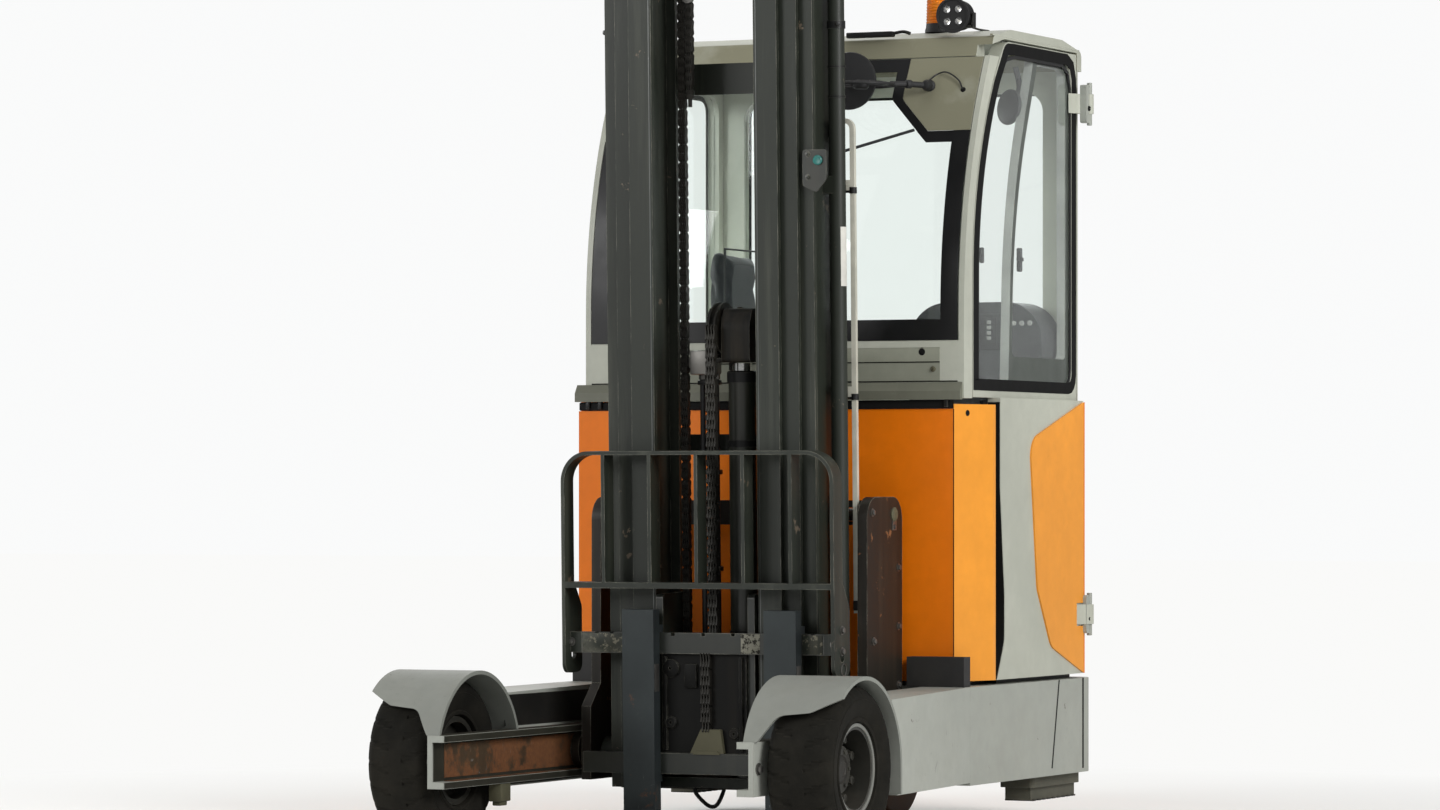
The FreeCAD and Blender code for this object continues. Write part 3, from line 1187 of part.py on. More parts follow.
def make_lamps():
    """Beacon, round spotlight, guarded lamp and round mirror at the roof."""
    beacon = new_body("beacon")
    add(beacon, "XY", s.roof_top, s.roof_top + s.beacon_base,
        ("circle", s.beacon_x, s.beacon_y, s.beacon_diameter / 2 + s.beacon_flange))
    add(beacon, "XY", s.roof_top, s.roof_top + s.beacon_base + s.beacon_height,
        ("circle", s.beacon_x, s.beacon_y, s.beacon_diameter / 2))
    place(beacon)
    spot = new_body("spotlight")
    radius = s.spot_diameter / 2
    add(spot, "XZ", s.spot_y - s.spot_depth / 2, s.spot_y + s.spot_depth / 2,
        ("circle", s.spot_x, s.spot_z, radius))
    bracket_y = s.spot_y + s.spot_depth / 2 + s.spot_bracket
    roof_slope = (s.roof_top - s.roof_edge_z) / (s.roof_crown_y - s.roof_band_lean)
    seat_z = s.roof_edge_z + roof_slope * (
        bracket_y - s.cab_front_y - s.cab_brow_y - s.roof_band_lean)
    add(spot, "XY", seat_z, s.spot_z - radius / 2,
        box(s.spot_x - s.bracket_width / 2, s.spot_x + s.bracket_width / 2,
            bracket_y - s.spot_bracket * 1.5, bracket_y))
    place(spot)
    lamp = new_body("guarded_lamp")
    low, high = s.lamp_z - s.lamp_height / 2, s.lamp_z + s.lamp_height / 2
    add(lamp, "XY", low, high, ("circle", s.lamp_x, s.lamp_y, s.lamp_diameter / 2))
    add(lamp, "XY", s.lamp_z - s.bracket_width / 4, s.lamp_z + s.bracket_width / 4,
        [(s.lamp_ball_x, s.lamp_ball_y), (s.lamp_x, s.lamp_y), (s.lamp_x, s.lamp_y + s.arm_step),
         (s.lamp_ball_x - s.arm_step, s.lamp_ball_y)])
    add(lamp, "XY", s.lamp_z - s.bracket_width / 2, s.lamp_z + s.bracket_width / 2,
        ("circle", s.lamp_ball_x - s.arm_step / 2, s.lamp_ball_y, s.bracket_width / 2))
    place(lamp)


# ---------------------------------------------------------------- mast
LEVELS = {"inner": 0, "middle": 1, "outer": 2}


def make_rails(body, level, inner_x, width, web_x):
    """A pair of I sections, mirrored about the middle of the truck."""
    front = s.rail_front_y + rail_pitch * LEVELS[level]
    rear = front + s.rail_depth
    flange, web = s.rail_flange, s.rail_web
    outer_x = inner_x + width
    web_out = web_x + web
    for _, sign in SIDES:
        points = [(inner_x, front), (outer_x, front), (outer_x, front + flange),
                  (web_out, front + flange), (web_out, rear - flange), (outer_x, rear - flange),
                  (outer_x, rear), (inner_x, rear), (inner_x, rear - flange),
                  (web_x, rear - flange), (web_x, front + flange), (inner_x, front + flange)]
        add(body, "XY", s.mast_bottom, s.mast_top, [(sign * u, v) for u, v in points])
    return rear


def add_tie(body, rear, half, low, height):
    """A flat cross tie on the rear faces of a pair of rails."""
    add(body, "XY", low, low + height, box(-half, half, rear, rear + s.tie_thickness))


def add_rollers(body, inner, centre_y, heights, diameter, pin_from):
    """Rollers on pins that stand out from the rails' webs."""
    for _, sign in SIDES:
        low, high = span(sign, inner, inner + s.roller_width)
        pin_low, pin_high = span(sign, *pin_from)
        for height in heights:
            add(body, "YZ", low, high, ("circle", centre_y, height, diameter / 2))
            add(body, "YZ", pin_low, pin_high, ("circle", centre_y, height, s.roller_pin / 2))


roller_low_z = s.mast_bottom + roller_diameter / 2 + s.roller_end
roller_high_z = s.mast_top - roller_diameter / 2 - s.roller_end


def make_outer_mast():
    """The mast stage that tilts: rails, ties, upper rollers and tilt lugs."""
    body = new_body("outer_mast")
    rear = make_rails(body, "outer", s.outer_rail_x, s.outer_rail_width, s.outer_web_x)
    half = s.outer_rail_x + s.outer_rail_width
    for low, height in ((s.tie_low_z, s.tie_low_height), (s.tie_middle_z, s.tie_middle_height),
                        (s.tie_upper_z, s.tie_upper_height)):
        add_tie(body, rear, half, low, height)
    inner = s.outer_web_x - s.roller_inset - s.roller_width
    press = rear - s.rail_flange - rail_pitch - s.seat_gap - roller_diameter / 2
    add_rollers(body, inner, press, [roller_high_z], roller_diameter,
                (inner, s.outer_web_x + 1))
    web_out = s.outer_web_x + s.rail_web
    lug_end = s.tower_inner_x - s.lug_gap
    for _, sign in SIDES:
        low, high = span(sign, web_out - 1, lug_end)
        add(body, "YZ", low, high, ("circle", s.tilt_y, s.tilt_z, s.tilt_lug_diameter / 2))
        low, high = span(sign, s.tilt_pin_x - 2, lug_end + 1)
        cut(body, "YZ", low, high,
            ("circle", s.tilt_y, s.tilt_z, s.tilt_pin_diameter / 2 + s.rod_gap))
        cheek = s.tilt_x - s.tilt_rod_diameter / 2 - s.tilt_play
        add(body, "YZ", *span(sign, web_out, cheek),
            box(rear - s.rail_flange, s.tilt_eye_y + s.tilt_eye_diameter / 2,
                s.tilt_top_z - s.tilt_eye_diameter / 2, s.tilt_top_z + s.tilt_eye_diameter / 2))
        add(body, "YZ", *span(sign, web_out, s.tilt_x + s.tilt_eye_width / 2),
            ("circle", s.tilt_eye_y, s.tilt_top_z, s.tilt_eye_pin / 2))
    place(body, leant=True)


def make_middle_mast():
    """The second stage with its ties, rollers and the yokes over the lift rods."""
    body = new_body("middle_mast")
    rear = make_rails(body, "middle", s.middle_rail_x, s.middle_rail_width, s.middle_web_x)
    half = s.outer_rail_x - s.lug_gap / 2
    add_tie(body, rear, half, s.tie_low_z, s.tie_low_height)
    add_tie(body, rear, half, s.mast_top - s.tie_top_height, s.tie_top_height)
    web_out = s.middle_web_x + s.rail_web
    front = s.rail_front_y + rail_pitch
    top_inner = s.middle_web_x - s.roller_inset - s.roller_width
    press_rear = rear - s.rail_flange - rail_pitch - s.seat_gap - roller_diameter / 2
    add_rollers(body, top_inner, press_rear, [roller_high_z], roller_diameter,
                (top_inner, s.middle_web_x + 1))
    low_inner = web_out + s.rail_gap
    press_front = front + rail_pitch + s.rail_flange + s.seat_gap + roller_diameter / 2
    add_rollers(body, low_inner, press_front, [roller_low_z], roller_diameter,
                (web_out - 1, low_inner + 1))
    riser = s.yoke_height * 2
    for _, sign in SIDES:
        low, high = span(sign, s.middle_web_x, web_out)
        add(body, "XY", s.mast_top - riser, s.mast_top + s.rail_gap + s.yoke_height,
            box(low, high, lift_cylinder_y - riser / 2, lift_cylinder_y + riser / 2))
        low, high = span(sign, s.middle_web_x, s.lift_cylinder_x + s.yoke_height)
        add(body, "XY", s.mast_top + s.rail_gap, s.mast_top + s.rail_gap + s.yoke_height,
            box(low, high, lift_cylinder_y - riser / 2, lift_cylinder_y + riser / 2))
    place(body, leant=True)


def make_inner_mast():
    """The third stage, which guides the fork carriage and carries the free lift."""
    body = new_body("inner_mast")
    rear = make_rails(body, "inner", s.inner_rail_x, s.inner_rail_width, s.inner_web_x)
    half = s.middle_rail_x - s.lug_gap / 2
    add_tie(body, rear, half, s.tie_low_z, s.tie_low_height)
    add_tie(body, rear, half, s.mast_top - s.tie_top_height, s.tie_top_height)
    web_out = s.inner_web_x + s.rail_web
    front = s.rail_front_y
    low_inner = web_out + s.rail_gap + s.rod_gap * 2
    press_front = front + rail_pitch + s.rail_flange + s.seat_gap + roller_diameter / 2
    add_rollers(body, low_inner, press_front, [roller_low_z], roller_diameter,
                (web_out - 1, low_inner + 1))
    foot = s.free_cylinder_diameter / 2 + s.foot_radius
    add(body, "XY", s.mast_bottom, s.mast_bottom + s.tie_thickness * 2,
        box(-s.inner_web_x, s.inner_web_x, free_cylinder_y - foot, rear + s.tie_thickness))
    place(body, leant=True)


def make_lift_cylinders():
    """Main lift cylinders beside the outer rails, and their rods under the yokes."""
    barrels = new_body("lift_cylinders")
    rods = new_body("lift_rods")
    low = s.tilt_z + s.tilt_lug_diameter / 2 + s.tie_thickness
    radius, bore = s.lift_cylinder_diameter / 2, s.lift_rod_diameter / 2 + s.rod_gap
    web_out = s.outer_web_x + s.rail_web
    for _, sign in SIDES:
        x = sign * s.lift_cylinder_x
        add(barrels, "XY", low, s.lift_cylinder_top, ("circle", x, lift_cylinder_y, radius))
        for height in (low, s.tilt_top_z * 2, s.lift_cylinder_top - s.tie_middle_height):
            inner, outer = span(sign, web_out, s.lift_cylinder_x)
            add(barrels, "XY", height, height + s.tie_middle_height,
                box(inner, outer, lift_cylinder_y - radius, lift_cylinder_y + radius))
        cut(barrels, "XY", low + s.yoke_height, s.lift_cylinder_top + 1,
            ("circle", x, lift_cylinder_y, bore))
        add(rods, "XY", low + s.yoke_height + s.lug_gap, s.mast_top + s.rail_gap,
            ("circle", x, lift_cylinder_y, s.lift_rod_diameter / 2))
    place(barrels, leant=True)
    place(rods, leant=True)


def make_free_lift():
    """Free lift cylinder on the inner stage and the head that its rod raises."""
    x, y = s.free_cylinder_x, free_cylinder_y
    barrel = new_body("free_lift_cylinder")
    low = s.mast_bottom + s.tie_thickness * 2
    bore = s.free_rod_diameter / 2 + s.rod_gap
    add(barrel, "XY", low, s.free_cylinder_top, ("circle", x, y, s.free_cylinder_diameter / 2))
    cut(barrel, "XY", low + s.yoke_height, s.free_cylinder_top + 1, ("circle", x, y, bore))
    place(barrel, leant=True)
    head = new_body("lift_head")
    add(head, "XY", low + s.yoke_height + s.lug_gap, s.free_head_bottom + 1,
        ("circle", x, y, s.free_rod_diameter / 2))
    add(head, "XY", s.free_head_bottom, s.free_head_top,
        box(s.head_left_x, s.head_right_x, head_front_y, head_rear_y))
    place(head, leant=True)


def make_pipe():
    """The long pressure pipe beside the left rail, with a hook at its top."""
    body = new_body("hydraulic_pipe")
    x, y, turn_radius = s.pipe_x, pipe_y, s.pipe_bend * 0.8
    radius = s.pipe_diameter / 2
    end = x - s.pipe_bend * 2
    path = [(x - radius, s.pipe_bottom), (x + radius, s.pipe_bottom),
            (x + radius, s.pipe_top + radius, turn_radius + radius),
            (end - radius, s.pipe_top + radius, turn_radius + radius),
            (end - radius, s.pipe_top - s.pipe_bend * 2),
            (end + radius, s.pipe_top - s.pipe_bend * 2),
            (end + radius, s.pipe_top - radius, turn_radius - radius),
            (x - radius, s.pipe_top - radius, turn_radius - radius)]
    add(body, "XZ", y - radius, y + radius, path)
    outer_rear_y = s.rail_front_y + rail_pitch * 2 + s.rail_depth - s.rail_flange
    for height in (s.pipe_clamp_low_z, s.pipe_clamp_high_z):
        add(body, "XY", height, height + s.bracket_width,
            box(s.outer_web_x + s.rail_web, x, y - radius, outer_rear_y))
    place(body, leant=True)


# ---------------------------------------------------------------- fork carriage
def make_fork_carriage():
    """Fork bars on two side plates whose rollers run in the inner rails."""
    body = new_body("fork_carriage")
    for low in (lower_bar_z, upper_bar_z):
        add(body, "XY", low, low + s.bar_height,
            box(-s.bar_half_length, s.bar_half_length, bar_front_y, bar_rear_y))
    rear = carriage_rear_y
    outer = s.carriage_plate_x + s.carriage_plate
    track = s.rail_depth - 2 * s.rail_flange
    centre = s.rail_front_y + s.rail_depth / 2
    for _, sign in SIDES:
        add(body, "YZ", *span(sign, s.carriage_plate_x, outer),
            box(bar_rear_y - 2, rear, lower_bar_z, s.carriage_top, s.foot_radius))
    add(body, "XY", lower_bar_z + s.bar_height, upper_bar_z,
        box(-s.carriage_plate_x, s.carriage_plate_x, bar_rear_y - s.anchor_plate, bar_rear_y))
    add_rollers(body, outer + s.rail_gap - 1, centre,
                [lower_bar_z + roller_diameter * 0.7, upper_bar_z + roller_diameter * 0.7],
                track - 2 * s.seat_gap, (s.carriage_plate_x, outer + s.rail_gap))
    place(body, leant=True)


def make_fork(name, side):
    """An L-shaped fork with hooks over both bars and a tapering blade."""
    body = new_body("fork_" + name)
    x = s.fork_shift + side * s.fork_spread / 2
    low, high = x - s.fork_width / 2, x + s.fork_width / 2
    front, rear = shank_front_y, bar_front_y
    base, heel = s.fork_bottom, s.fork_heel
    add(body, "YZ", low, high,
        [(rear, s.fork_top), (front, s.fork_top), (front, base + s.fork_thickness, heel / 3),
         (tip_y, base + s.fork_tip), (tip_y, base), (rear, base, heel)])
    hook = s.fork_hook
    top = upper_bar_z + s.bar_height
    add(body, "YZ", low, high,
        box(rear - 1, bar_rear_y - s.hook_inset, top, top + hook))
    add(body, "YZ", low, high,
        box(rear - 1, rear + s.bar_thickness / 2, lower_bar_z - hook, lower_bar_z))
    point = s.fork_width / 4
    cut(body, "XY", base - 1, base + s.fork_thickness + 1,
        [(low - 1, tip_y - 1), (low + point, tip_y - 1), (low + point, tip_y), (low, tip_y + point * 2),
         (low - 1, tip_y + point * 2)])
    cut(body, "XY", base - 1, base + s.fork_thickness + 1,
        [(high + 1, tip_y - 1), (high - point, tip_y - 1), (high - point, tip_y), (high, tip_y + point * 2),
         (high + 1, tip_y + point * 2)])
    place(body, leant=True)


def make_load_guard():
    """Upright grille over the fork carriage with a side plate at each end."""
    body = new_body("load_guard")
    half, top, bar = s.rest_half_width, s.rest_top, s.rest_bar
    rear = bar_front_y + s.bar_thickness
    front = rear - s.rest_depth
    corner = s.rest_corner
    add(body, "XZ", front, rear,
        [(-half, s.rest_low), (-half + bar, s.rest_low), (-half + bar, top - bar, corner - bar),
         (half - bar, top - bar, corner - bar), (half - bar, s.rest_low), (half, s.rest_low),
         (half, top, corner), (-half, top, corner)])
    add(body, "XZ", front, rear,
        box(-half + bar / 2, half - bar / 2, s.rest_low, s.rest_low + s.rest_low_height))
    for step in (-2, -1, 0, 1, 2):
        x = s.rest_pitch * step
        add(body, "XZ", front, rear,
            box(x - s.rest_upright / 2, x + s.rest_upright / 2, s.rest_low + 1, top - bar / 2))
    eye_y, eye_z = front + s.rest_foot_depth / 2, s.rest_foot + s.rest_foot_depth / 2
    for _, sign in SIDES:
        low, high = span(sign, half - bar, half)
        add(body, "YZ", low, high,
            [(front, s.rest_low + s.rest_low_height), (front, s.rest_foot, s.foot_radius * 2),
             (front + s.rest_foot_depth, s.rest_foot, s.foot_radius * 2),
             (front + s.rest_foot_depth, s.rest_low - s.rest_foot_depth / 2, s.foot_radius * 2),
             (rear, s.rest_low + s.rest_low_height)])
        cut(body, "YZ", low - 1, high + 1, ("circle", eye_y, eye_z, s.rest_eye / 2))
        low, high = span(sign, s.bar_half_length, half - bar / 2)
        add(body, "YZ", low, high,
            box(bar_front_y, bar_rear_y, upper_bar_z, upper_bar_z + s.bar_height))
    place(body, leant=True)


# ---------------------------------------------------------------- reach carriage
pin_y = s.tilt_y + (s.tilt_eye_y - s.tilt_y) * lean_cos - (s.tilt_top_z - s.tilt_z) * lean_sin
pin_z = s.tilt_z + (s.tilt_eye_y - s.tilt_y) * lean_sin + (s.tilt_top_z - s.tilt_z) * lean_cos


def make_reach_frame():
    """Two tower plates on a lower beam and an upper bar, with rollers for the arms."""
    body = new_body("reach_frame")
    for _, sign in SIDES:
        add(body, "YZ", *span(sign, s.tower_inner_x, s.tower_inner_x + s.tower_thickness),
            [(s.tower_foot_y, s.tower_bottom), (s.tower_rear_y, s.tower_bottom),
             (s.tower_rear_y, s.tower_top, s.tower_corner),
             (s.tower_front_y, s.tower_top, s.tower_corner),
             (s.tower_front_y, s.tower_knee_z), (s.tower_foot_y, s.tower_knee_z - s.tower_corner)])
        roller_z = s.arm_bottom + s.arm_flange + reach_roller_diameter / 2 + s.seat_gap
        inner = s.arm_outer_x - s.arm_depth + 2
        for y in (s.reach_roller_front_y, s.reach_roller_rear_y):
            add(body, "YZ", *span(sign, inner, inner + s.reach_roller_width),
                ("circle", y, roller_z, reach_roller_diameter / 2))
            add(body, "YZ", *span(sign, s.tower_inner_x, inner + 1),
                ("circle", y, roller_z, s.roller_pin / 2))
        add(body, "YZ", *span(sign, s.tilt_pin_x, s.tower_inner_x + 1),
            ("circle", s.tilt_y, s.tilt_z, s.tilt_pin_diameter / 2))
    half = s.tower_inner_x + 1
    add(body, "XY", s.beam_low, s.beam_low + s.beam_height,
        box(-half, half, s.beam_front_y, s.tower_rear_y - s.beam_inset))
    add(body, "XY", s.cross_low, s.cross_low + s.cross_height,
        box(-half, half, s.tower_rear_y - s.cross_depth, s.tower_rear_y))
    place(body)


def make_tilt_cylinders():
    """Tilt cylinders on pins in the towers, and their rods with eyes at the mast."""
    barrels = new_body("tilt_cylinders")
    rods = new_body("tilt_rods")
    radius, bore = s.tilt_cylinder_diameter / 2, s.tilt_rod_diameter / 2 + s.rod_gap
    rear = s.tower_rear_y - s.cross_depth - s.rail_gap
    for _, sign in SIDES:
        x = sign * s.tilt_x
        add(barrels, "XZ", s.tilt_barrel_y, rear, ("circle", x, pin_z, radius))
        add(barrels, "YZ", *span(sign, s.tilt_x, s.tower_inner_x),
            ("circle", s.tilt_top_y, pin_z, s.tilt_rod_diameter / 2))
        cut(barrels, "XZ", s.tilt_barrel_y - 1, rear - s.lug_gap, ("circle", x, pin_z, bore))
        add(rods, "XZ", pin_y + s.tilt_eye_diameter * 0.4, s.tilt_rod_end_y,
            ("circle", x, pin_z, s.tilt_rod_diameter / 2))
        half = s.tilt_eye_width / 2
        add(rods, "YZ", x - half, x + half, ("circle", pin_y, pin_z, s.tilt_eye_diameter / 2))
        cut(rods, "YZ", x - half - 1, x + half + 1,
            ("circle", pin_y, pin_z - s.tilt_eye_drop, s.tilt_eye_pin / 2 + s.tilt_eye_play))
    place(barrels)
    place(rods)


# ---------------------------------------------------------------- everything, in order
for label, make in (("load_arms", make_load_arm), ("wheel_guards", make_wheel_guard),
                    ("leg_boxes", make_leg_box), ("foot_plates", make_foot)):
    pair = new_body(label)
    for _, side in SIDES:
        make(pair, side)
    place(pair)
for name, side in SIDES:
    make_load_tyre(name, side)
    make_load_rim(name, side)
    make_fork(name, side)
make_chassis()
make_drive_unit()
make_drive_wheel()
make_battery()
make_lower_body()
make_cab_floor()
make_cab_frame()
make_cab_roof()
make_windscreen()
make_side_glass()
make_front_parts()
make_door()
make_door_parts()
make_door_hinges()
make_seat()
make_controls()
make_lamps()
make_outer_mast()
make_middle_mast()
make_inner_mast()
make_lift_cylinders()
make_free_lift()
make_pipe()
make_fork_carriage()
make_load_guard()
make_reach_frame()
make_tilt_cylinders()

# ---------------------------------------------------------------- check and export
os.makedirs("parts", exist_ok=True)
doc.recompute()
for item in doc.Objects:
    if "Invalid" in item.State or "Error" in item.State:
        raise RuntimeError("%s is in a faulty state" % item.Label)
for body in doc.findObjects("PartDesign::Body"):
    if body.Shape.isNull() or not body.Shape.isValid():
        raise RuntimeError("%s has no sound shape" % body.Label)
    body.Shape.exportStep("parts/%s.step" % body.Label)
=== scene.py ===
"""The looks of a reach truck with an enclosed cab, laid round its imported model.

Metres, +Z up, forks towards -Y, the cab's door on +X.  Places that are written in
millimetres count Y from the front ends of the load arms.
"""

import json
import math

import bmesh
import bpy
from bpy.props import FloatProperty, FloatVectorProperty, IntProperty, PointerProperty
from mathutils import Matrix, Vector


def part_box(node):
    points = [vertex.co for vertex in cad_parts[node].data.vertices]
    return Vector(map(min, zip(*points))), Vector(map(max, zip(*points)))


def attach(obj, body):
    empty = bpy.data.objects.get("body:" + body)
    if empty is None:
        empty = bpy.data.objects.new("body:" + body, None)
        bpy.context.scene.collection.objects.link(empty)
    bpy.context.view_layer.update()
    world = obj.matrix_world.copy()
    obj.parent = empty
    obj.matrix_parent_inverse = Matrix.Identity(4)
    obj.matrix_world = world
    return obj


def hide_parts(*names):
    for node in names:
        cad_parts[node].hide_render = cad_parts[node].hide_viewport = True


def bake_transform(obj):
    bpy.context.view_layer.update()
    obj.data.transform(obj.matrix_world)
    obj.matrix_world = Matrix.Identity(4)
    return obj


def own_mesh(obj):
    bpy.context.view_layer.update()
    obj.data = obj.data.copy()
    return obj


bl_info = {
    "name": "Reach truck looks",
    "version": (1, 0, 0),
    "blender": (4, 5, 0),
    "location": "View3D > Sidebar > Reach truck",
    "description": "Materials, small parts, light and camera for a reach truck",
    "category": "Object",
}

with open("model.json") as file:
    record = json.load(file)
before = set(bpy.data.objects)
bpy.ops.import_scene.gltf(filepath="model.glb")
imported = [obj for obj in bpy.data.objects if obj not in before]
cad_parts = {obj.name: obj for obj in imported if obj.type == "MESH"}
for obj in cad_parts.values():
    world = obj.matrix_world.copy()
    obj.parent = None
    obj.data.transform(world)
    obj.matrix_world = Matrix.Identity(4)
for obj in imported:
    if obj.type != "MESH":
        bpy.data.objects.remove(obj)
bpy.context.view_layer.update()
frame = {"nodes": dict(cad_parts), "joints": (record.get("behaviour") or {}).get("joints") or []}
NODES = frame["nodes"]
ARM_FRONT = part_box("load_arms")[0].y
JOINTS = {joint["name"]: joint for joint in frame["joints"]}
TILT_AXIS = Vector(JOINTS["mast_tilt"]["pos_m"])
LIFT = Vector(JOINTS["mast_lift"]["axis"])
LEAN = (Matrix.Translation(TILT_AXIS) @ Matrix.Rotation(math.atan2(-LIFT.y, LIFT.z), 4, "X")
        @ Matrix.Translation(-TILT_AXIS))
LEANT_BODIES = ("mast_outer", "mast_middle", "mast_inner", "lift_head", "fork_carriage")
TO_METRES = Matrix.Translation((0, ARM_FRONT, 0)) @ Matrix.Scale(0.001, 4)
ACROSS, REAR, FRONT, UP = (1, 0, 0), (0, 1, 0), (0, -1, 0), (0, 0, 1)
LOAD_WHEEL = (616, 250, 229)
DRIVE_WHEEL_Y, DRIVE_WHEEL_Z = 1810, 180



def spot(x, y, z):
    """A point in metres from millimetres, with Y counted from the load arms' front ends."""
    return Vector((x / 1000, y / 1000 + ARM_FRONT, z / 1000))


def srgb(red, green, blue):
    """A linear colour from 0 to 255 display values."""
    values = []
    for value in (red, green, blue):
        value /= 255
        values.append(value / 12.92 if value <= 0.04045 else ((value + 0.055) / 1.055) ** 2.4)
    return tuple(values)


# ---------------------------------------------------------------- what a user may change
def colour(name, description, value):
    """A colour setting."""
    return FloatVectorProperty(name=name, description=description, subtype="COLOR", size=3,
                               min=0, max=1, default=value)


class TruckColours(bpy.types.PropertyGroup):
    """Colours of the truck's finishes."""
    body: colour("Body panels", "Paint of the front and side panels", srgb(250, 127, 8))
    # The corner colour is the body orange made lighter: painted light on the side-facing corner
    # panel and door insert, also used on a few trims.
    corner: colour("Corner panels", "Paint of the corner panel and door insert",
                   srgb(241, 157, 52))
    frame: colour("Chassis", "Paint of chassis, legs and towers", srgb(163, 166, 158))
    cab: colour("Cab", "Paint of the cab and its door", srgb(184, 186, 173))
    mast: colour("Mast", "Paint of the mast and load guard", srgb(36, 40, 33))
    forks: colour("Forks", "Paint of the forks", srgb(46, 52, 53))
    rubber: colour("Tyres", "Rubber of the load tyres", srgb(14, 14, 11))
    seat: colour("Seat", "Fabric of the seat", srgb(22, 25, 29))


class TruckSizes(bpy.types.PropertyGroup):
    """Sizes of small parts."""
    lugs: IntProperty(name="Tyre lugs", description="Tread blocks round a load tyre",
                      default=22, min=8, max=48)
    groove: FloatProperty(name="Groove depth", description="Depth of the tread's grooves",
                          default=0.005, min=0.002, max=0.02, unit="LENGTH")
    chain_pitch: FloatProperty(name="Chain pitch", description="Pitch of the lift chains",
                               default=0.0159, min=0.008, max=0.03, unit="LENGTH")
    dust: FloatProperty(name="Dust", description="How much dust lies on the paint",
                        default=0.45, min=0, max=1, subtype="FACTOR")
    wear: FloatProperty(name="Wear", description="How much the paint is scratched and chipped",
                        default=0.5, min=0, max=1, subtype="FACTOR")
    seat_rise: FloatProperty(name="Cushion rise", description="How far the seat's foam may swell",
                             default=0.018, min=0.002, max=0.04, unit="LENGTH")


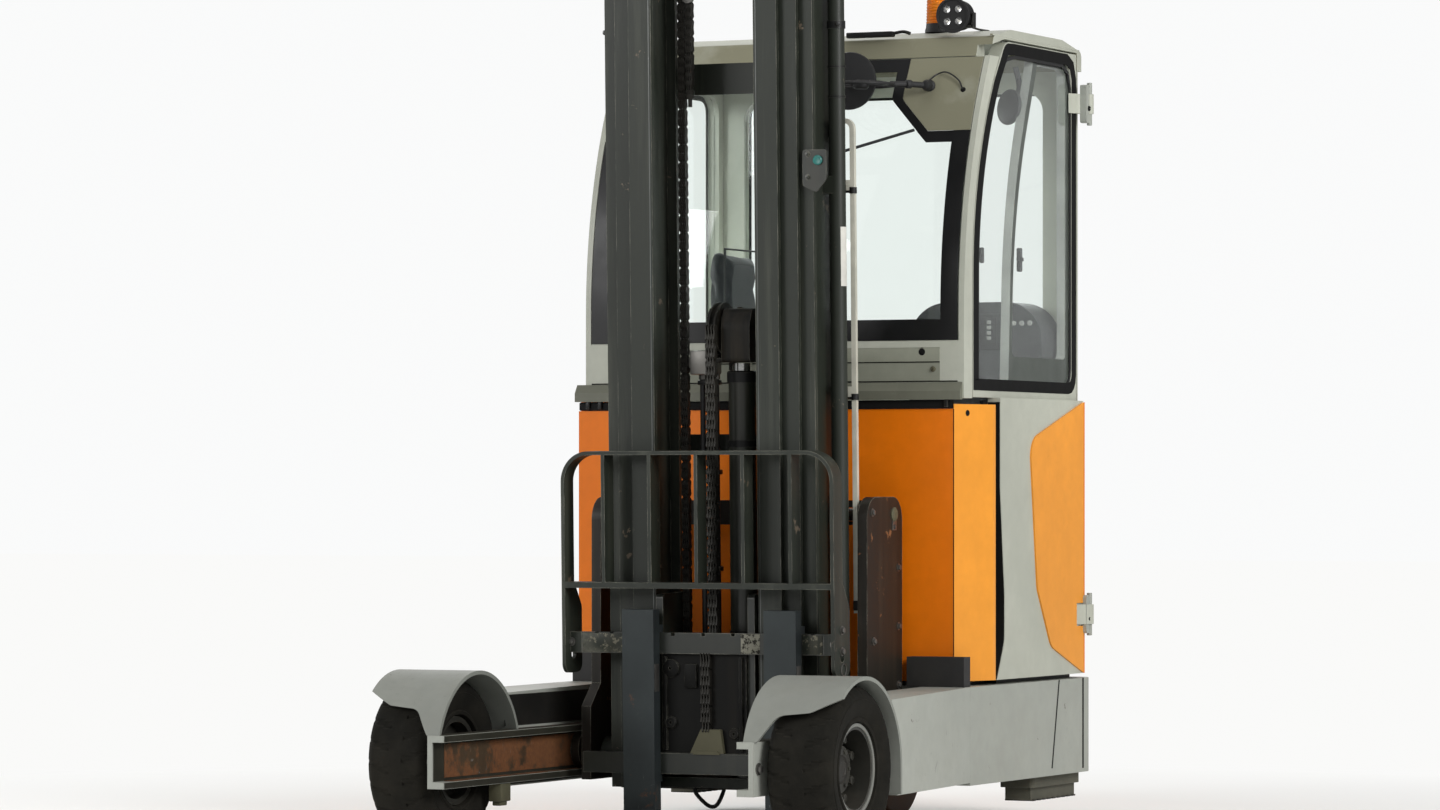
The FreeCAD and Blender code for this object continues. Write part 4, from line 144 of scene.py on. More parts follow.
# ---------------------------------------------------------------- meshes
class Shape:
    """Collects the solids of one piece in millimetres and makes them one object."""

    def __init__(self):
        self.mesh = bmesh.new()

    def _bevel(self, edges, rim):
        bmesh.ops.bevel(self.mesh, geom=edges, offset=rim, segments=2, affect="EDGES",
                        profile=0.5, clamp_overlap=True)

    def _soften(self, verts, rim):
        """Rounds the sharp edges at these points."""
        if rim:
            edges = list({edge for vert in verts for edge in vert.link_edges})
            self._bevel([edge for edge in edges
                         if len(edge.link_faces) == 2 and edge.calc_face_angle() > 0.6], rim)

    def joined(self, rings, closed=False):
        """Faces between rings of points, each ring closed in itself."""
        pairs = list(zip(rings, rings[1:]))
        if closed:
            pairs.append((rings[-1], rings[0]))
        for first, second in pairs:
            for i in range(len(first)):
                j = (i + 1) % len(first)
                self.mesh.faces.new((first[i], first[j], second[j], second[i]))

    def block(self, low, high, rim=0):
        """A box between two corners, with softened edges."""
        low, high = Vector(low), Vector(high)
        place = Matrix.Translation((low + high) / 2) @ Matrix.Diagonal((*(high - low), 1))
        made = bmesh.ops.create_cube(self.mesh, size=1, matrix=place)
        self._soften(made["verts"], rim)
        return self

    def side_block(self, side, low, high, rim=0):
        """A box whose X is drawn for the left side and mirrored where side is -1."""
        left, right = sorted((low[0] * side, high[0] * side))
        return self.block((left, *low[1:]), (right, *high[1:]), rim)

    def disc(self, centre, axis, radius, depth, rim=0, sides=32, top=None):
        """A round solid centred on a point, its axis along a direction."""
        turn = Vector(axis).to_track_quat("Z", "Y").to_matrix().to_4x4()
        made = bmesh.ops.create_cone(
            self.mesh, cap_ends=True, segments=sides, radius1=radius,
            radius2=radius if top is None else top, depth=depth,
            matrix=Matrix.Translation(Vector(centre)) @ turn)
        if rim:
            caps = {face for vert in made["verts"] for face in vert.link_faces
                    if len(face.verts) == sides}
            self._bevel(list({edge for face in caps for edge in face.edges}), rim)
        return self

    def turned(self, centre, axis, profile, sides=48):
        """A closed profile of (along, radius) pairs turned round an axis."""
        turn = Vector(axis).to_track_quat("Z", "Y").to_matrix()
        centre = Vector(centre)
        rings = []
        for along, radius in profile:
            if radius < 1e-6:
                rings.append([self.mesh.verts.new(centre + turn @ Vector((0, 0, along)))])
                continue
            rings.append([self.mesh.verts.new(centre + turn @ Vector((
                radius * math.cos(2 * math.pi * i / sides),
                radius * math.sin(2 * math.pi * i / sides), along))) for i in range(sides)])
        for first, second in zip(rings, rings[1:] + rings[:1]):
            for i in range(sides):
                j = (i + 1) % sides
                if len(first) == 1 and len(second) == 1:
                    continue
                if len(first) == 1:
                    self.mesh.faces.new((first[0], second[i], second[j]))
                elif len(second) == 1:
                    self.mesh.faces.new((first[i], first[j], second[0]))
                else:
                    self.mesh.faces.new((first[i], first[j], second[j], second[i]))
        return self

    def tube(self, points, radius, sides=12, smooth=8, closed=False):
        """A round rod along points; smooth is the number of steps between two points."""
        path = curve_points([Vector(p) for p in points], smooth, closed)
        rings = []
        normal = None
        count = len(path)
        for i, point in enumerate(path):
            after = path[(i + 1) % count] if closed or i < count - 1 else point
            before = path[i - 1] if closed or i > 0 else point
            along = (after - before).normalized()
            if normal is None:
                normal = along.orthogonal().normalized()
            normal = (normal - along * normal.dot(along)).normalized()
            side = along.cross(normal)
            rings.append([self.mesh.verts.new(
                point + (normal * math.cos(2 * math.pi * k / sides)
                         + side * math.sin(2 * math.pi * k / sides)) * radius)
                          for k in range(sides)])
        self.joined(rings, closed)
        if not closed:
            self.mesh.faces.new(list(reversed(rings[0])))
            self.mesh.faces.new(rings[-1])
        return self

    def plate(self, outline, axis, low, high, rim=0):
        """A flat outline in the plane across an axis, made solid from low to high."""
        bottom, top = ([self.mesh.verts.new(on_axis(axis, u, v, place)) for u, v in outline]
                       for place in (low, high))
        count = len(outline)
        self.mesh.faces.new(bottom)
        self.mesh.faces.new(list(reversed(top)))
        for i in range(count):
            j = (i + 1) % count
            self.mesh.faces.new((bottom[j], bottom[i], top[i], top[j]))
        self._soften(bottom + top, rim)
        return self

    def band(self, outline, axis, low, high, width):
        """A frame of one width round a closed outline."""
        out_low, out_high, in_low, in_high = (
            [self.mesh.verts.new(on_axis(axis, u, v, place)) for u, v in ring]
            for ring in (outline, inset(outline, width)) for place in (low, high))
        self.joined((out_low, out_high, in_high, in_low), True)
        return self

    def data(self, name, leant=False):
        """The solids as mesh data in metres; leant leans them with the mast."""
        data = bpy.data.meshes.new(name)
        self.mesh.to_mesh(data)
        self.mesh.free()
        data.transform(TO_METRES)
        if leant:
            data.transform(LEAN)
        return data

    def made(self, name, finish, body="chassis", smooth=0.6):
        """The finished object, riding on its body; the mast's pieces are drawn upright."""
        bmesh.ops.recalc_face_normals(self.mesh, faces=self.mesh.faces)
        data = self.data(name, body in LEANT_BODIES)
        data.shade_smooth()
        data.set_sharp_from_angle(angle=smooth)
        data.materials.append(MATERIALS[finish])
        piece = linked(name, data)
        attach(piece, body)
        return piece


def linked(name, data):
    """A new object in the scene."""
    made = bpy.data.objects.new(name, data)
    bpy.context.scene.collection.objects.link(made)
    return made


def select_only(piece):
    """Makes one object the selected and active one."""
    bpy.ops.object.select_all(action="DESELECT")
    bpy.context.view_layer.objects.active = piece
    piece.select_set(True)


def on_axis(axis, u, v, along):
    """A point from two places in the plane across an axis and one along it."""
    return Vector({"X": (along, u, v), "Y": (u, along, v), "Z": (u, v, along)}[axis])


def curve_points(points, steps, closed=False):
    """Points on a smooth curve through the given ones."""
    if steps < 2 or len(points) < 3:
        return points
    count = len(points)
    found = []
    for i in range(count if closed else count - 1):
        if closed:
            a, b, c, d = (points[(i + k - 1) % count] for k in range(4))
        else:
            b, c = points[i], points[i + 1]
            a = points[i - 1] if i > 0 else b + (b - c)
            d = points[i + 2] if i + 2 < count else c + (c - b)
        for k in range(steps):
            t = k / steps
            found.append(0.5 * (2 * b + (c - a) * t + (2 * a - 5 * b + 4 * c - d) * t ** 2
                                + (3 * b - a - 3 * c + d) * t ** 3))
    if not closed:
        found.append(points[-1])
    return found


def inset(outline, width):
    """A closed outline moved inwards by a width."""
    count = len(outline)
    area = sum(outline[i - 1][0] * outline[i][1] - outline[i][0] * outline[i - 1][1]
               for i in range(count))
    sense = 1 if area > 0 else -1
    moved = []
    for i in range(count):
        before = Vector(outline[i]) - Vector(outline[i - 1])
        after = Vector(outline[(i + 1) % count]) - Vector(outline[i])
        before.normalize()
        after.normalize()
        first = Vector((-before.y, before.x)) * sense
        second = Vector((-after.y, after.x)) * sense
        mid = (first + second).normalized()
        reach = width / max(0.35, mid.dot(first))
        moved.append(tuple(Vector(outline[i]) + mid * reach))
    return moved


def rounded(outline, radius, steps=5):
    """An outline with its corners rounded; radius may be one number or one per corner."""
    count = len(outline)
    radii = [radius] * count if isinstance(radius, (int, float)) else radius
    made = []
    for i in range(count):
        corner = Vector(outline[i])
        before = (Vector(outline[i - 1]) - corner)
        after = (Vector(outline[(i + 1) % count]) - corner)
        reach = min(radii[i], before.length * 0.49, after.length * 0.49)
        if reach < 0.01:
            made.append(tuple(corner))
            continue
        first = corner + before.normalized() * reach
        last = corner + after.normalized() * reach
        for k in range(steps + 1):
            t = k / steps
            made.append(tuple(first * (1 - t) ** 2 + corner * 2 * t * (1 - t) + last * t ** 2))
    return made


def rounded_box(left, right, low, high, radius, steps=5):
    """A rectangle with rounded corners."""
    return rounded([(left, low), (right, low), (right, high), (left, high)], radius, steps)


# ---------------------------------------------------------------- shader node groups
EFFECTS = {}
MATERIALS = {}


def add_node(tree, kind, settings=None, **inputs):
    """A shader node with its settings and inputs; an input may be a value or a socket."""
    node = tree.nodes.new(kind)
    for name, value in (settings or {}).items():
        setattr(node, name, value)
    for name, value in inputs.items():
        key = int(name[1:]) if name[0] == "_" else name.replace("_", " ")
        if isinstance(value, bpy.types.NodeSocket):
            tree.links.new(value, node.inputs[key])
        else:
            node.inputs[key].default_value = value
    return node


def new_effect(name, inputs, outputs):
    """An empty node group with named sockets: its tree, its input node and its output node."""
    tree = bpy.data.node_groups.new(name, "ShaderNodeTree")
    for label, kind, value in inputs:
        socket = tree.interface.new_socket(name=label, in_out="INPUT",
                                           socket_type="NodeSocket" + kind)
        if value is not None:
            socket.default_value = value
    for label, kind in outputs:
        tree.interface.new_socket(name=label, in_out="OUTPUT", socket_type="NodeSocket" + kind)
    EFFECTS[name] = tree
    return tree, tree.nodes.new("NodeGroupInput"), tree.nodes.new("NodeGroupOutput")


def ramp(tree, value, low, high):
    """A value stretched so that low becomes 0 and high becomes 1."""
    return add_node(tree, "ShaderNodeMapRange", {"clamp": True}, Value=value, From_Min=low,
                    From_Max=high).outputs[0]


def combined(tree, operation, first, second):
    """Two values joined by a math operation."""
    return add_node(tree, "ShaderNodeMath", {"operation": operation}, _0=first,
                    _1=second).outputs[0]


def times(tree, first, second):
    """The product of two values."""
    return combined(tree, "MULTIPLY", first, second)


def plus(tree, first, second):
    """The sum of two values."""
    return combined(tree, "ADD", first, second)


def between(tree, mask, low, high):
    """A number that goes from low to high as a mask goes from 0 to 1."""
    return add_node(tree, "ShaderNodeMapRange", {"clamp": True}, Value=mask, To_Min=low,
                    To_Max=high).outputs[0]


def noise(tree, vector, scale, detail, roughness=0.5, **more):
    """A noise value; the scale may be a number or a socket."""
    return add_node(tree, "ShaderNodeTexNoise", Vector=vector, Scale=scale, Detail=detail,
                    Roughness=roughness, **more).outputs[0]


def facing(tree, axis):
    """How far the surface faces along an axis, from -1 to 1."""
    normal = add_node(tree, "ShaderNodeNewGeometry").outputs["Normal"]
    return add_node(tree, "ShaderNodeSeparateXYZ", Vector=normal).outputs[axis]


def stretched(tree, vector, scale, turn=(0, 0, 0)):
    """A place vector turned and scaled."""
    return add_node(tree, "ShaderNodeMapping", Vector=vector, Rotation=turn,
                    Scale=scale).outputs[0]


def either(tree, first, second):
    """The larger of two values."""
    return combined(tree, "MAXIMUM", first, second)


def spreading(tree, value, amount, least, most, soft):
    """Patches of a noise that spread with the amount, from one threshold to another."""
    over = combined(tree, "SUBTRACT", value, between(tree, amount, least, most))
    return ramp(tree, over, 0.0, soft)


def masking(name, settings, draw):
    """A shared effect whose mask comes from draw(tree, vector, the other inputs)."""
    inputs = [("Vector", "Vector", None)] + [(label, "Float", value)
                                             for label, value in settings.items()]
    tree, given, result = new_effect(name, inputs, [("Mask", "Float")])
    sockets = [given.outputs[label] for label in settings]
    tree.links.new(draw(tree, given.outputs["Vector"], *sockets), result.inputs["Mask"])


def draw_dust(tree, vector, amount, height):
    """Dust lies low on the truck and on faces that look up."""
    parts = add_node(tree, "ShaderNodeSeparateXYZ", Vector=vector)
    low = add_node(tree, "ShaderNodeMapRange", {"clamp": True}, Value=parts.outputs["Z"],
                   From_Min=height, From_Max=0.0).outputs[0]
    up = ramp(tree, facing(tree, "Z"), 0.55, 1.0)
    patch = ramp(tree, noise(tree, vector, 7.0, 8, 0.65), 0.38, 0.72)
    lies = plus(tree, times(tree, low, 0.85), times(tree, up, 0.75))
    total = times(tree, lies, plus(tree, times(tree, patch, 0.8), 0.25))
    return ramp(tree, times(tree, total, amount), 0.0, 1.0)


def draw_scratches(tree, vector, scale, amount):
    """Fine lines in two directions, in some places only."""
    lines = [ramp(tree, noise(tree, stretched(tree, vector, stretch, (turn, turn * 0.7, turn)),
                              scale, 3, Distortion=0.6), 0.68, 0.74)
             for stretch, turn in (((1.0, 9.0, 1.0), 0.4), ((7.0, 1.0, 1.0), 1.3))]
    where = ramp(tree, noise(tree, vector, 2.5, 2), 0.42, 0.62)
    return times(tree, times(tree, either(tree, *lines), where), amount)


def draw_streaks(tree, vector, scale, amount):
    """Marks that run down."""
    runs = noise(tree, stretched(tree, vector, (1.0, 1.0, 0.035)), scale, 7, 0.62)
    where = ramp(tree, noise(tree, vector, 1.7, 3), 0.36, 0.6)
    return times(tree, times(tree, ramp(tree, runs, 0.5, 0.66), where), amount)


def draw_front_shade(tree, vector, amount):
    """Painted shade on faces that look ahead."""
    ahead = ramp(tree, times(tree, facing(tree, "Y"), -1.0), 0.3, 0.62)
    patch = plus(tree, ramp(tree, noise(tree, vector, 4.0, 6, 0.6), 0.3, 0.7), 0.62)
    return times(tree, times(tree, ahead, patch), amount)


def draw_edge_wear(tree, vector, width, amount):
    """Worn edges, found where a rounded normal leaves the real one."""
    soft = add_node(tree, "ShaderNodeBevel", {"samples": 3}, Radius=width)
    sharp = add_node(tree, "ShaderNodeNewGeometry")
    bend = add_node(tree, "ShaderNodeVectorMath", {"operation": "DOT_PRODUCT"},
                    _0=soft.outputs[0], _1=sharp.outputs["Normal"]).outputs["Value"]
    patch = ramp(tree, noise(tree, vector, 11.0, 8, 0.7), 0.42, 0.6)
    return times(tree, times(tree, ramp(tree, bend, 0.985, 0.86), patch), amount)


def build_effects():
    """The shared effects: uneven tone, dust, scratches, chips, grain, weave and rust."""
    vector = ("Vector", "Vector", None)
    tree, given, result = new_effect(
        "Uneven tone", [vector, ("Scale", "Float", 3.0)], [("Value", "Float")])
    value = noise(tree, given.outputs["Vector"], given.outputs["Scale"], 5, 0.6)
    tree.links.new(ramp(tree, value, 0.3, 0.7), result.inputs["Value"])

    masking("Dust", {"Amount": 0.5, "Height": 0.6}, draw_dust)
    masking("Scratches", {"Scale": 20.0, "Amount": 0.5}, draw_scratches)
    masking("Streaks", {"Scale": 14.0, "Amount": 0.5}, draw_streaks)
    masking("Front shade", {"Amount": 1.0}, draw_front_shade)
    masking("Edge wear", {"Width": 0.002, "Amount": 0.5}, draw_edge_wear)
    masking("Chips", {"Scale": 12.0, "Amount": 0.5}, lambda tree, vector, scale, amount: (
        spreading(tree, noise(tree, vector, scale, 9, 0.72), amount, 0.82, 0.52, 0.012)))

    tree, given, result = new_effect(
        "Fine grain", [vector, ("Scale", "Float", 300.0)], [("Height", "Float")])
    tree.links.new(noise(tree, given.outputs["Vector"], given.outputs["Scale"], 3, 0.6),
                   result.inputs["Height"])

    tree, given, result = new_effect(
        "Weave", [vector, ("Scale", "Float", 400.0)], [("Height", "Float"), ("Shade", "Float")])
    waves = [add_node(tree, "ShaderNodeTexWave",
                      {"wave_type": "BANDS", "bands_direction": direction},
                      Vector=given.outputs["Vector"], Scale=given.outputs["Scale"],
                      Distortion=0.6, Detail=1).outputs["Fac"] for direction in ("X", "Z")]
    woven = times(tree, *waves)
    tree.links.new(woven, result.inputs["Height"])
    fluff = noise(tree, given.outputs["Vector"], 60.0, 6)
    tree.links.new(plus(tree, times(tree, woven, 0.5), times(tree, fluff, 0.5)),
                   result.inputs["Shade"])

    tree, given, result = new_effect(
        "Rust", [vector, ("Scale", "Float", 10.0), ("Amount", "Float", 0.5)],
        [("Color", "Color"), ("Mask", "Float")])
    fine = noise(tree, given.outputs["Vector"], 90.0, 4)
    mix = add_node(tree, "ShaderNodeMix", {"data_type": "RGBA"}, _0=fine,
                   _6=(*srgb(92, 50, 24), 1), _7=(*srgb(158, 96, 48), 1))
    tree.links.new(mix.outputs[2], result.inputs["Color"])
    value = noise(tree, given.outputs["Vector"], given.outputs["Scale"], 10, 0.7)
    tree.links.new(spreading(tree, value, given.outputs["Amount"], 0.78, 0.36, 0.09),
                   result.inputs["Mask"])


class Recipe:
    """Lays out the nodes of one material."""

    def __init__(self, name):
        self.material = bpy.data.materials.new(name)
        self.material.use_nodes = True
        self.tree = self.material.node_tree
        self.surface = self.tree.nodes["Principled BSDF"]
        self.place = add_node(self.tree, "ShaderNodeTexCoord").outputs["Object"]
        MATERIALS[name] = self.material

    def effect(self, name, output, **inputs):
        """One of the shared effects with this material's own values."""
        node = self.tree.nodes.new("ShaderNodeGroup")
        node.node_tree = EFFECTS[name]
        self.tree.links.new(self.place, node.inputs["Vector"])
        for key, value in inputs.items():
            node.inputs[key].default_value = value
        return node.outputs[output] if isinstance(output, str) else [
            node.outputs[one] for one in output]

    def blend(self, mask, first, second):
        """A colour that goes from first to second by a mask."""
        values = [value if isinstance(value, bpy.types.NodeSocket) else (*value[:3], 1)
                  for value in (first, second)]
        return add_node(self.tree, "ShaderNodeMix", {"data_type": "RGBA"}, _0=mask, _6=values[0],
                        _7=values[1]).outputs[2]

    def number(self, mask, first, second):
        """A number that goes from first to second by a mask."""
        return between(self.tree, mask, first, second)

    def link(self, socket, name):
        self.tree.links.new(socket, self.surface.inputs[name])

    def fixed(self, **values):
        """Values that are the same all over the surface."""
        for name, value in values.items():
            self.surface.inputs[name.replace("_", " ")].default_value = value

    def bump(self, height, strength, distance):
        bump = add_node(self.tree, "ShaderNodeBump", Height=height, Strength=strength,
                        Distance=distance)
        self.link(bump.outputs[0], "Normal")


def shade(colour_value, factor):
    """A colour made darker or lighter."""
    return tuple(min(1.0, value * factor) for value in colour_value[:3])


def paint(name, base, dust, wear, under, height=0.7, rough=0.42, coat=0.25, dusty=None,
          streaks=0.0, edges=0.4, gloss=0.5, chip_size=14.0, front_shade_colour=None):
    """Used machine paint: uneven tone, dust, scratches and chips down to the metal."""
    recipe = Recipe(name)
    tone = recipe.effect("Uneven tone", "Value", Scale=2.2)
    fine = recipe.effect("Uneven tone", "Value", Scale=24.0)
    colour_now = recipe.blend(tone, shade(base, 0.86), shade(base, 1.06))
    colour_now = recipe.blend(times(recipe.tree, fine, 0.3), colour_now, shade(base, 0.72))
    film = recipe.effect("Dust", "Mask", Amount=dust, Height=height)
    colour_now = recipe.blend(times(recipe.tree, film, 0.75), colour_now,
                              dusty or srgb(140, 132, 118))
    # Painted shade: faces that look ahead are darkened towards this colour.
    if front_shade_colour:
        ahead = recipe.effect("Front shade", "Mask", Amount=1.0)
        colour_now = recipe.blend(ahead, colour_now, front_shade_colour)
    if streaks:
        runs = recipe.effect("Streaks", "Mask", Scale=14.0, Amount=streaks)
        colour_now = recipe.blend(runs, colour_now, dusty or shade(base, 0.6))
    worn = recipe.effect("Edge wear", "Mask", Width=0.003, Amount=edges)
    colour_now = recipe.blend(worn, colour_now, under if sum(base) > 0.6
                              else srgb(150, 148, 134))
    lines = recipe.effect("Scratches", "Mask", Scale=26.0, Amount=wear)
    colour_now = recipe.blend(lines, colour_now, shade(base, 1.5) if sum(base) < 0.6
                              else shade(base, 0.6))
    chips = recipe.effect("Chips", "Mask", Scale=chip_size, Amount=wear)
    colour_now = recipe.blend(chips, colour_now, under)
    recipe.link(colour_now, "Base Color")
    rough_now = recipe.number(film, rough, 0.85)
    recipe.link(plus(recipe.tree, rough_now, times(recipe.tree, lines, 0.15)), "Roughness")
    recipe.fixed(Coat_Weight=coat, Coat_Roughness=0.25, Specular_IOR_Level=gloss)
    peel = recipe.effect("Fine grain", "Height", Scale=160.0)
    height_now = plus(recipe.tree, times(recipe.tree, peel, 0.35),
                      times(recipe.tree, chips, -0.9))
    recipe.bump(height_now, 0.25, 0.0008)
    return recipe.material


def plain(name, base, rough=0.5, metal=0.0, grain=300.0, relief=0.3, dust=0.0, **more):
    """A moulded, rubber or bare metal finish with grain, uneven tone and a little dust."""
    recipe = Recipe(name)
    tone = recipe.effect("Uneven tone", "Value", Scale=9.0)
    colour_now = recipe.blend(tone, shade(base, 0.8), shade(base, 1.12))
    film = recipe.effect("Dust", "Mask", Amount=dust, Height=0.9)
    colour_now = recipe.blend(times(recipe.tree, film, 0.8), colour_now, srgb(128, 120, 106))
    recipe.link(colour_now, "Base Color")
    recipe.link(plus(recipe.tree, recipe.number(tone, rough, min(1.0, rough + 0.14)),
                     times(recipe.tree, film, 0.2)), "Roughness")
    recipe.fixed(Metallic=metal, **more)
    height_now = recipe.effect("Fine grain", "Height", Scale=grain)
    recipe.bump(height_now, relief, 0.0006)
    return recipe.material


def rusty(name, base, amount, rough=0.55, metal=0.6, scale=9.0, shown=0.8):
    """Steel or worn paint with rust patches."""
    recipe = Recipe(name)
    tone = recipe.effect("Uneven tone", "Value", Scale=5.0)
    colour_now = recipe.blend(tone, shade(base, 0.75), shade(base, 1.15))
    lines = recipe.effect("Scratches", "Mask", Scale=34.0, Amount=0.7)
    colour_now = recipe.blend(times(recipe.tree, lines, 0.6), colour_now, srgb(150, 150, 148))
    rust, mask = recipe.effect("Rust", ["Color", "Mask"], Scale=scale, Amount=amount)
    mask = times(recipe.tree, mask, shown)
    colour_now = recipe.blend(mask, colour_now, rust)
    recipe.link(colour_now, "Base Color")
    recipe.link(recipe.number(mask, rough, 0.9), "Roughness")
    recipe.link(recipe.number(mask, metal, 0.0), "Metallic")
    fine = recipe.effect("Fine grain", "Height", Scale=240.0)
    recipe.bump(plus(recipe.tree, times(recipe.tree, fine, 0.4), times(recipe.tree, mask, 0.8)),
                0.35, 0.0008)
    return recipe.material


def build_materials():
    """Every finish on the truck."""
    tones = bpy.context.scene.truck_colours
    sizes = bpy.context.scene.truck_sizes
    dust, wear = sizes.dust, sizes.wear
    body, base, cab = tones.body, tones.frame, tones.cab
    paint("orange paint", body, dust * 0.4, wear * 0.45, srgb(112, 74, 46), height=0.6,
          coat=0.04, gloss=0.25, edges=0.3)
    # The panel paint is the lit copy of the orange: painted light on faces that look sideways.
    paint("lit orange panel paint", tones.corner, dust * 0.3, wear * 0.4, srgb(112, 74, 46),
          coat=0.04, gloss=0.25, edges=0.3)
    paint("chassis paint", base, dust * 0.7, wear, srgb(78, 70, 62), rough=0.5, coat=0.05,
          gloss=0.35)
    # The guard paint is the chassis grey darkened: painted shade on the wheel guards, whose tops
    # lie in shade.
    paint("shaded guard paint", shade(base, 0.62), dust * 0.4, wear, srgb(70, 64, 56), rough=0.55,
          coat=0.05, gloss=0.3)
    paint("foot paint", srgb(76, 76, 66), dust, wear, srgb(78, 70, 62), rough=0.65, coat=0.0,
          gloss=0.2)
    paint("cab paint", cab, dust * 0.4, wear * 0.25, srgb(110, 104, 94), rough=0.45, coat=0.1,
          gloss=0.35, edges=0.15)
    # The roof paint is the cab colour a little darker, with painted shade on faces that look
    # ahead.
    paint("front-shaded roof paint", shade(cab, 0.96), dust * 0.5, wear * 0.4, srgb(90, 86, 74),
          rough=0.72, coat=0.0, gloss=0.15, edges=0.2, front_shade_colour=srgb(130, 128, 108))
    # The sill paint is the cab colour darkened: painted shadow of the mast on the ledge; its
    # streaks are real marks.
    paint("shaded sill paint", srgb(108, 109, 95), dust * 0.3, wear * 0.4, srgb(60, 56, 46), rough=0.55,
          coat=0.0, streaks=0.3)
    # The front paint is the cab colour darkened: painted shadow of the mast on the front sheet.
    paint("shaded front paint", srgb(138, 140, 126), dust * 0.3, wear * 0.4, srgb(90, 86, 74),
          rough=0.6, coat=0.0, gloss=0.25, edges=0.2)
    paint("mast paint", tones.mast, dust * 0.12, wear * 1.1, srgb(104, 92, 78), rough=0.5,
          coat=0.1, gloss=0.35, dusty=srgb(78, 80, 70), streaks=0.5, edges=0.8)
    paint("tower paint", srgb(31, 27, 21), dust * 0.25, wear * 1.2, srgb(126, 84, 54), rough=0.55,
          coat=0.05, gloss=0.3, dusty=srgb(84, 72, 56), streaks=0.45, edges=1.0)
    paint("black paint", srgb(20, 20, 20), dust * 0.4, wear * 0.4, srgb(84, 80, 74), rough=0.45,
          coat=0.05, gloss=0.3)
    paint("wheel paint", srgb(22, 23, 19), dust * 0.4, wear * 0.7, srgb(96, 84, 70), rough=0.5)
    paint("rim edge paint", srgb(112, 114, 110), dust, wear, srgb(70, 66, 60), rough=0.5)
    paint("greasy paint", shade(tones.mast, 0.75), dust * 0.1, wear * 0.9, srgb(100, 90, 74),
          rough=0.4, dusty=srgb(70, 66, 54), streaks=0.4, edges=0.9)
    paint("scraped paint", shade(tones.mast, 1.1), dust * 0.2, 0.88, srgb(112, 108, 92),
          rough=0.5, coat=0.0, gloss=0.3, dusty=srgb(80, 76, 62), streaks=0.8, chip_size=70.0)
    # The recess paint is near black: painted shade in the carriage's recess and on the free-lift
    # head and sheave deep in the mast.
    paint("recess shade paint", srgb(11, 11, 9), dust * 0.1, wear * 0.5, srgb(62, 48, 36), rough=0.6,
          coat=0.0, gloss=0.2, dusty=srgb(46, 40, 30), streaks=0.7, edges=0.5)
    paint("dark arm paint", srgb(34, 34, 26), dust * 0.4, wear, srgb(92, 66, 44), rough=0.6,
          coat=0.0, gloss=0.25)
    rusty("fork steel", tones.forks, 0.32, rough=0.45, metal=0.35)
    rusty("rail steel", srgb(92, 94, 92), 0.22, rough=0.34, metal=0.85, scale=6.0, shown=0.5)
    rusty("track steel", srgb(74, 58, 40), 0.8, rough=0.6, metal=0.2, shown=0.55)
    rusty("chain steel", srgb(40, 38, 33), 0.35, rough=0.5, metal=0.4, scale=60.0, shown=0.4)
    rusty("bracket steel", srgb(90, 87, 66), 0.25, rough=0.7, metal=0.1, scale=30.0, shown=0.5)
    plain("chrome", srgb(214, 214, 212), rough=0.1, metal=1.0, relief=0.03)
    plain("bolt steel", srgb(120, 118, 114), rough=0.4, metal=0.9)
    # The pipe's pale colour with little metal paints the bright reflection of a bare steel pipe.
    plain("pipe with painted reflection", srgb(206, 204, 190), rough=0.35, metal=0.25, relief=0.1)
    plain("tyre rubber", tones.rubber, rough=0.82, dust=dust * 0.3, grain=220.0, relief=0.5,
          Specular_IOR_Level=0.15)
    plain("drive tread", srgb(96, 62, 40), rough=0.6, dust=dust * 0.6)
    plain("pad rubber", srgb(36, 36, 36), rough=0.85, dust=dust)
    plain("seal rubber", srgb(14, 14, 14), rough=0.7, dust=dust * 0.2, Specular_IOR_Level=0.2)
    plain("hose rubber", srgb(24, 24, 25), rough=0.45, dust=dust * 0.3)
    plain("black plastic", srgb(26, 26, 27), rough=0.55, grain=420.0, relief=0.5,
          dust=dust * 0.5)
    plain("dark trim", srgb(44, 45, 47), rough=0.6, grain=420.0, relief=0.5)
    plain("grey plastic", srgb(140, 140, 136), rough=0.5, grain=420.0, relief=0.4)
    plain("battery steel", srgb(56, 58, 62), rough=0.6, dust=dust)
    paint("chipped white", srgb(150, 148, 134), dust, 1.0, srgb(44, 42, 36), rough=0.6,
          coat=0.0, gloss=0.2, chip_size=80.0, streaks=0.6, dusty=srgb(70, 68, 58))
    plain("white label", srgb(206, 204, 196), rough=0.5, relief=0.05)
    plain("teal sensor", srgb(40, 110, 104), rough=0.3, relief=0.05)
    plain("red lens", srgb(150, 16, 14), rough=0.15, relief=0.02, Coat_Weight=0.6)
    plain("lamp silver", srgb(200, 200, 200), rough=0.12, metal=1.0, relief=0.02)
    glass = Recipe("window glass")
    film = glass.effect("Dust", "Mask", Amount=0.12, Height=2.6)
    glass.link(glass.blend(film, srgb(248, 252, 250), srgb(206, 206, 200)), "Base Color")
    glass.link(glass.number(film, 0.01, 0.2), "Roughness")
    glass.fixed(Transmission_Weight=1.0, IOR=1.3, Metallic=0.0)
    tree = glass.tree
    through = add_node(tree, "ShaderNodeBsdfTransparent", Color=(0.86, 0.9, 0.88, 1))
    light = add_node(tree, "ShaderNodeLightPath").outputs["Is Shadow Ray"]
    mixed = add_node(tree, "ShaderNodeMixShader", _0=light, _1=glass.surface.outputs[0],
                     _2=through.outputs[0])
    tree.links.new(mixed.outputs[0], tree.nodes["Material Output"].inputs["Surface"])
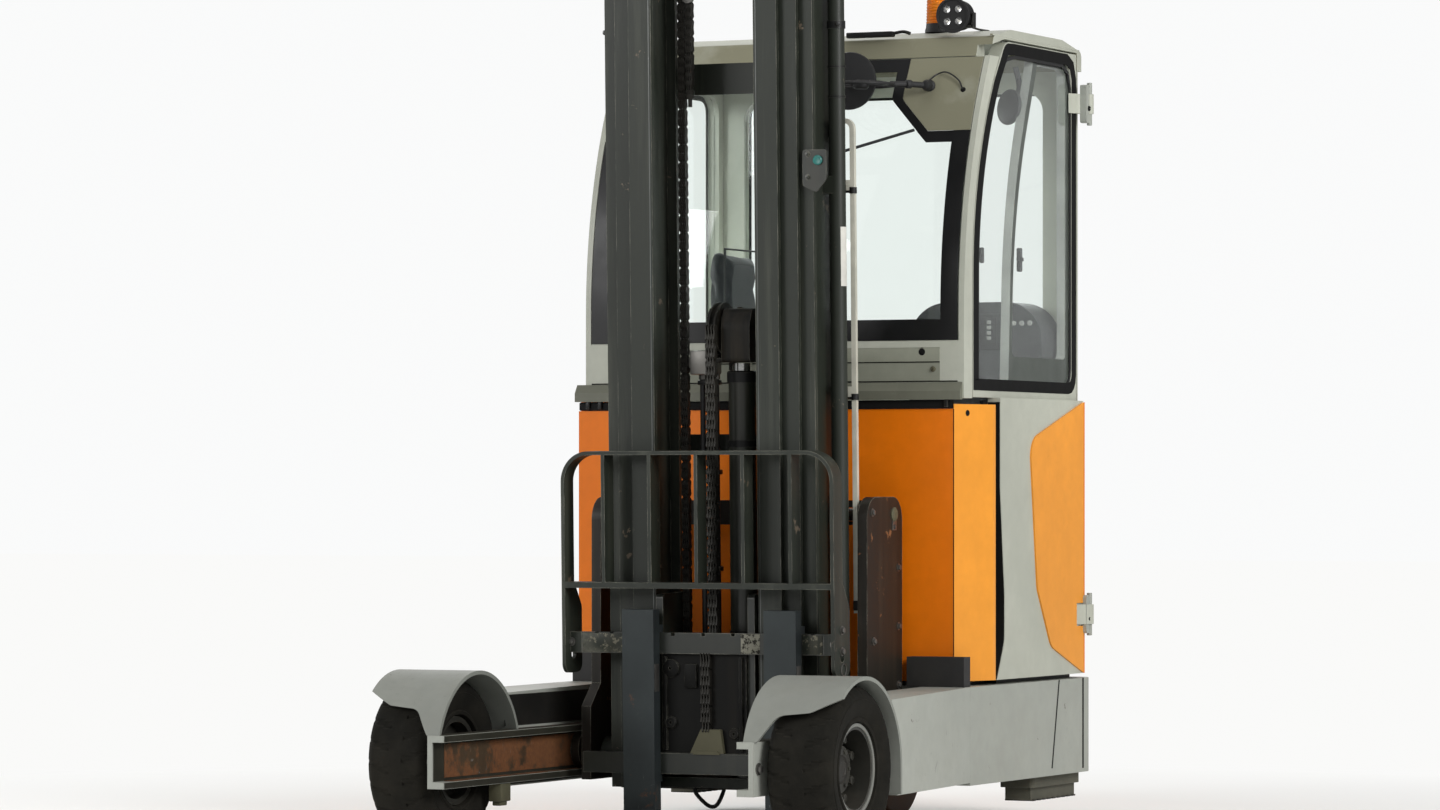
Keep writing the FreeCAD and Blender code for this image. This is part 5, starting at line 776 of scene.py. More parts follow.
    for name, scale, dark, light, rough, values in (
            ("screen print", 6.0, srgb(12, 12, 13), srgb(20, 20, 21), (0.3, 0.45),
             {"Specular_IOR_Level": 0.35}),
            ("amber lens", 30.0, srgb(226, 110, 12), srgb(246, 148, 34), (0.1, 0.2),
             {"Transmission_Weight": 0.35, "IOR": 1.45, "Metallic": 0.0})):
        recipe = Recipe(name)
        tone = recipe.effect("Uneven tone", "Value", Scale=scale)
        recipe.link(recipe.blend(tone, dark, light), "Base Color")
        recipe.link(recipe.number(tone, *rough), "Roughness")
        recipe.fixed(**values)
    cloth = Recipe("seat fabric")
    height_now, tone = cloth.effect("Weave", ["Height", "Shade"], Scale=260.0)
    cloth.link(cloth.blend(tone, shade(tones.seat, 0.6), shade(tones.seat, 1.7)), "Base Color")
    cloth.link(cloth.number(tone, 0.95, 0.8), "Roughness")
    cloth.fixed(Sheen_Weight=0.3, Sheen_Roughness=0.5)
    cloth.bump(height_now, 0.5, 0.0009)


NODE_FINISH = {
    "load_arms": "chassis paint", "wheel_guards": "shaded guard paint", "leg_boxes": "chassis paint",
    "foot_plates": "foot paint", "chassis": "chassis paint", "battery": "battery steel",
    "front_cover": "orange paint", "corner_panel": "lit orange panel paint",
    "left_side_panel": "orange paint", "rear_hood": "orange paint",
    "corner_bumpers": "black plastic", "cab_floor": "black paint", "battery_hood": "dark trim",
    "cab_frame": "cab paint", "cab_roof": "front-shaded roof paint", "windscreen": "window glass",
    "lamp_plate": "front-shaded roof paint", "cab_windows": "window glass", "front_sheet": "shaded front paint",
    "ledge": "shaded sill paint", "door_hinges": "cab paint", "seat_base": "black plastic",
    "seat_cushion": "seat fabric", "seat_backrest": "seat fabric", "headrest": "seat fabric",
    "console": "dark trim", "steering_pod": "dark trim", "steering_wheel": "black plastic",
    "beacon": "amber lens", "spotlight": "black plastic", "guarded_lamp": "black plastic",
    "load_tyre_left": "tyre rubber", "load_rim_left": "wheel paint",
    "load_tyre_right": "tyre rubber", "load_rim_right": "wheel paint",
    "drive_leg": "black paint", "drive_tyre": "drive tread", "drive_hub": "bolt steel",
    "door": "cab paint", "door_glass": "window glass", "door_insert": "lit orange panel paint",
    "door_window_frame": "grey plastic", "reach_frame": "tower paint",
    "tilt_cylinders": "black paint", "tilt_rods": "chrome", "outer_mast": "mast paint",
    "lift_cylinders": "mast paint", "hydraulic_pipe": "pipe with painted reflection", "middle_mast": "mast paint",
    "lift_rods": "chrome", "inner_mast": "mast paint", "free_lift_cylinder": "greasy paint",
    "lift_head": "mast paint", "fork_carriage": "greasy paint", "load_guard": "mast paint",
    "fork_left": "fork steel", "fork_right": "fork steel",
}


class TRUCK_OT_finishes(bpy.types.Operator):
    """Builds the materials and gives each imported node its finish"""
    bl_idname = "truck.finishes"
    bl_label = "Finishes"

    def execute(self, context):
        build_effects()
        build_materials()
        for name, finish in NODE_FINISH.items():
            node = NODES[name]
            node.data.materials.clear()
            node.data.materials.append(MATERIALS[finish])
        return {"FINISHED"}


# ---------------------------------------------------------------- stage
def seen_rays(tree):
    """A mask for what the camera sees, also through glass."""
    path = add_node(tree, "ShaderNodeLightPath")
    return either(tree, path.outputs["Is Camera Ray"], path.outputs["Is Transmission Ray"])


class TRUCK_OT_stage(bpy.types.Operator):
    """Sets up floor, backdrop, lights and camera"""
    bl_idname = "truck.stage"
    bl_label = "Stage"

    def execute(self, context):
        scene = context.scene
        scene.view_settings.view_transform = "Standard"
        floor_finish = bpy.data.materials.new("pale floor")
        floor_finish.use_nodes = True
        tree = floor_finish.node_tree
        surface = tree.nodes["Principled BSDF"]
        surface.inputs["Base Color"].default_value = (0.82, 0.82, 0.8, 1)
        surface.inputs["Roughness"].default_value = 0.9
        place = add_node(tree, "ShaderNodeTexCoord").outputs["Object"]
        away = add_node(tree, "ShaderNodeVectorMath", {"operation": "LENGTH"},
                        _0=place).outputs["Value"]
        glow = add_node(tree, "ShaderNodeEmission", Color=(0.955, 0.955, 0.945, 1), Strength=1.0)
        far = times(tree, ramp(tree, away, 2.2, 4.2), seen_rays(tree))
        mixed = add_node(tree, "ShaderNodeMixShader", _0=far, _1=surface.outputs[0],
                         _2=glow.outputs[0])
        tree.links.new(mixed.outputs[0], tree.nodes["Material Output"].inputs["Surface"])
        bpy.ops.mesh.primitive_plane_add(size=120, location=(0, 0, -0.001))
        floor = context.active_object
        floor.name = "floor"
        floor.data.materials.append(floor_finish)
        world = bpy.data.worlds.new("studio")
        scene.world = world
        world.use_nodes = True
        tree = world.node_tree
        back = tree.nodes["Background"]
        back.inputs["Color"].default_value = (0.985, 0.99, 0.99, 1)
        tree.links.new(between(tree, seen_rays(tree), 0.36, 0.97), back.inputs["Strength"])
        lamps = (
            ("key lamp", (7.5, -3.0, 4.4), (0.2, 0.1, 1.1), 4.0, 500),
            ("front lamp", (-5.5, -7.5, 4.2), (0.0, 0.0, 1.0), 4.0, 320),
            ("rear lamp", (-3.0, 7.5, 5.5), (0, 0.3, 1.4), 4.0, 260),
            ("left lamp", (-7.5, 0.5, 4.0), (0, 0.2, 1.1), 4.0, 200),
            ("top lamp", (0.5, 0.0, 8.0), (0, 0, 0.5), 5.0, 70),
        )
        for name, place, target, size, power in lamps:
            lamp = bpy.data.lights.new(name, "AREA")
            lamp.shape = "DISK"
            lamp.size = size
            lamp.energy = power
            holder = bpy.data.objects.new(name, lamp)
            scene.collection.objects.link(holder)
            holder.location = place
            holder.rotation_euler = (Vector(target) - Vector(place)).to_track_quat(
                "-Z", "Y").to_euler()
        camera = bpy.data.cameras.new("camera")
        camera.lens = 140
        camera.sensor_width = 36
        camera.shift_y = 0.059
        holder = bpy.data.objects.new("camera", camera)
        scene.collection.objects.link(holder)
        holder.location = spot(6837, -13804, 995)
        along = Vector((-0.4226, 0.9063, 0))
        holder.rotation_euler = along.to_track_quat("-Z", "Y").to_euler()
        scene.camera = holder
        return {"FINISHED"}


# ---------------------------------------------------------------- shared shapes
def bent_front(z, front, start, radius, limit):
    """Y of a front that stands upright and then leans back along an arc."""
    if z <= start:
        return front
    rise = min(z, limit) - start
    return front + radius - math.sqrt(radius ** 2 - rise ** 2)


def cab_front(z):
    """Y of the cab's front at a height."""
    return bent_front(z, 1221, 1515, 1508, 2257) + max(0, z - 2257) * 0.565


def door_front(z):
    """Y of the door's front edge at a height."""
    return bent_front(z, 1290, 1622, 1107, 2261) + max(0, z - 2261) * 0.708


def skin(shape, rows, shift):
    """A closed sheet on a grid of points; shift is its thickness as a vector."""
    shift = Vector(shift)
    near = [[shape.mesh.verts.new(Vector(p)) for p in row] for row in rows]
    far = [[shape.mesh.verts.new(Vector(p) + shift) for p in row] for row in rows]
    last, end = len(rows) - 1, len(rows[0]) - 1
    for i in range(last):
        for j in range(end):
            shape.mesh.faces.new((near[i][j], near[i][j + 1], near[i + 1][j + 1],
                                  near[i + 1][j]))
            shape.mesh.faces.new((far[i][j], far[i + 1][j], far[i + 1][j + 1], far[i][j + 1]))
    for i in range(last):
        for j in (0, end):
            shape.mesh.faces.new((near[i][j], near[i + 1][j], far[i + 1][j], far[i][j]))
    for j in range(end):
        for i in (0, last):
            shape.mesh.faces.new((near[i][j], far[i][j], far[i][j + 1], near[i][j + 1]))
    return shape


def front_strip(shape, left, right, low, high, out=1.2, steps=24):
    """A strip on the cab's bent front; left and right are X, or functions of the height."""
    rows = []
    for i in range(steps + 1):
        z = low + (high - low) * i / steps
        a = left(z) if callable(left) else left
        b = right(z) if callable(right) else right
        y = cab_front(z) - out
        rows.append([(a, y, z), (b, y, z)])
    return skin(shape, rows, (0, out * 0.8, 0))


def hex_bolt(shape, centre, axis, size, height, washer=0):
    """A hexagonal bolt head on a washer; the centre lies on the surface."""
    axis = Vector(axis).normalized()
    centre = Vector(centre)
    start = 0
    if washer:
        shape.disc(centre + axis * washer * 0.08, axis, washer, washer * 0.16, 0, 20)
        start = washer * 0.16
    shape.disc(centre + axis * (start + height / 2), axis, size, height, size * 0.12, 6)
    return shape


def bolt_ring(shape, centre, way, radius, count, bolt, offset=0):
    """Bolts of one size, height and washer round an axis across the truck."""
    x, y, z = centre
    for i in range(count):
        angle = 2 * math.pi * (i + offset) / count
        hex_bolt(shape, (x, y + radius * math.cos(angle), z + radius * math.sin(angle)),
                 (way, 0, 0), *bolt)


def dome_bolt(shape, centre, axis, radius):
    """A round bolt head with a socket."""
    axis = Vector(axis).normalized()
    centre = Vector(centre)
    shape.turned(centre, axis, [(0, radius), (radius * 0.35, radius),
                                (radius * 0.6, radius * 0.75),
                                (radius * 0.7, radius * 0.45), (radius * 0.35, radius * 0.4),
                                (radius * 0.35, 0), (0, 0)], 16)
    return shape


# ---------------------------------------------------------------- wheels
def tyre(side, lugs, groove):
    """A solid rubber load tyre with staggered shoulder lugs."""
    shape = Shape()
    x, y, z = LOAD_WHEEL
    half = [(-72, 127), (-86, 131), (-88, 140), (-84, 144), (-88, 152), (-93, 168), (-96, 184),
            (-97, 192), (-95, 194), (-95.5, 200), (-94, 205), (-91, 212), (-84, 221),
            (-76, 227), (-68, 229), (-46, 229), (-22, 229), (-20, 229), (-10, 229)]
    profile = half + [(0, 229)] + [(-along, reach) for along, reach in reversed(half)]
    cell = 16
    around = lugs * cell
    rings = []
    for along, reach in profile:
        ring = []
        for i in range(around):
            turned = i - (cell if along > 0 else cell // 2) + abs(along) * 0.11
            cut = 0
            if abs(along) >= 22 and reach > 203 and (turned / cell) % 1.0 < 0.14:
                cut = groove * min(1.0, (reach - 196) / 30)
            if along == 0 and 0 < (i / cell) % 1.0 < 0.5:
                cut = groove * 0.35
            angle = 2 * math.pi * i / around
            r = reach - cut
            ring.append(shape.mesh.verts.new((x * side + along, y + r * math.cos(angle),
                                              z + r * math.sin(angle))))
        rings.append(ring)
    shape.joined(rings, True)
    return shape


class TRUCK_OT_load_wheels(bpy.types.Operator):
    """Load tyres with lugs, rim rings, wheel nuts and hub caps"""
    bl_idname = "truck.load_wheels"
    bl_label = "Load wheels"

    def execute(self, context):
        sizes = context.scene.truck_sizes
        for name, side in (("left", 1), ("right", -1)):
            body = "load_wheel_" + name
            piece = tyre(side, sizes.lugs, sizes.groove * 1000).made(
                "lugged_tyre_" + name, "tyre rubber", body, 0.5)
            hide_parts("load_tyre_" + name)
            x, y, z = LOAD_WHEEL
            ring = Shape()
            ring.turned(((x + 75) * side, y, z), (side, 0, 0),
                        [(-3, 117), (-3, 126), (1, 128), (5, 127), (6, 122), (4, 118)], 64)
            ring.made("rim_ring_" + name, "rim edge paint", body)
            nuts = Shape()
            bolt_ring(nuts, ((x + 16.2) * side, y, z), side, 88, 8, (13, 14, 17), 0.5)
            bolt_ring(nuts, ((x + 33.2) * side, y, z), side, 52, 6, (5.5, 4, 7))
            nuts.made("wheel_nuts_" + name, "wheel paint", body)
            cap = Shape()
            cap.turned(((x + 33) * side, y, z), (side, 0, 0),
                       [(-2, 40), (2, 40), (5, 36), (6, 22), (4.5, 20), (4.5, 0), (-2, 0)], 40)
            cap.made("hub_cap_" + name, "black paint", body)
        return {"FINISHED"}


class TRUCK_OT_drive_wheel(bpy.types.Operator):
    """Nuts of the drive wheel and the bolted cover of its gear"""
    bl_idname = "truck.drive_wheel"
    bl_label = "Drive wheel"

    def execute(self, context):
        nuts = Shape()
        bolt_ring(nuts, (20, DRIVE_WHEEL_Y, DRIVE_WHEEL_Z), -1, 72, 6, (11, 10, 14))
        nuts.made("drive_wheel_nuts", "bolt steel", "drive_wheel")
        cover = Shape()
        bolt_ring(cover, (212, DRIVE_WHEEL_Y, DRIVE_WHEEL_Z), 1, 62, 9, (7, 5, 9))
        cover.turned((212, DRIVE_WHEEL_Y, DRIVE_WHEEL_Z), ACROSS,
                     [(-1, 40), (4, 40), (8, 34), (8, 0), (-1, 0)], 40)
        cover.made("gear_cover_bolts", "bolt steel", "drive_unit")
        return {"FINISHED"}


# ---------------------------------------------------------------- legs and chassis
class TRUCK_OT_chassis_details(bpy.types.Operator):
    """Reach tracks, leg linings, skirt seams, bolts and the steps' rubber"""
    bl_idname = "truck.chassis_details"
    bl_label = "Chassis details"

    def execute(self, context):
        track = Shape()
        lining = Shape()
        stops = Shape()
        dark_plates = Shape()
        bolts = Shape()
        for side in (1, -1):
            track.side_block(side, (483.0, 70, 190), (484.4, 1160, 284))
            track.side_block(side, (454, 70, 180.2), (484, 1160, 181.6))
            # Darker plates on the arms' flange tops and on the faces inside and outside their
            # webs.
            dark_plates.side_block(side, (452, 12, 310.1), (499, 1190, 311))
            dark_plates.side_block(side, (449.4, 6, 292), (450.2, 1196, 309))
            dark_plates.side_block(side, (449.4, 6, 162), (450.2, 1196, 179))
            dark_plates.side_block(side, (484.2, 6, 181), (484.9, 1196, 290))
            dark_plates.side_block(side, (499.9, 330, 165), (500.8, 460, 305))
            lining.side_block(side, (498.6, 470, 318), (499.9, 1196, 408))
            lining.side_block(side, (499.5, 462, 150), (501.2, 1196, 160))
            stops.side_block(side, (455, 362, 108), (496, 424, 160.6), 4)
            stops.side_block(side, (462, 372, 96), (489, 414, 109), 3)
            for y in (30, 1120):
                hex_bolt(bolts, (500.4 * side, y, 236), (side, 0, 0), 12, 9, 17)
        dark_plates.made("arm_dark_plates", "dark arm paint")
        track.made("reach_tracks", "track steel")
        lining.made("leg_linings", "black paint")
        stops.made("arm_stops", "bracket steel", smooth=0.4)
        bolts.made("arm_bolts", "bolt steel")

        seams = Shape()
        for side in (1, -1):
            x = 640.5 * side
            for ends, half in ((((1901, 423), (1843, 160)), 4.5), (((2098, 424), (2098, 150)), 6)):
                (y_top, z_top), (y_low, z_low) = ends
                rows = [[(x, y_top - half, z_top), (x, y_top + half, z_top)],
                        [(x, y_low - half, z_low), (x, y_low + half, z_low)]]
                skin(seams, rows, (-1.0 * side, 0, 0))
        seams.made("skirt_seams", "seal rubber")

        steps = Shape()
        for side in (1, -1):
            for i in range(9):
                y = 1790 + i * 40
                steps.side_block(side, (508, y, 63), (602, y + 24, 68), 2)
        steps.made("foot_ribs", "pad rubber")
        return {"FINISHED"}


# ---------------------------------------------------------------- lower body
class TRUCK_OT_body_details(bpy.types.Operator):
    """Locks, seams, louvres, lights and the post between corner panel and door"""
    bl_idname = "truck.body_details"
    bl_label = "Body details"

    def execute(self, context):
        lock = Shape()
        axis = (0.951, -0.308, 0)
        lock.turned((599, 1279.5, 1219), axis, [(-1, 9), (0.6, 9), (1.2, 8), (0.4, 6), (0.4, 0),
                                                (-1, 0)], 24)
        lock.made("panel_lock", "seal rubber")
        post = Shape()
        post.block((584, 1409, 440), (594, 1470, 1258), 1)
        post.block((594, 1410, 440), (606, 1418, 1240), 1)
        post.made("door_post", "seal rubber")
        seal = Shape()
        seal.block((-632, 1214, 1232), (576, 1235, 1257), 4)
        seal.made("cover_seal", "seal rubber")
        seams = Shape()
        seams.block((579, 1219.2, 438), (581, 1221, 1230))
        seams.block((-1, 1219.3, 440), (1, 1220.4, 1230))
        seams.made("cover_seams", "seal rubber")
        # The edge strips use the lit orange, which is painted light.
        edges = Shape()
        for x_low, x_high in ((-635, -618), (560, 580)):
            edges.block((x_low, 1218.6, 440), (x_high, 1220.2, 446))
        edges.made("cover_edges", "lit orange panel paint")

        left = Shape()
        for y in (1400, 1900):
            left.block((-635.8, y - 1.5, 450), (-634.8, y + 1.5, 1250))
        left.block((-636.4, 1560, 1130), (-634.8, 1760, 1180), 0.6)
        left.made("left_panel_seams", "seal rubber")
        handle = Shape()
        handle.tube([(-635, 1580, 1155), (-641, 1590, 1155), (-643, 1660, 1155),
                     (-641, 1730, 1155), (-635, 1740, 1155)], 5)
        handle.made("left_panel_handle", "black plastic")

        rear = Shape()
        for i in range(11):
            z = 640 + i * 34
            rear.block((-300, 2149.6, z), (300, 2153.5, z + 9), 1.5)
        rear.made("rear_louvres", "black plastic")
        frame_ring = Shape()
        frame_ring.band(rounded_box(-330, 330, 610, 1040, 30), "Y", 2149.8, 2153, 12)
        frame_ring.band(rounded_box(-560, 560, 450, 1200, 40, 6), "Y", 2149.6, 2150.8, 3)
        frame_ring.made("rear_frame", "lit orange panel paint")
        housings = Shape()
        red = Shape()
        amber = Shape()
        for side in (1, -1):
            x = 500 * side
            housings.plate(rounded_box(x - 62, x + 62, 1105, 1175, 14, 4), "Y", 2149, 2158, 2)
            red.plate(rounded_box(x - 54, x + 4, 1112, 1168, 8, 3), "Y", 2157, 2164, 2)
            amber.plate(rounded_box(x + 10, x + 54, 1112, 1168, 8, 3), "Y", 2157, 2164, 2)
        housings.made("tail_lamp_housings", "black plastic")
        red.made("tail_lamps", "red lens")
        amber.made("turn_lamps", "amber lens")
        bolts = Shape()
        for x in (-540, 540):
            for z in (480, 1080):
                dome_bolt(bolts, (x, 2150, z), REAR, 9)
        bolts.made("body_bolts", "bolt steel")
        return {"FINISHED"}


# ---------------------------------------------------------------- cab
DOOR_OUTER = 612


def door_edge(z):
    """Y of the lower door's front edge at a height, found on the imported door."""
    door = NODES["door"]
    turn = door.matrix_world.inverted()
    start = turn @ spot(615, 1150, z)
    found, met, _, _ = door.ray_cast(start, turn.to_3x3() @ Vector(REAR))
    if not found:
        raise RuntimeError("the door has no front edge at this height")
    return (door.matrix_world @ met).y * 1000 - ARM_FRONT * 1000


def door_ring(inset_by, low, rear):
    """The door's window outline as (Y, Z) points, drawn in from the door's edges."""
    points = [(rear, low + 60), (rear - 5, low + 34), (rear - 18, low + 16),
              (rear - 36, low + 4), (rear - 62, low)]
    front = [(door_front(z) + inset_by, z) for z in range(low, 2200, 30)]
    points += front
    top = 2320 - inset_by
    corner = 70
    start = door_front(2200) + inset_by
    end = door_front(2261) + inset_by
    points += curve_points_flat([(start, 2200), (end + 6, 2261), (end + 46, top - 8),
                                 (end + 100, top)], 5)
    points += [(rear - corner, top), (rear - corner * 0.3, top - corner * 0.3),
               (rear, top - corner)]
    return points


def curve_points_flat(points, steps):
    """A smooth curve in a plane as pairs."""
    found = curve_points([Vector((u, v, 0)) for u, v in points], steps)
    return [(p.x, p.y) for p in found]


class TRUCK_OT_cab_details(bpy.types.Operator):
    """Windscreen print, seals, wiper, front sheet fasteners and roof fittings"""
    bl_idname = "truck.cab_details"
    bl_label = "Cab details"

    def execute(self, context):
        band = Shape()
        front_strip(band, 538, 592, 1431, 2046)
        front_strip(band, -558, -538, 1431, 2268)
        front_strip(band, -592, -558, 1431, 2046)
        front_strip(band, -538, 538, 1431, 1492, steps=3)
        front_strip(band, -538, 330, 2228, 2268, steps=4)

        def plate_edge(z):
            return 360 if z > 2145 else 360 + (2145 - z) * 0.99
        front_strip(band, lambda z: plate_edge(z) - 34, plate_edge, 2046, 2268, out=1.6)
        front_strip(band, lambda z: 423 + (2046 - z), 592, 2012, 2046, steps=4, out=1.6)
        band.made("windscreen_print", "screen print")

        fasteners = Shape()
        dome_bolt(fasteners, (929 - 413.5, 1220.6, 1347), FRONT, 8)
        dome_bolt(fasteners, (-515, 1220.6, 1347), FRONT, 8)
        y = cab_front(2166) - 1
        dome_bolt(fasteners, (505, y, 2125), (0, -0.93, 0.36), 10)
        fasteners.made("front_bolts", "bracket steel")
        plugs = Shape()
        for x in (480, -480):
            plugs.turned((x, 1221.4, 1397), FRONT, [(-2, 13), (0.5, 13), (2.5, 10), (3, 0),
                                                    (-2, 0)], 24)
        plugs.turned((548, cab_front(2168), 2168), (0, -0.93, 0.36),
                     [(-2, 8), (1, 8), (3, 5), (3, 0), (-2, 0)], 16)
        plugs.made("front_plugs", "seal rubber")
        seam = Shape()
        seam.block((-536, 1219.8, 1366), (536, 1221.2, 1369))
        seam.block((-592, 1219.9, 1309.5), (592, 1221.4, 1313))
        seam.made("front_sheet_seams", "seal rubber")
        # The upper front sheet takes the same painted shadow of the mast.
        sheet = Shape()
        sheet.block((-536, 1219.2, 1369), (536, 1221, 1408), 0.6)
        sheet.made("upper_front_sheet", "shaded front paint")

        feet = Shape()
        for x in (-600, -560, 560):
            feet.block((x - 6, 1207, 1236), (x + 6, 1219, 1259), 2)
        feet.made("ledge_struts", "black paint")

        wiper = Shape()
        wiper.tube([(418, cab_front(2050) - 10, 2050), (212, cab_front(1995) - 10, 1995),
                    (20, cab_front(1945) - 10, 1945)], 4.5, 8, 1)
        wiper.tube([(20, cab_front(z) - 8, z) for z in range(1620, 2030, 54)], 5, 6)
        wiper.disc((20, cab_front(1945) - 3, 1945), FRONT, 9, 12, 2)
        wiper.made("wiper_arm", "dark trim")

        roof = Shape()
        for x in (-420, -140, 140, 420):
            roof.block((x - 9, 1700, 2356), (x + 9, 2060, 2363), 3)
        roof.made("roof_ribs", "front-shaded roof paint")
        rail = Shape()
        rail.block((148, 1424, 2336), (300, 1446, 2353), 4)
        rail.tube([(296, 1432, 2346), (330, 1432, 2350), (352, 1436, 2344)], 5, 8)
        rail.made("roof_bar", "black paint")
        edge = Shape()
        for side in (1, -1):
            edge.side_block(side, (604, 1440, 2331), (612.6, 2140, 2336), 1)
        edge.made("rain_gutters", "front-shaded roof paint")

        lining = Shape()
        for low, high in ((442, 840), (846, 1256)):
            lining.block((-617.5, 2130.5, low), (610, 2133.5, high), 1)
            lining.block((-618.6, 1246, low), (-615.6, 2130, high), 1)
        lining.made("inner_lining", "dark trim")
        seals = Shape()
        seals.band(rounded([(1320, 1330), (2080, 1330), (2080, 2225), (1445, 2225),
                            (1320, 1960)], 60, 6), "X", -613.8, -612.2, 16)
        seals.band(rounded_box(-508, 508, 1392, 2218, 60, 6), "Y", 2149.4, 2151.6, 16)
        seals.made("window_seals", "seal rubber")
        return {"FINISHED"}


class TRUCK_OT_door_details(bpy.types.Operator):
    """The door's seals, handles and hinge caps"""
    bl_idname = "truck.door_details"
    bl_label = "Door details"

    def execute(self, context):
        ring = Shape()
        ring.band(door_ring(3, 1286, 2108), "X", DOOR_OUTER - 0.6, DOOR_OUTER + 1.6, 34)
        ring.made("door_edge_seal", "seal rubber", "cab_door")
        # A black strip along the door's front edge paints the shade that lies on that edge.
        lip = Shape()
        rows = []
        for i in range(30):
            z = 441 + i * 28
            y = door_edge(z) - 2.5
            rows.append([(597, y, z), (633.5, y, z)])
        skin(lip, rows, (0, 2, 0))
        lip.made("door_edge_shade_strip", "seal rubber", "cab_door")
        inner = Shape()
        inner.band(door_ring(36, 1300, 2070), "X", DOOR_OUTER - 4, DOOR_OUTER + 0.4, 10)
        inner.made("door_glass_seal", "black plastic", "cab_door")
        handle = Shape()
        handle.block((586, 1680, 1645), (599, 1702, 1716), 4)
        handle.block((590, 1670, 1676), (599, 1712, 1688), 3)
        handle.block((588, 1384, 1660), (599, 1402, 1706), 4)
        handle.disc((593, 1393, 1683), ACROSS, 7, 12, 2, 16)
        handle.made("pane_handle", "black plastic", "cab_door")
        hinges = Shape()
        boxes = Shape()
        caps = Shape()
        for z in (2170, 617):
            boxes.plate(rounded_box(2098, 2136, z - 58, z + 58, 10), "X", 630, 651, 5)
            hinges.disc((648, 2132, z), UP, 8, 130, 2, 24)
            dome_bolt(caps, (651, 2118, z - 14), ACROSS, 8)
        covers = hinges.made("hinge_covers", "chassis paint")
        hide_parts("door_hinges")
        boxes.made("hinge_boxes", "chassis paint", "cab_door")
        caps.made("hinge_bolts", "seal rubber", "cab_door")
        return {"FINISHED"}


# ---------------------------------------------------------------- driver's place
def swollen(name, low, high, corner, rise, pressure):
    """A cushion blown up a little by a cloth simulation, a few millimetres inside its box."""
    shape = Shape()
    low, high = Vector(low), Vector(high)
    shape.block(low + Vector((6, 6, 6)), high - Vector((6, 6, 6)), corner)
    piece = linked(name, shape.data(name))
    select_only(piece)
    remesh = piece.modifiers.new("even mesh", "REMESH")
    remesh.mode = "VOXEL"
    remesh.voxel_size = 0.008
    bpy.ops.object.modifier_apply(modifier=remesh.name)
    start = [vert.co.copy() for vert in piece.data.vertices]
    cloth = piece.modifiers.new("foam", "CLOTH")
    settings = cloth.settings
    settings.quality = 5
    settings.mass = 0.3
    settings.tension_stiffness = 18
    settings.compression_stiffness = 18
    settings.shear_stiffness = 8
    settings.bending_stiffness = 0.6
    settings.use_pressure = True
    settings.uniform_pressure_force = pressure
    settings.effector_weights.gravity = 0
    cloth.point_cache.frame_start = 1
    cloth.point_cache.frame_end = 20
    for frame_number in range(1, 21):
        bpy.context.scene.frame_set(frame_number)
    bpy.ops.object.modifier_apply(modifier=cloth.name)
    bpy.context.scene.frame_set(1)
    for vert, before in zip(piece.data.vertices, start):
        step = vert.co - before
        if step.length > rise:
            vert.co = before + step * (rise / step.length)
    divide = piece.modifiers.new("fine", "SUBSURF")
    divide.levels = 1
    bpy.ops.object.modifier_apply(modifier=divide.name)
    piece.data.shade_smooth()
    return piece


class TRUCK_OT_seat(bpy.types.Operator):
    """Upholstered cushion, backrest and headrest with piping"""
    bl_idname = "truck.seat"
    bl_label = "Seat"

    def execute(self, context):
        rise = context.scene.truck_sizes.seat_rise
        parts = (
            ("seat_cushion", (-350, 1570, 850), (90, 2030, 950), 24, 4.0),
            ("seat_backrest", (-430, 1570, 900), (-350, 2030, 1440), 24, 4.0),
            ("headrest", (-430, 1660, 1475), (-360, 1940, 1745), 28, 4.0),
        )
        for node, low, high, corner, pressure in parts:
            inward = Vector((10, 10, 10))
            piece = swollen("soft_" + node, Vector(low) + inward, Vector(high) - inward, corner,
                            rise, pressure)
            piece.data.materials.append(MATERIALS["seat fabric"])
            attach(piece, "chassis")
            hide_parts(node)
        piping = Shape()
        piping.tube([(-336, 1584, 944), (76, 1584, 944), (76, 2016, 944), (-336, 2016, 944)],
                    5, 8, 1, True)
        piping.tube([(-356, 1584, 914), (-356, 2016, 914), (-356, 2016, 1426),
                     (-356, 1584, 1426)], 5, 8, 1, True)
        piping.tube([(-364, 1676, 1490), (-364, 1924, 1490), (-364, 1924, 1730),
                     (-364, 1676, 1730)], 4, 8, 1, True)
        piping.made("seat_piping", "black plastic")
        posts = Shape()
        for y in (1740, 1860):
            posts.disc((-394, y, 1462), UP, 7, 90, 1, 20)
            posts.disc((-394, y, 1442), UP, 14, 12, 2, 24)
        posts.made("headrest_posts", "bolt steel")
        belt = Shape()
        belt.block((-346, 1548, 868), (-300, 1568, 920), 5)
        belt.block((-330, 1550, 918), (-316, 1566, 958), 3)
        belt.block((-346, 2032, 868), (-300, 2052, 920), 5)
        belt.made("belt_buckles", "dark trim")
        return {"FINISHED"}


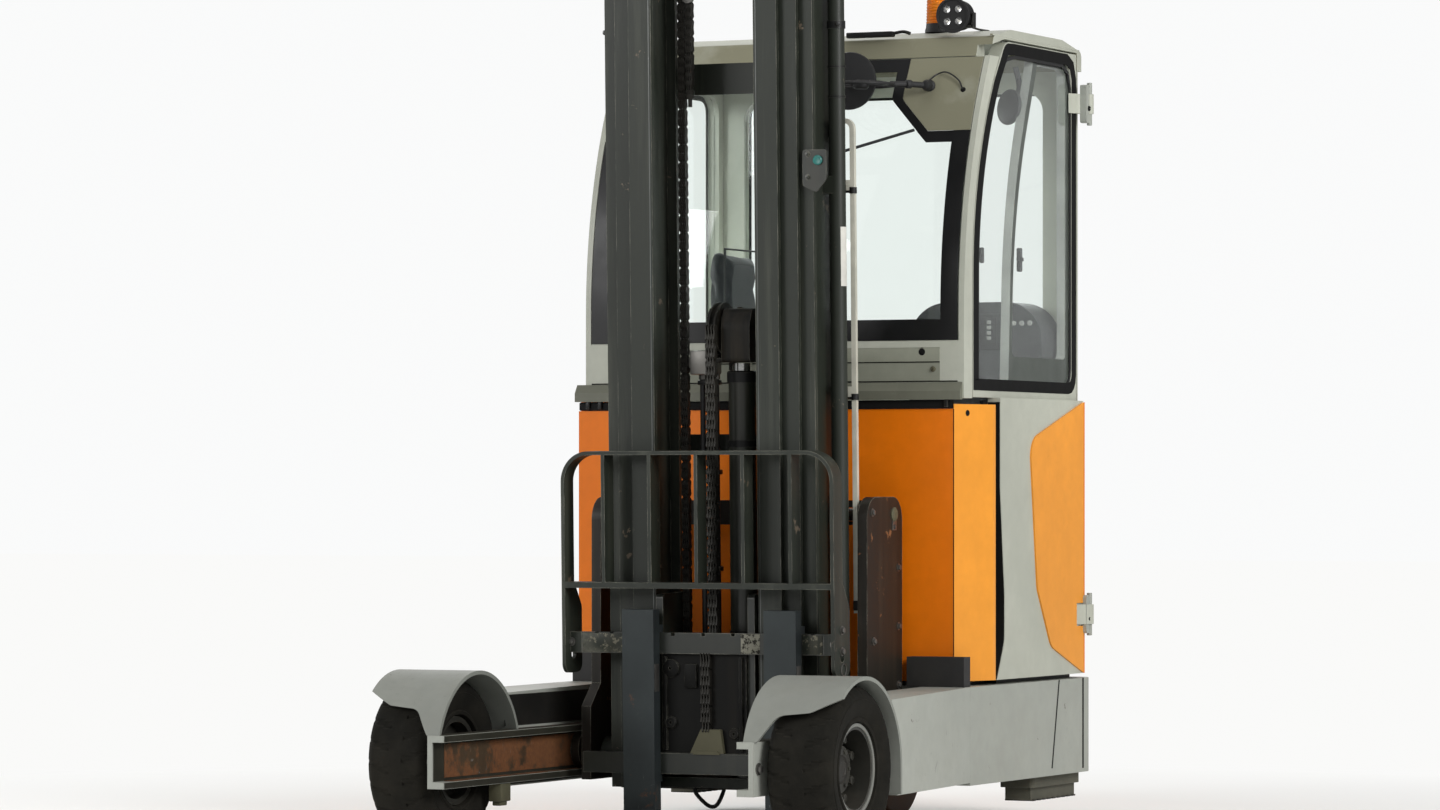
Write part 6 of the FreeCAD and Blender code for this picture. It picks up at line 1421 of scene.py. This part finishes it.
class TRUCK_OT_controls(bpy.types.Operator):
    """Display, buttons, lift levers, steering knob and pedals"""
    bl_idname = "truck.controls"
    bl_label = "Controls"

    def execute(self, context):
        display = Shape()
        display.block((250, 1942, 1420), (430, 1951, 1530), 4)
        display.block((262, 1939, 1432), (418, 1943, 1518), 1)
        display.made("display_housing", "black plastic")
        pane = Shape()
        pane.block((268, 1938.2, 1450), (380, 1939.4, 1512), 0.5)
        pane.made("display_pane", "screen print")
        keys = Shape()
        for i in range(4):
            keys.block((386, 1936.5, 1450 + i * 16), (400, 1939.6, 1461 + i * 16), 1.5)
        for i in range(3):
            keys.disc((470 + i * 26, 1949, 1500), REAR, 8, 6, 1.5, 20)
        keys.made("keys", "grey plastic")
        levers = Shape()
        for i in range(3):
            x = 210 + i * 44
            levers.tube([(x, 1620, 1118), (x, 1612, 1150), (x - 3, 1604, 1186)], 4.5, 10)
            levers.turned((x - 3, 1602, 1184), (0, -0.2, 1), [(0, 8), (6, 12), (18, 13), (26, 9),
                                                              (30, 0), (0, 0)], 20)
        levers.turned((380, 1690, 1180), UP, [(0, 9), (4, 12), (26, 12), (38, 15),
                                              (44, 12), (47, 0), (0, 0)], 24)
        levers.made("levers", "black plastic")
        pedals = Shape()
        for x in (-140, -10, 120):
            pedals.block((x - 40, 1600, 476), (x + 40, 1690, 490), 5)
            for i in range(5):
                pedals.block((x - 34, 1608 + i * 16, 489), (x + 34, 1615 + i * 16, 493), 1.5)
            pedals.block((x - 10, 1640, 463), (x + 10, 1680, 478), 2)
        pedals.made("pedals", "pad rubber")
        round_disc = Shape()
        round_disc.disc((192, 1352, 2203), (0, -1, 0.05), 86, 16, 6, 48)
        round_disc.tube([(192, 1362, 2262), (192, 1366, 2240), (192, 1360, 2212)], 7, 8)
        round_disc.made("front_disc", "black plastic")
        inner = Shape()
        inner.disc((540, 1740, 2140), (-0.5, -0.85, 0.1), 54, 14, 5, 40)
        inner.tube([(548, 1770, 2262), (556, 1780, 2200), (546, 1752, 2145)], 9, 10)
        inner.made("inner_mirror", "black plastic")
        glass = Shape()
        glass.disc((536.2, 1733.5, 2140.7), (-0.5, -0.85, 0.1), 47, 2, 0.5, 40)
        glass.made("inner_mirror_glass", "screen print")
        lining = Shape()
        lining.block((-560, 1232, 1420), (560, 1262, 1466), 6)
        lining.made("dash_lining", "dark trim")
        return {"FINISHED"}


# ---------------------------------------------------------------- lamps
class TRUCK_OT_lamps(bpy.types.Operator):
    """Beacon, work light and the round wire guard on its ball arm"""
    bl_idname = "truck.lamps"
    bl_label = "Lamps"

    def execute(self, context):
        lens = Shape()
        profile = [(16, 0), (16, 37)]
        for i in range(10):
            z = 26 + i * 9
            profile += [(z, 37.5 - i * 0.25), (z + 4.5, 39 - i * 0.25)]
        profile += [(118, 36), (128, 30), (134, 18), (136, 0)]
        lens.turned((375, 1600, 2357), UP, profile, 48)
        piece = lens.made("beacon_lens", "amber lens", smooth=0.4)
        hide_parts("beacon")
        base = Shape()
        base.turned((375, 1600, 2357), UP,
                    [(0.2, 0), (0.2, 42), (8, 42), (14, 40), (24, 38.6), (27, 38.6), (27, 36),
                     (18, 34), (18, 0)], 48)
        base.made("beacon_base", "black plastic", smooth=0.4)
        bulb = Shape()
        bulb.turned((375, 1600, 2375), UP,
                    [(0, 0), (0, 12), (20, 12), (24, 18), (58, 20), (70, 14), (74, 0)], 24)
        bulb.made("beacon_reflector", "lamp silver")

        housing = Shape()
        aim = Vector((0, -1, -0.05)).normalized()
        centre = Vector((490, 1450, 2394))
        profile = [(-46, 0), (-46, 30)]
        for i in range(5):
            along = -40 + i * 11
            profile += [(along, 44 + i * 1.2), (along + 4, 44 + i * 1.2), (along + 4, 40),
                        (along + 8, 40)]
        profile += [(12, 50), (20, 53), (24, 52), (24, 46), (20, 45), (20, 0)]
        housing.turned(centre, aim, profile, 48)
        piece = housing.made("spotlight_housing", "black plastic",
                             smooth=0.4)
        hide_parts("spotlight")
        bracket = Shape()
        bracket.block((440, 1446, 2357.2), (540, 1484, 2363), 1.5)
        for x in (434, 542):
            bracket.block((x, 1450, 2358), (x + 4, 1474, 2402), 1)
            bracket.tube([(x + 2, 1462, 2396), (490, 1462, 2396)], 5, 10, 1)
        for x in (452, 528):
            hex_bolt(bracket, (x, 1470, 2363), UP, 7, 6, 10)
        bracket.tube([(500, 1490, 2372), (508, 1520, 2366), (514, 1570, 2361), (518, 1640, 2361)],
                     3.5, 8)
        bracket.made("spotlight_bracket", "black paint")
        leds = Shape()
        silver = Shape()
        side_way = aim.cross(Vector(UP)).normalized()
        up = side_way.cross(aim)
        for a in (-1, 1):
            for b in (-1, 1):
                place = centre + aim * 20 + side_way * 18 * a + up * 18 * b
                silver.turned(place, aim, [(-1, 11), (2, 11), (2, 8.5), (0, 4), (0, 0), (-1, 0)],
                              20)
                leds.turned(place, aim, [(0, 0), (0, 4), (1.5, 3.4), (2.4, 0)], 12)
        silver.made("spotlight_reflectors", "lamp silver")
        leds.made("spotlight_leds", "white label")

        cage = Shape()
        centre = Vector((270, 1258, 2183))
        for radius, z in ((103, 0), (82, 5), (58, 8), (34, 9)):
            cage.tube([centre + Vector((radius * math.cos(a * math.pi / 12),
                                        radius * math.sin(a * math.pi / 12), z))
                       for a in range(24)], 2.6 if radius < 100 else 4.5, 8, 1, True)
        for i in range(12):
            angle = math.pi * i / 6 + 0.1
            bend = angle + 0.35
            cage.tube([centre + Vector((103 * math.cos(angle), 103 * math.sin(angle), 0)),
                       centre + Vector((66 * math.cos(angle + 0.2), 66 * math.sin(angle + 0.2),
                                        8)),
                       centre + Vector((20 * math.cos(bend), 20 * math.sin(bend), 9))], 2.2, 6,
                      4)
        cage.turned(centre, UP, [(-12, 0), (-12, 18), (-6, 24), (12, 24), (14, 18),
                                 (14, 0)], 28)
        cage.tube([(362, 1262, 2183), (400, 1300, 2184), (440, 1352, 2183)], 9, 12)
        cage.disc((404, 1300, 2184), (0.6, 0.8, 0), 13, 18, 3, 20)
        cage.turned((440, 1352, 2183), REAR, [(-18, 0), (-14, 12), (0, 17), (12, 14),
                                              (16, 18), (22, 18), (22, 0)], 24)
        piece = cage.made("wire_guard", "black plastic")
        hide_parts("guarded_lamp")
        cable = Shape()
        cable.tube([(446, 1352, 2196), (458, cab_front(2216) - 10, 2216),
                    (490, cab_front(2220) - 12, 2222), (530, cab_front(2196) - 8, 2198),
                    (547, cab_front(2168) - 2, 2170)], 2.4, 8)
        cable.made("guard_cable", "hose rubber")
        return {"FINISHED"}


# ---------------------------------------------------------------- mast
def chain(shape, x, y, low, high, width, pitch):
    """An upright leaf chain of link plates and pins, drawn in mm."""
    count = max(2, round((high - low) / pitch))
    step = (high - low) / count
    reach = pitch * 0.46

    def link(offset, z, thick):
        outline = [(y - reach, z - reach * 0.4), (y - reach * 0.4, z - reach),
                   (y + reach * 0.4, z - reach), (y + reach, z - reach * 0.4),
                   (y + reach * 0.7, z + step / 2), (y + reach, z + step + reach * 0.4),
                   (y + reach * 0.4, z + step + reach), (y - reach * 0.4, z + step + reach),
                   (y - reach, z + step + reach * 0.4), (y - reach * 0.7, z + step / 2)]
        shape.plate(outline, "X", x + offset - thick / 2, x + offset + thick / 2)
    for i in range(count):
        places = (-0.43, -0.15, 0.15, 0.43) if i % 2 else (-0.29, 0.0, 0.29)
        for place in places:
            link(place * width, low + i * step, width * 0.12)
    for i in range(count + 1):
        shape.disc((x, y, low + i * step), ACROSS, pitch * 0.2, width, 0, 8)
    return shape


def sheave(shape, x, y, z, radius, width):
    """A grooved wheel on a pin."""
    shape.turned((x, y, z), ACROSS,
                 [(-width * 0.5, radius * 0.3), (-width * 0.5, radius),
                  (-width * 0.32, radius), (-width * 0.3, radius * 0.86),
                  (width * 0.3, radius * 0.86), (width * 0.32, radius), (width * 0.5, radius),
                  (width * 0.5, radius * 0.3)], 40)
    shape.disc((x, y, z), ACROSS, radius * 0.29, width * 1.08, 1, 20)
    return shape


class TRUCK_OT_chains(bpy.types.Operator):
    """Free lift chain, main lift chains, their sheaves and anchors"""
    bl_idname = "truck.chains"
    bl_label = "Chains"

    def execute(self, context):
        pitch = context.scene.truck_sizes.chain_pitch * 1600
        steel = "chain steel"
        piece = chain(Shape(), 10, 804, 332, 1462, 30, pitch).made(
            "free_chain_front", steel, "lift_head", 0.5)
        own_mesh(piece)
        piece = chain(Shape(), 10, 954, 424, 1462, 24, pitch * 0.5).made(
            "free_chain_rear", steel, "mast_inner", 0.5)
        free(piece)
        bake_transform(piece)
        wheel = sheave(Shape(), 10, 880, 1462, 76, 24)
        for x in (-20, 122):
            hex_bolt(wheel, (x, 880, 1462), (1 if x > 0 else -1, 0, 0), 13, 5, 18)
        # The sheave and head take the near-black recess paint, which is painted shade inside the
        # mast.
        wheel.made("free_lift_sheave", "recess shade paint", "lift_head")
        head = Shape()
        head.plate(rounded([(824, 1364), (946, 1364), (946, 1470), (925, 1520), (845, 1520),
                            (824, 1470)], 14, 4), "X", 32, 122, 5)
        for x in (-20, 26):
            head.plate(rounded([(838, 1372), (930, 1372), (930, 1490), (904, 1522), (860, 1522),
                                (838, 1490)], 12, 4), "X", x, x + 6, 1.5)
        head.block((-20, 850, 1364), (40, 920, 1378), 3)
        head.disc((62, 905, 800), UP, 26.8, 1124, 1, 40)
        head.disc((78, 860, 1521), UP, 9, 6, 1.5, 6)
        piece = head.made("free_lift_head", "recess shade paint", "lift_head")
        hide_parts("lift_head")
        for name, side in (("left", 1), ("right", -1)):
            x = 121 * side
            piece = chain(Shape(), x, 905, 350, 2700, 22, pitch).made(
                "main_chain_" + name, steel, "mast_middle", 0.5)
            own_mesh(piece)
            top = sheave(Shape(), x, 942, 2700, 38, 22)
            top.block((x - 16, 946, 2684), (x - 12, 981, 2750), 1)
            top.block((x + 12, 946, 2684), (x + 16, 981, 2750), 1)
            top.made("main_sheave_" + name, "black paint", "mast_middle")
            foot = Shape()
            foot.disc((x, 905, 318), UP, 8, 60, 1, 16)
            foot.block((x - 11, 892, 322), (x + 11, 918, 340), 3)
            foot.block((x - 12, 895, 296), (x + 12, 962, 306), 2)
            foot.made("main_anchor_" + name, "bolt steel", "mast_inner")
        stay = chain(Shape(), -97, 905, 2150, 2520, 20, pitch)
        stay.block((-108, 896, 2128), (-86, 914, 2154), 3)
        stay.disc((-97, 905, 2120), UP, 6, 30, 1, 16)
        stay.made("stay_chain", steel, "mast_inner", 0.5)
        hook = Shape()
        hook.turned((-97, 896, 2424), REAR, [(-4, 9), (-4, 19), (4, 19), (4, 9)], 24)
        hook.block((-108, 898, 2516), (-86, 975, 2546), 4)
        hook.made("stay_hook", "bolt steel", "mast_inner")
        anchor = Shape()
        anchor.disc((10, 804, 300), UP, 8, 66, 1, 16)
        anchor.block((-8, 794, 306), (28, 814, 322), 3)
        hex_bolt(anchor, (10, 804, 276), (0, 0, -1), 13, 10)
        anchor.made("free_chain_anchor", "bolt steel", "fork_carriage")
        return {"FINISHED"}


def free(piece):
    """Lets a piece go from its body and keeps its place."""
    place = piece.matrix_world.copy()
    piece.parent = None
    piece.matrix_world = place


class TRUCK_OT_mast_details(bpy.types.Operator):
    """Bolts, cylinder glands, hoses, sensor, bare label and pipe clamps on the mast"""
    bl_idname = "truck.mast_details"
    bl_label = "Mast details"

    def execute(self, context):
        glands = Shape()
        for side in (1, -1):
            x = 354 * side
            for low, high, radius in ((2576, 2601, 27), (2318, 2340, 27), (2206, 2212, 26),
                                      (2120, 2126, 26), (292, 322, 27)):
                glands.turned((x, 934, 0), UP, [(low, 23.5), (low, radius),
                                                (high, radius), (high, 23.5)], 40)
            hex_bolt(glands, (x + 14 * side, 912, 2330), (0.6 * side, -0.8, 0), 7, 10)
        glands.made("cylinder_glands", "black paint", "mast_outer")
        label = Shape()
        rows = []
        for i in range(9):
            angle = math.radians(-48 + i * 8)
            rows.append([(354 + 24.6 * math.cos(angle), 934 + 24.6 * math.sin(angle), z)
                         for z in (1580, 1750)])
        skin(label, rows, (0.3, -0.3, 0))
        label.made("bare_label", "white label", "mast_outer")

        sensor = Shape()
        sensor.plate(rounded([(302, 1866), (345, 1846), (376, 1885), (376, 1968), (302, 1968)],
                             8, 4), "Y", 806, 814, 1.5)
        sensor.block((318, 812, 1880), (340, 822, 1950), 2)
        for z in (1890, 1955):
            hex_bolt(sensor, (318, 806, z), FRONT, 6, 4, 8)
        sensor.made("sensor_bracket", "greasy paint", "mast_outer")
        eye = Shape()
        eye.turned((350, 806, 1938), FRONT, [(0, 0), (0, 14), (5, 14), (7, 12), (6, 10),
                                             (6, 0)], 32)
        eye.made("sensor_face", "teal sensor", "mast_outer")

        bolts = Shape()
        for z in (322, 398):
            for x in (-250, -150, 150, 250):
                hex_bolt(bolts, (x, 1015, z), REAR, 9, 7, 13)
        for z in (2160, 2218):
            for x in (-230, 230):
                hex_bolt(bolts, (x, 1015, z), REAR, 9, 7, 13)
        for side in (1, -1):
            for z in (560, 1040, 1520, 2000):
                dome_bolt(bolts, (329 * side, 935, z), (side, 0, 0), 10)
        bolts.made("outer_mast_bolts", "bolt steel", "mast_outer")
        bolts = Shape()
        for z in (2745, 2775):
            for x in (-200, -60, 60, 200):
                dome_bolt(bolts, (x, 995, z), REAR, 8)
        bolts.made("middle_mast_bolts", "bolt steel", "mast_middle")

        wear = Shape()
        for side in (1, -1):
            wear.side_block(side, (168, 779.3, 140), (171, 780.6, 2785))
        wear.made("inner_rail_wear", "rail steel", "mast_inner")

        gland = Shape()
        gland.turned((62, 905, 0), UP, [(1306, 40), (1306, 45), (1336, 45), (1340, 41),
                                        (1340, 28)], 48)
        gland.turned((62, 905, 0), UP, [(560, 40), (560, 44), (590, 44), (590, 40)], 48)
        gland.turned((62, 905, 0), UP, [(1120, 40), (1120, 43.5), (1140, 43.5),
                                        (1140, 40)], 48)
        gland.made("free_lift_gland", "black paint", "mast_inner")
        rod = Shape()
        rod.turned((62, 905, 0), UP, [(1340.5, 20), (1340.5, 28.5), (1362, 28.5),
                                      (1362, 20)], 48)
        rod.made("free_lift_rod_face", "chrome", "lift_head")
        hoses = Shape()
        for i in range(3):
            x = -36 - i * 22
            hoses.tube([(x, 936, 1330), (x, 936, 900), (x, 936, 520), (x - 6, 940, 380),
                        (x - 16, 950, 300)], 8, 12, 6)
        hoses.made("lift_hoses", "hose rubber", "mast_inner")
        clips = Shape()
        for z in (480, 760, 1040, 1300):
            clips.block((-92, 924, z), (-24, 950, z + 14), 3)
            hex_bolt(clips, (-58, 924, z + 7), FRONT, 6, 4)
        clips.made("hose_clips", "black paint", "mast_inner")
        valve = Shape()
        valve.block((-96, 880, 1330), (-24, 950, 1400), 5)
        for i in range(3):
            valve.disc((-36 - i * 22, 936, 1326), UP, 11, 20, 2, 6)
        valve.block((-128, 906, 1350), (-96, 936, 1380), 3)
        valve.made("hose_block", "bolt steel", "mast_inner")
        marks = Shape()
        for z in (1262, 1855):
            marks.turned((388, 968, 0), UP, [(z - 9, 6.5), (z - 9, 11), (z + 9, 11),
                                             (z + 9, 6.5)], 24)
            marks.block((360, 962, z - 7), (384, 974, z + 7), 2)
        marks.turned((388, 968, 0), UP, [(648, 6), (648, 12), (676, 12), (676, 6)], 6)
        marks.made("pipe_clamps", "black paint", "mast_outer")
        return {"FINISHED"}


# ---------------------------------------------------------------- carriage and forks
def notched_copy(node, name, cutters, finish, body):
    """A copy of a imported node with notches, which stands in for it."""
    piece = NODES[node].copy()
    piece.data = NODES[node].data.copy()
    piece.name = name
    piece.parent = None
    bpy.context.scene.collection.objects.link(piece)
    tool = linked("cutter", cutters.data("cutter", True))
    cut = piece.modifiers.new("notches", "BOOLEAN")
    cut.operation = "DIFFERENCE"
    cut.solver = "EXACT"
    cut.object = tool
    select_only(piece)
    bpy.ops.object.modifier_apply(modifier=cut.name)
    bpy.data.objects.remove(tool)
    for key in list(piece.keys()):
        del piece[key]
    piece.data.materials.clear()
    piece.data.materials.append(MATERIALS[finish])
    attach(piece, body)
    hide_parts(node)
    return piece


class TRUCK_OT_carriage_details(bpy.types.Operator):
    """Notched upper bar, worn patches, a near-black sheet of painted shade in the recess, chain
    bracket and guard eyes
    """
    bl_idname = "truck.carriage_details"
    bl_label = "Fork carriage details"

    def execute(self, context):
        notches = Shape()
        for x in (-335, -287, -91, 5, 99, 328, 350):
            notches.block((x - 6, 735, 580), (x + 6, 775, 600))
        piece = notched_copy("fork_carriage", "notched_carriage", notches,
                             "greasy paint", "fork_carriage")
        patch = Shape()
        patch.block((124, 740.2, 531), (184, 741.2, 588), 0.3)
        patch.made("chipped_patch", "chipped white", "fork_carriage")
        worn = Shape()
        worn.block((-380, 740.3, 531), (-236, 741.1, 586), 0.3)
        worn.block((318, 739.5, 531), (380, 741.2, 586), 5)
        worn.made("worn_patches", "scraped paint", "fork_carriage")
        # A near-black sheet with bosses and ribs paints the shade in the carriage's recess.
        recess = Shape()
        recess.block((-133, 755.4, 243), (133, 756.8, 528))
        for x, z, r in ((-104, 486, 26), (-104, 330, 18), (96, 300, 16)):
            recess.turned((x, 755.5, z), FRONT, [(0, 4), (0, r), (6, r), (9, r * 0.8),
                                                 (9, 4)], 32)
        recess.block((-60, 746, 430), (-20, 756, 500), 4)
        recess.block((-126, 748, 250), (-116, 756, 520), 3)
        recess.block((112, 748, 250), (124, 756, 520), 3)
        recess.made("recess_shade_sheet", "recess shade paint", "fork_carriage")
        links = chain(Shape(), 10, 749, 312, 524, 30, 25)
        links.made("lower_chain", "chain steel", "fork_carriage", 0.5)
        bracket = Shape()
        bracket.plate([(-40, 243), (66, 243), (56, 312), (-6, 312)], "Y", 741, 768, 3)
        bracket.plate([(-30, 240), (56, 240), (48, 250), (-22, 250)], "Y", 735, 742, 2)
        bracket.made("chain_bracket", "bracket steel", "fork_carriage")
        eyes = Shape()
        for side in (1, -1):
            low = 419 * side
            eyes.turned((431.2 * side, 769, 487), (side, 0, 0), [(-1, 15), (-1, 19), (2, 19),
                                                                 (3, 17), (2, 15)], 32)
            for z in (540, 600):
                hex_bolt(eyes, (431 * side, 760, z), (side, 0, 0), 9, 7, 13)
            hex_bolt(eyes, (low * 0.995, 741, 560), FRONT, 9, 7, 13)
        eyes.made("guard_eyes", "bolt steel", "fork_carriage")
        return {"FINISHED"}


class TRUCK_OT_fork_details(bpy.types.Operator):
    """Worn soles and bare plates of the forks"""
    bl_idname = "truck.fork_details"
    bl_label = "Fork details"

    def execute(self, context):
        for name, x in (("left", 264), ("right", -184)):
            sole = Shape()
            sole.block((x - 48, -330, 30.2 - 1.2), (x + 48, 560, 30.4), 0.2)
            sole.made("fork_sole_" + name, "rail steel", "fork_carriage")
            stamp = Shape()
            stamp.block((x + 49.4, 706, 420), (x + 50.8, 736, 500), 0.4)
            stamp.made("fork_plate_" + name, "bolt steel", "fork_carriage")
        return {"FINISHED"}


# ---------------------------------------------------------------- reach frame
class TRUCK_OT_reach_details(bpy.types.Operator):
    """Pin heads, keeper plates, roller caps and bolts of the reach frame"""
    bl_idname = "truck.reach_details"
    bl_label = "Reach frame details"

    def execute(self, context):
        pins = Shape()
        plates = Shape()
        for side in (1, -1):
            x = 440 * side
            pins.turned((x, 1106, 924), (side, 0, 0),
                        [(-1, 21), (3, 21), (6, 16.8), (7, 6.3), (5, 0), (-1, 0)], 32)
            plates.side_block(side, (440, 1092, 878), (443, 1120, 906), 1)
            hex_bolt(plates, (443 * side, 1106, 888), (side, 0, 0), 6, 4)
            for y, z in ((1140, 430), (1140, 600), (1140, 770), (950, 930), (960, 560)):
                hex_bolt(plates, (x, y, z), (side, 0, 0), 8, 6, 12)
            for y in (905, 1110):
                pins.disc((446 * side, y, 235.4), (side, 0, 0), 20, 6, 2, 24)
        for x in (-300, -100, 100, 300):
            for z in (150, 215):
                hex_bolt(plates, (x, 1050, z), FRONT, 9, 7, 13)
        pins.made("tower_pins", "bracket steel", "reach_carriage")
        plates.made("tower_bolts", "bolt steel", "reach_carriage")
        glands = Shape()
        for side in (1, -1):
            glands.turned((366 * side, 1048, 924), FRONT, [(-18, 27), (-18, 30), (0, 30),
                                                           (4, 26), (4, 17), (-4, 17)], 32)
            glands.disc((366 * side, 1090, 955), UP, 9, 12, 2, 6)
        glands.made("tilt_glands", "bolt steel", "reach_carriage")
        cable = Shape()
        cable.tube([(-172, 1060, 132), (-160, 1030, 112), (-130, 1004, 92), (-100, 1000, 72),
                    (-88, 1024, 74), (-86, 1060, 104), (-86, 1080, 134)], 6, 10)
        cable.made("frame_cable", "hose rubber", "reach_carriage")
        return {"FINISHED"}


# ---------------------------------------------------------------- panel and running
class TRUCK_PT_sidebar(bpy.types.Panel):
    """Lists the truck's settings and the operators that build it"""
    bl_idname = "TRUCK_PT_sidebar"
    bl_label = "Reach truck"
    bl_space_type = "VIEW_3D"
    bl_region_type = "UI"
    bl_category = "Reach truck"

    def draw(self, context):
        column = self.layout.column()
        for group in (context.scene.truck_colours, context.scene.truck_sizes):
            for name in group.__annotations__:
                column.prop(group, name)
        for operator in OPERATORS:
            column.operator(operator.bl_idname)


OPERATORS = (
    TRUCK_OT_finishes, TRUCK_OT_load_wheels, TRUCK_OT_drive_wheel, TRUCK_OT_chassis_details,
    TRUCK_OT_body_details, TRUCK_OT_cab_details, TRUCK_OT_door_details, TRUCK_OT_seat,
    TRUCK_OT_controls, TRUCK_OT_lamps, TRUCK_OT_chains, TRUCK_OT_mast_details,
    TRUCK_OT_carriage_details, TRUCK_OT_fork_details, TRUCK_OT_reach_details, TRUCK_OT_stage)
CLASSES = (TruckColours, TruckSizes, *OPERATORS, TRUCK_PT_sidebar)


def register():
    for entry in CLASSES:
        bpy.utils.register_class(entry)
    bpy.types.Scene.truck_colours = PointerProperty(type=TruckColours)
    bpy.types.Scene.truck_sizes = PointerProperty(type=TruckSizes)


def unregister():
    del bpy.types.Scene.truck_sizes
    del bpy.types.Scene.truck_colours
    for entry in reversed(CLASSES):
        bpy.utils.unregister_class(entry)


def main():
    """Builds everything in order."""
    register()
    for operator in OPERATORS:
        group, name = operator.bl_idname.split(".")
        getattr(getattr(bpy.ops, group), name)()


if __name__ == "__main__":
    main()
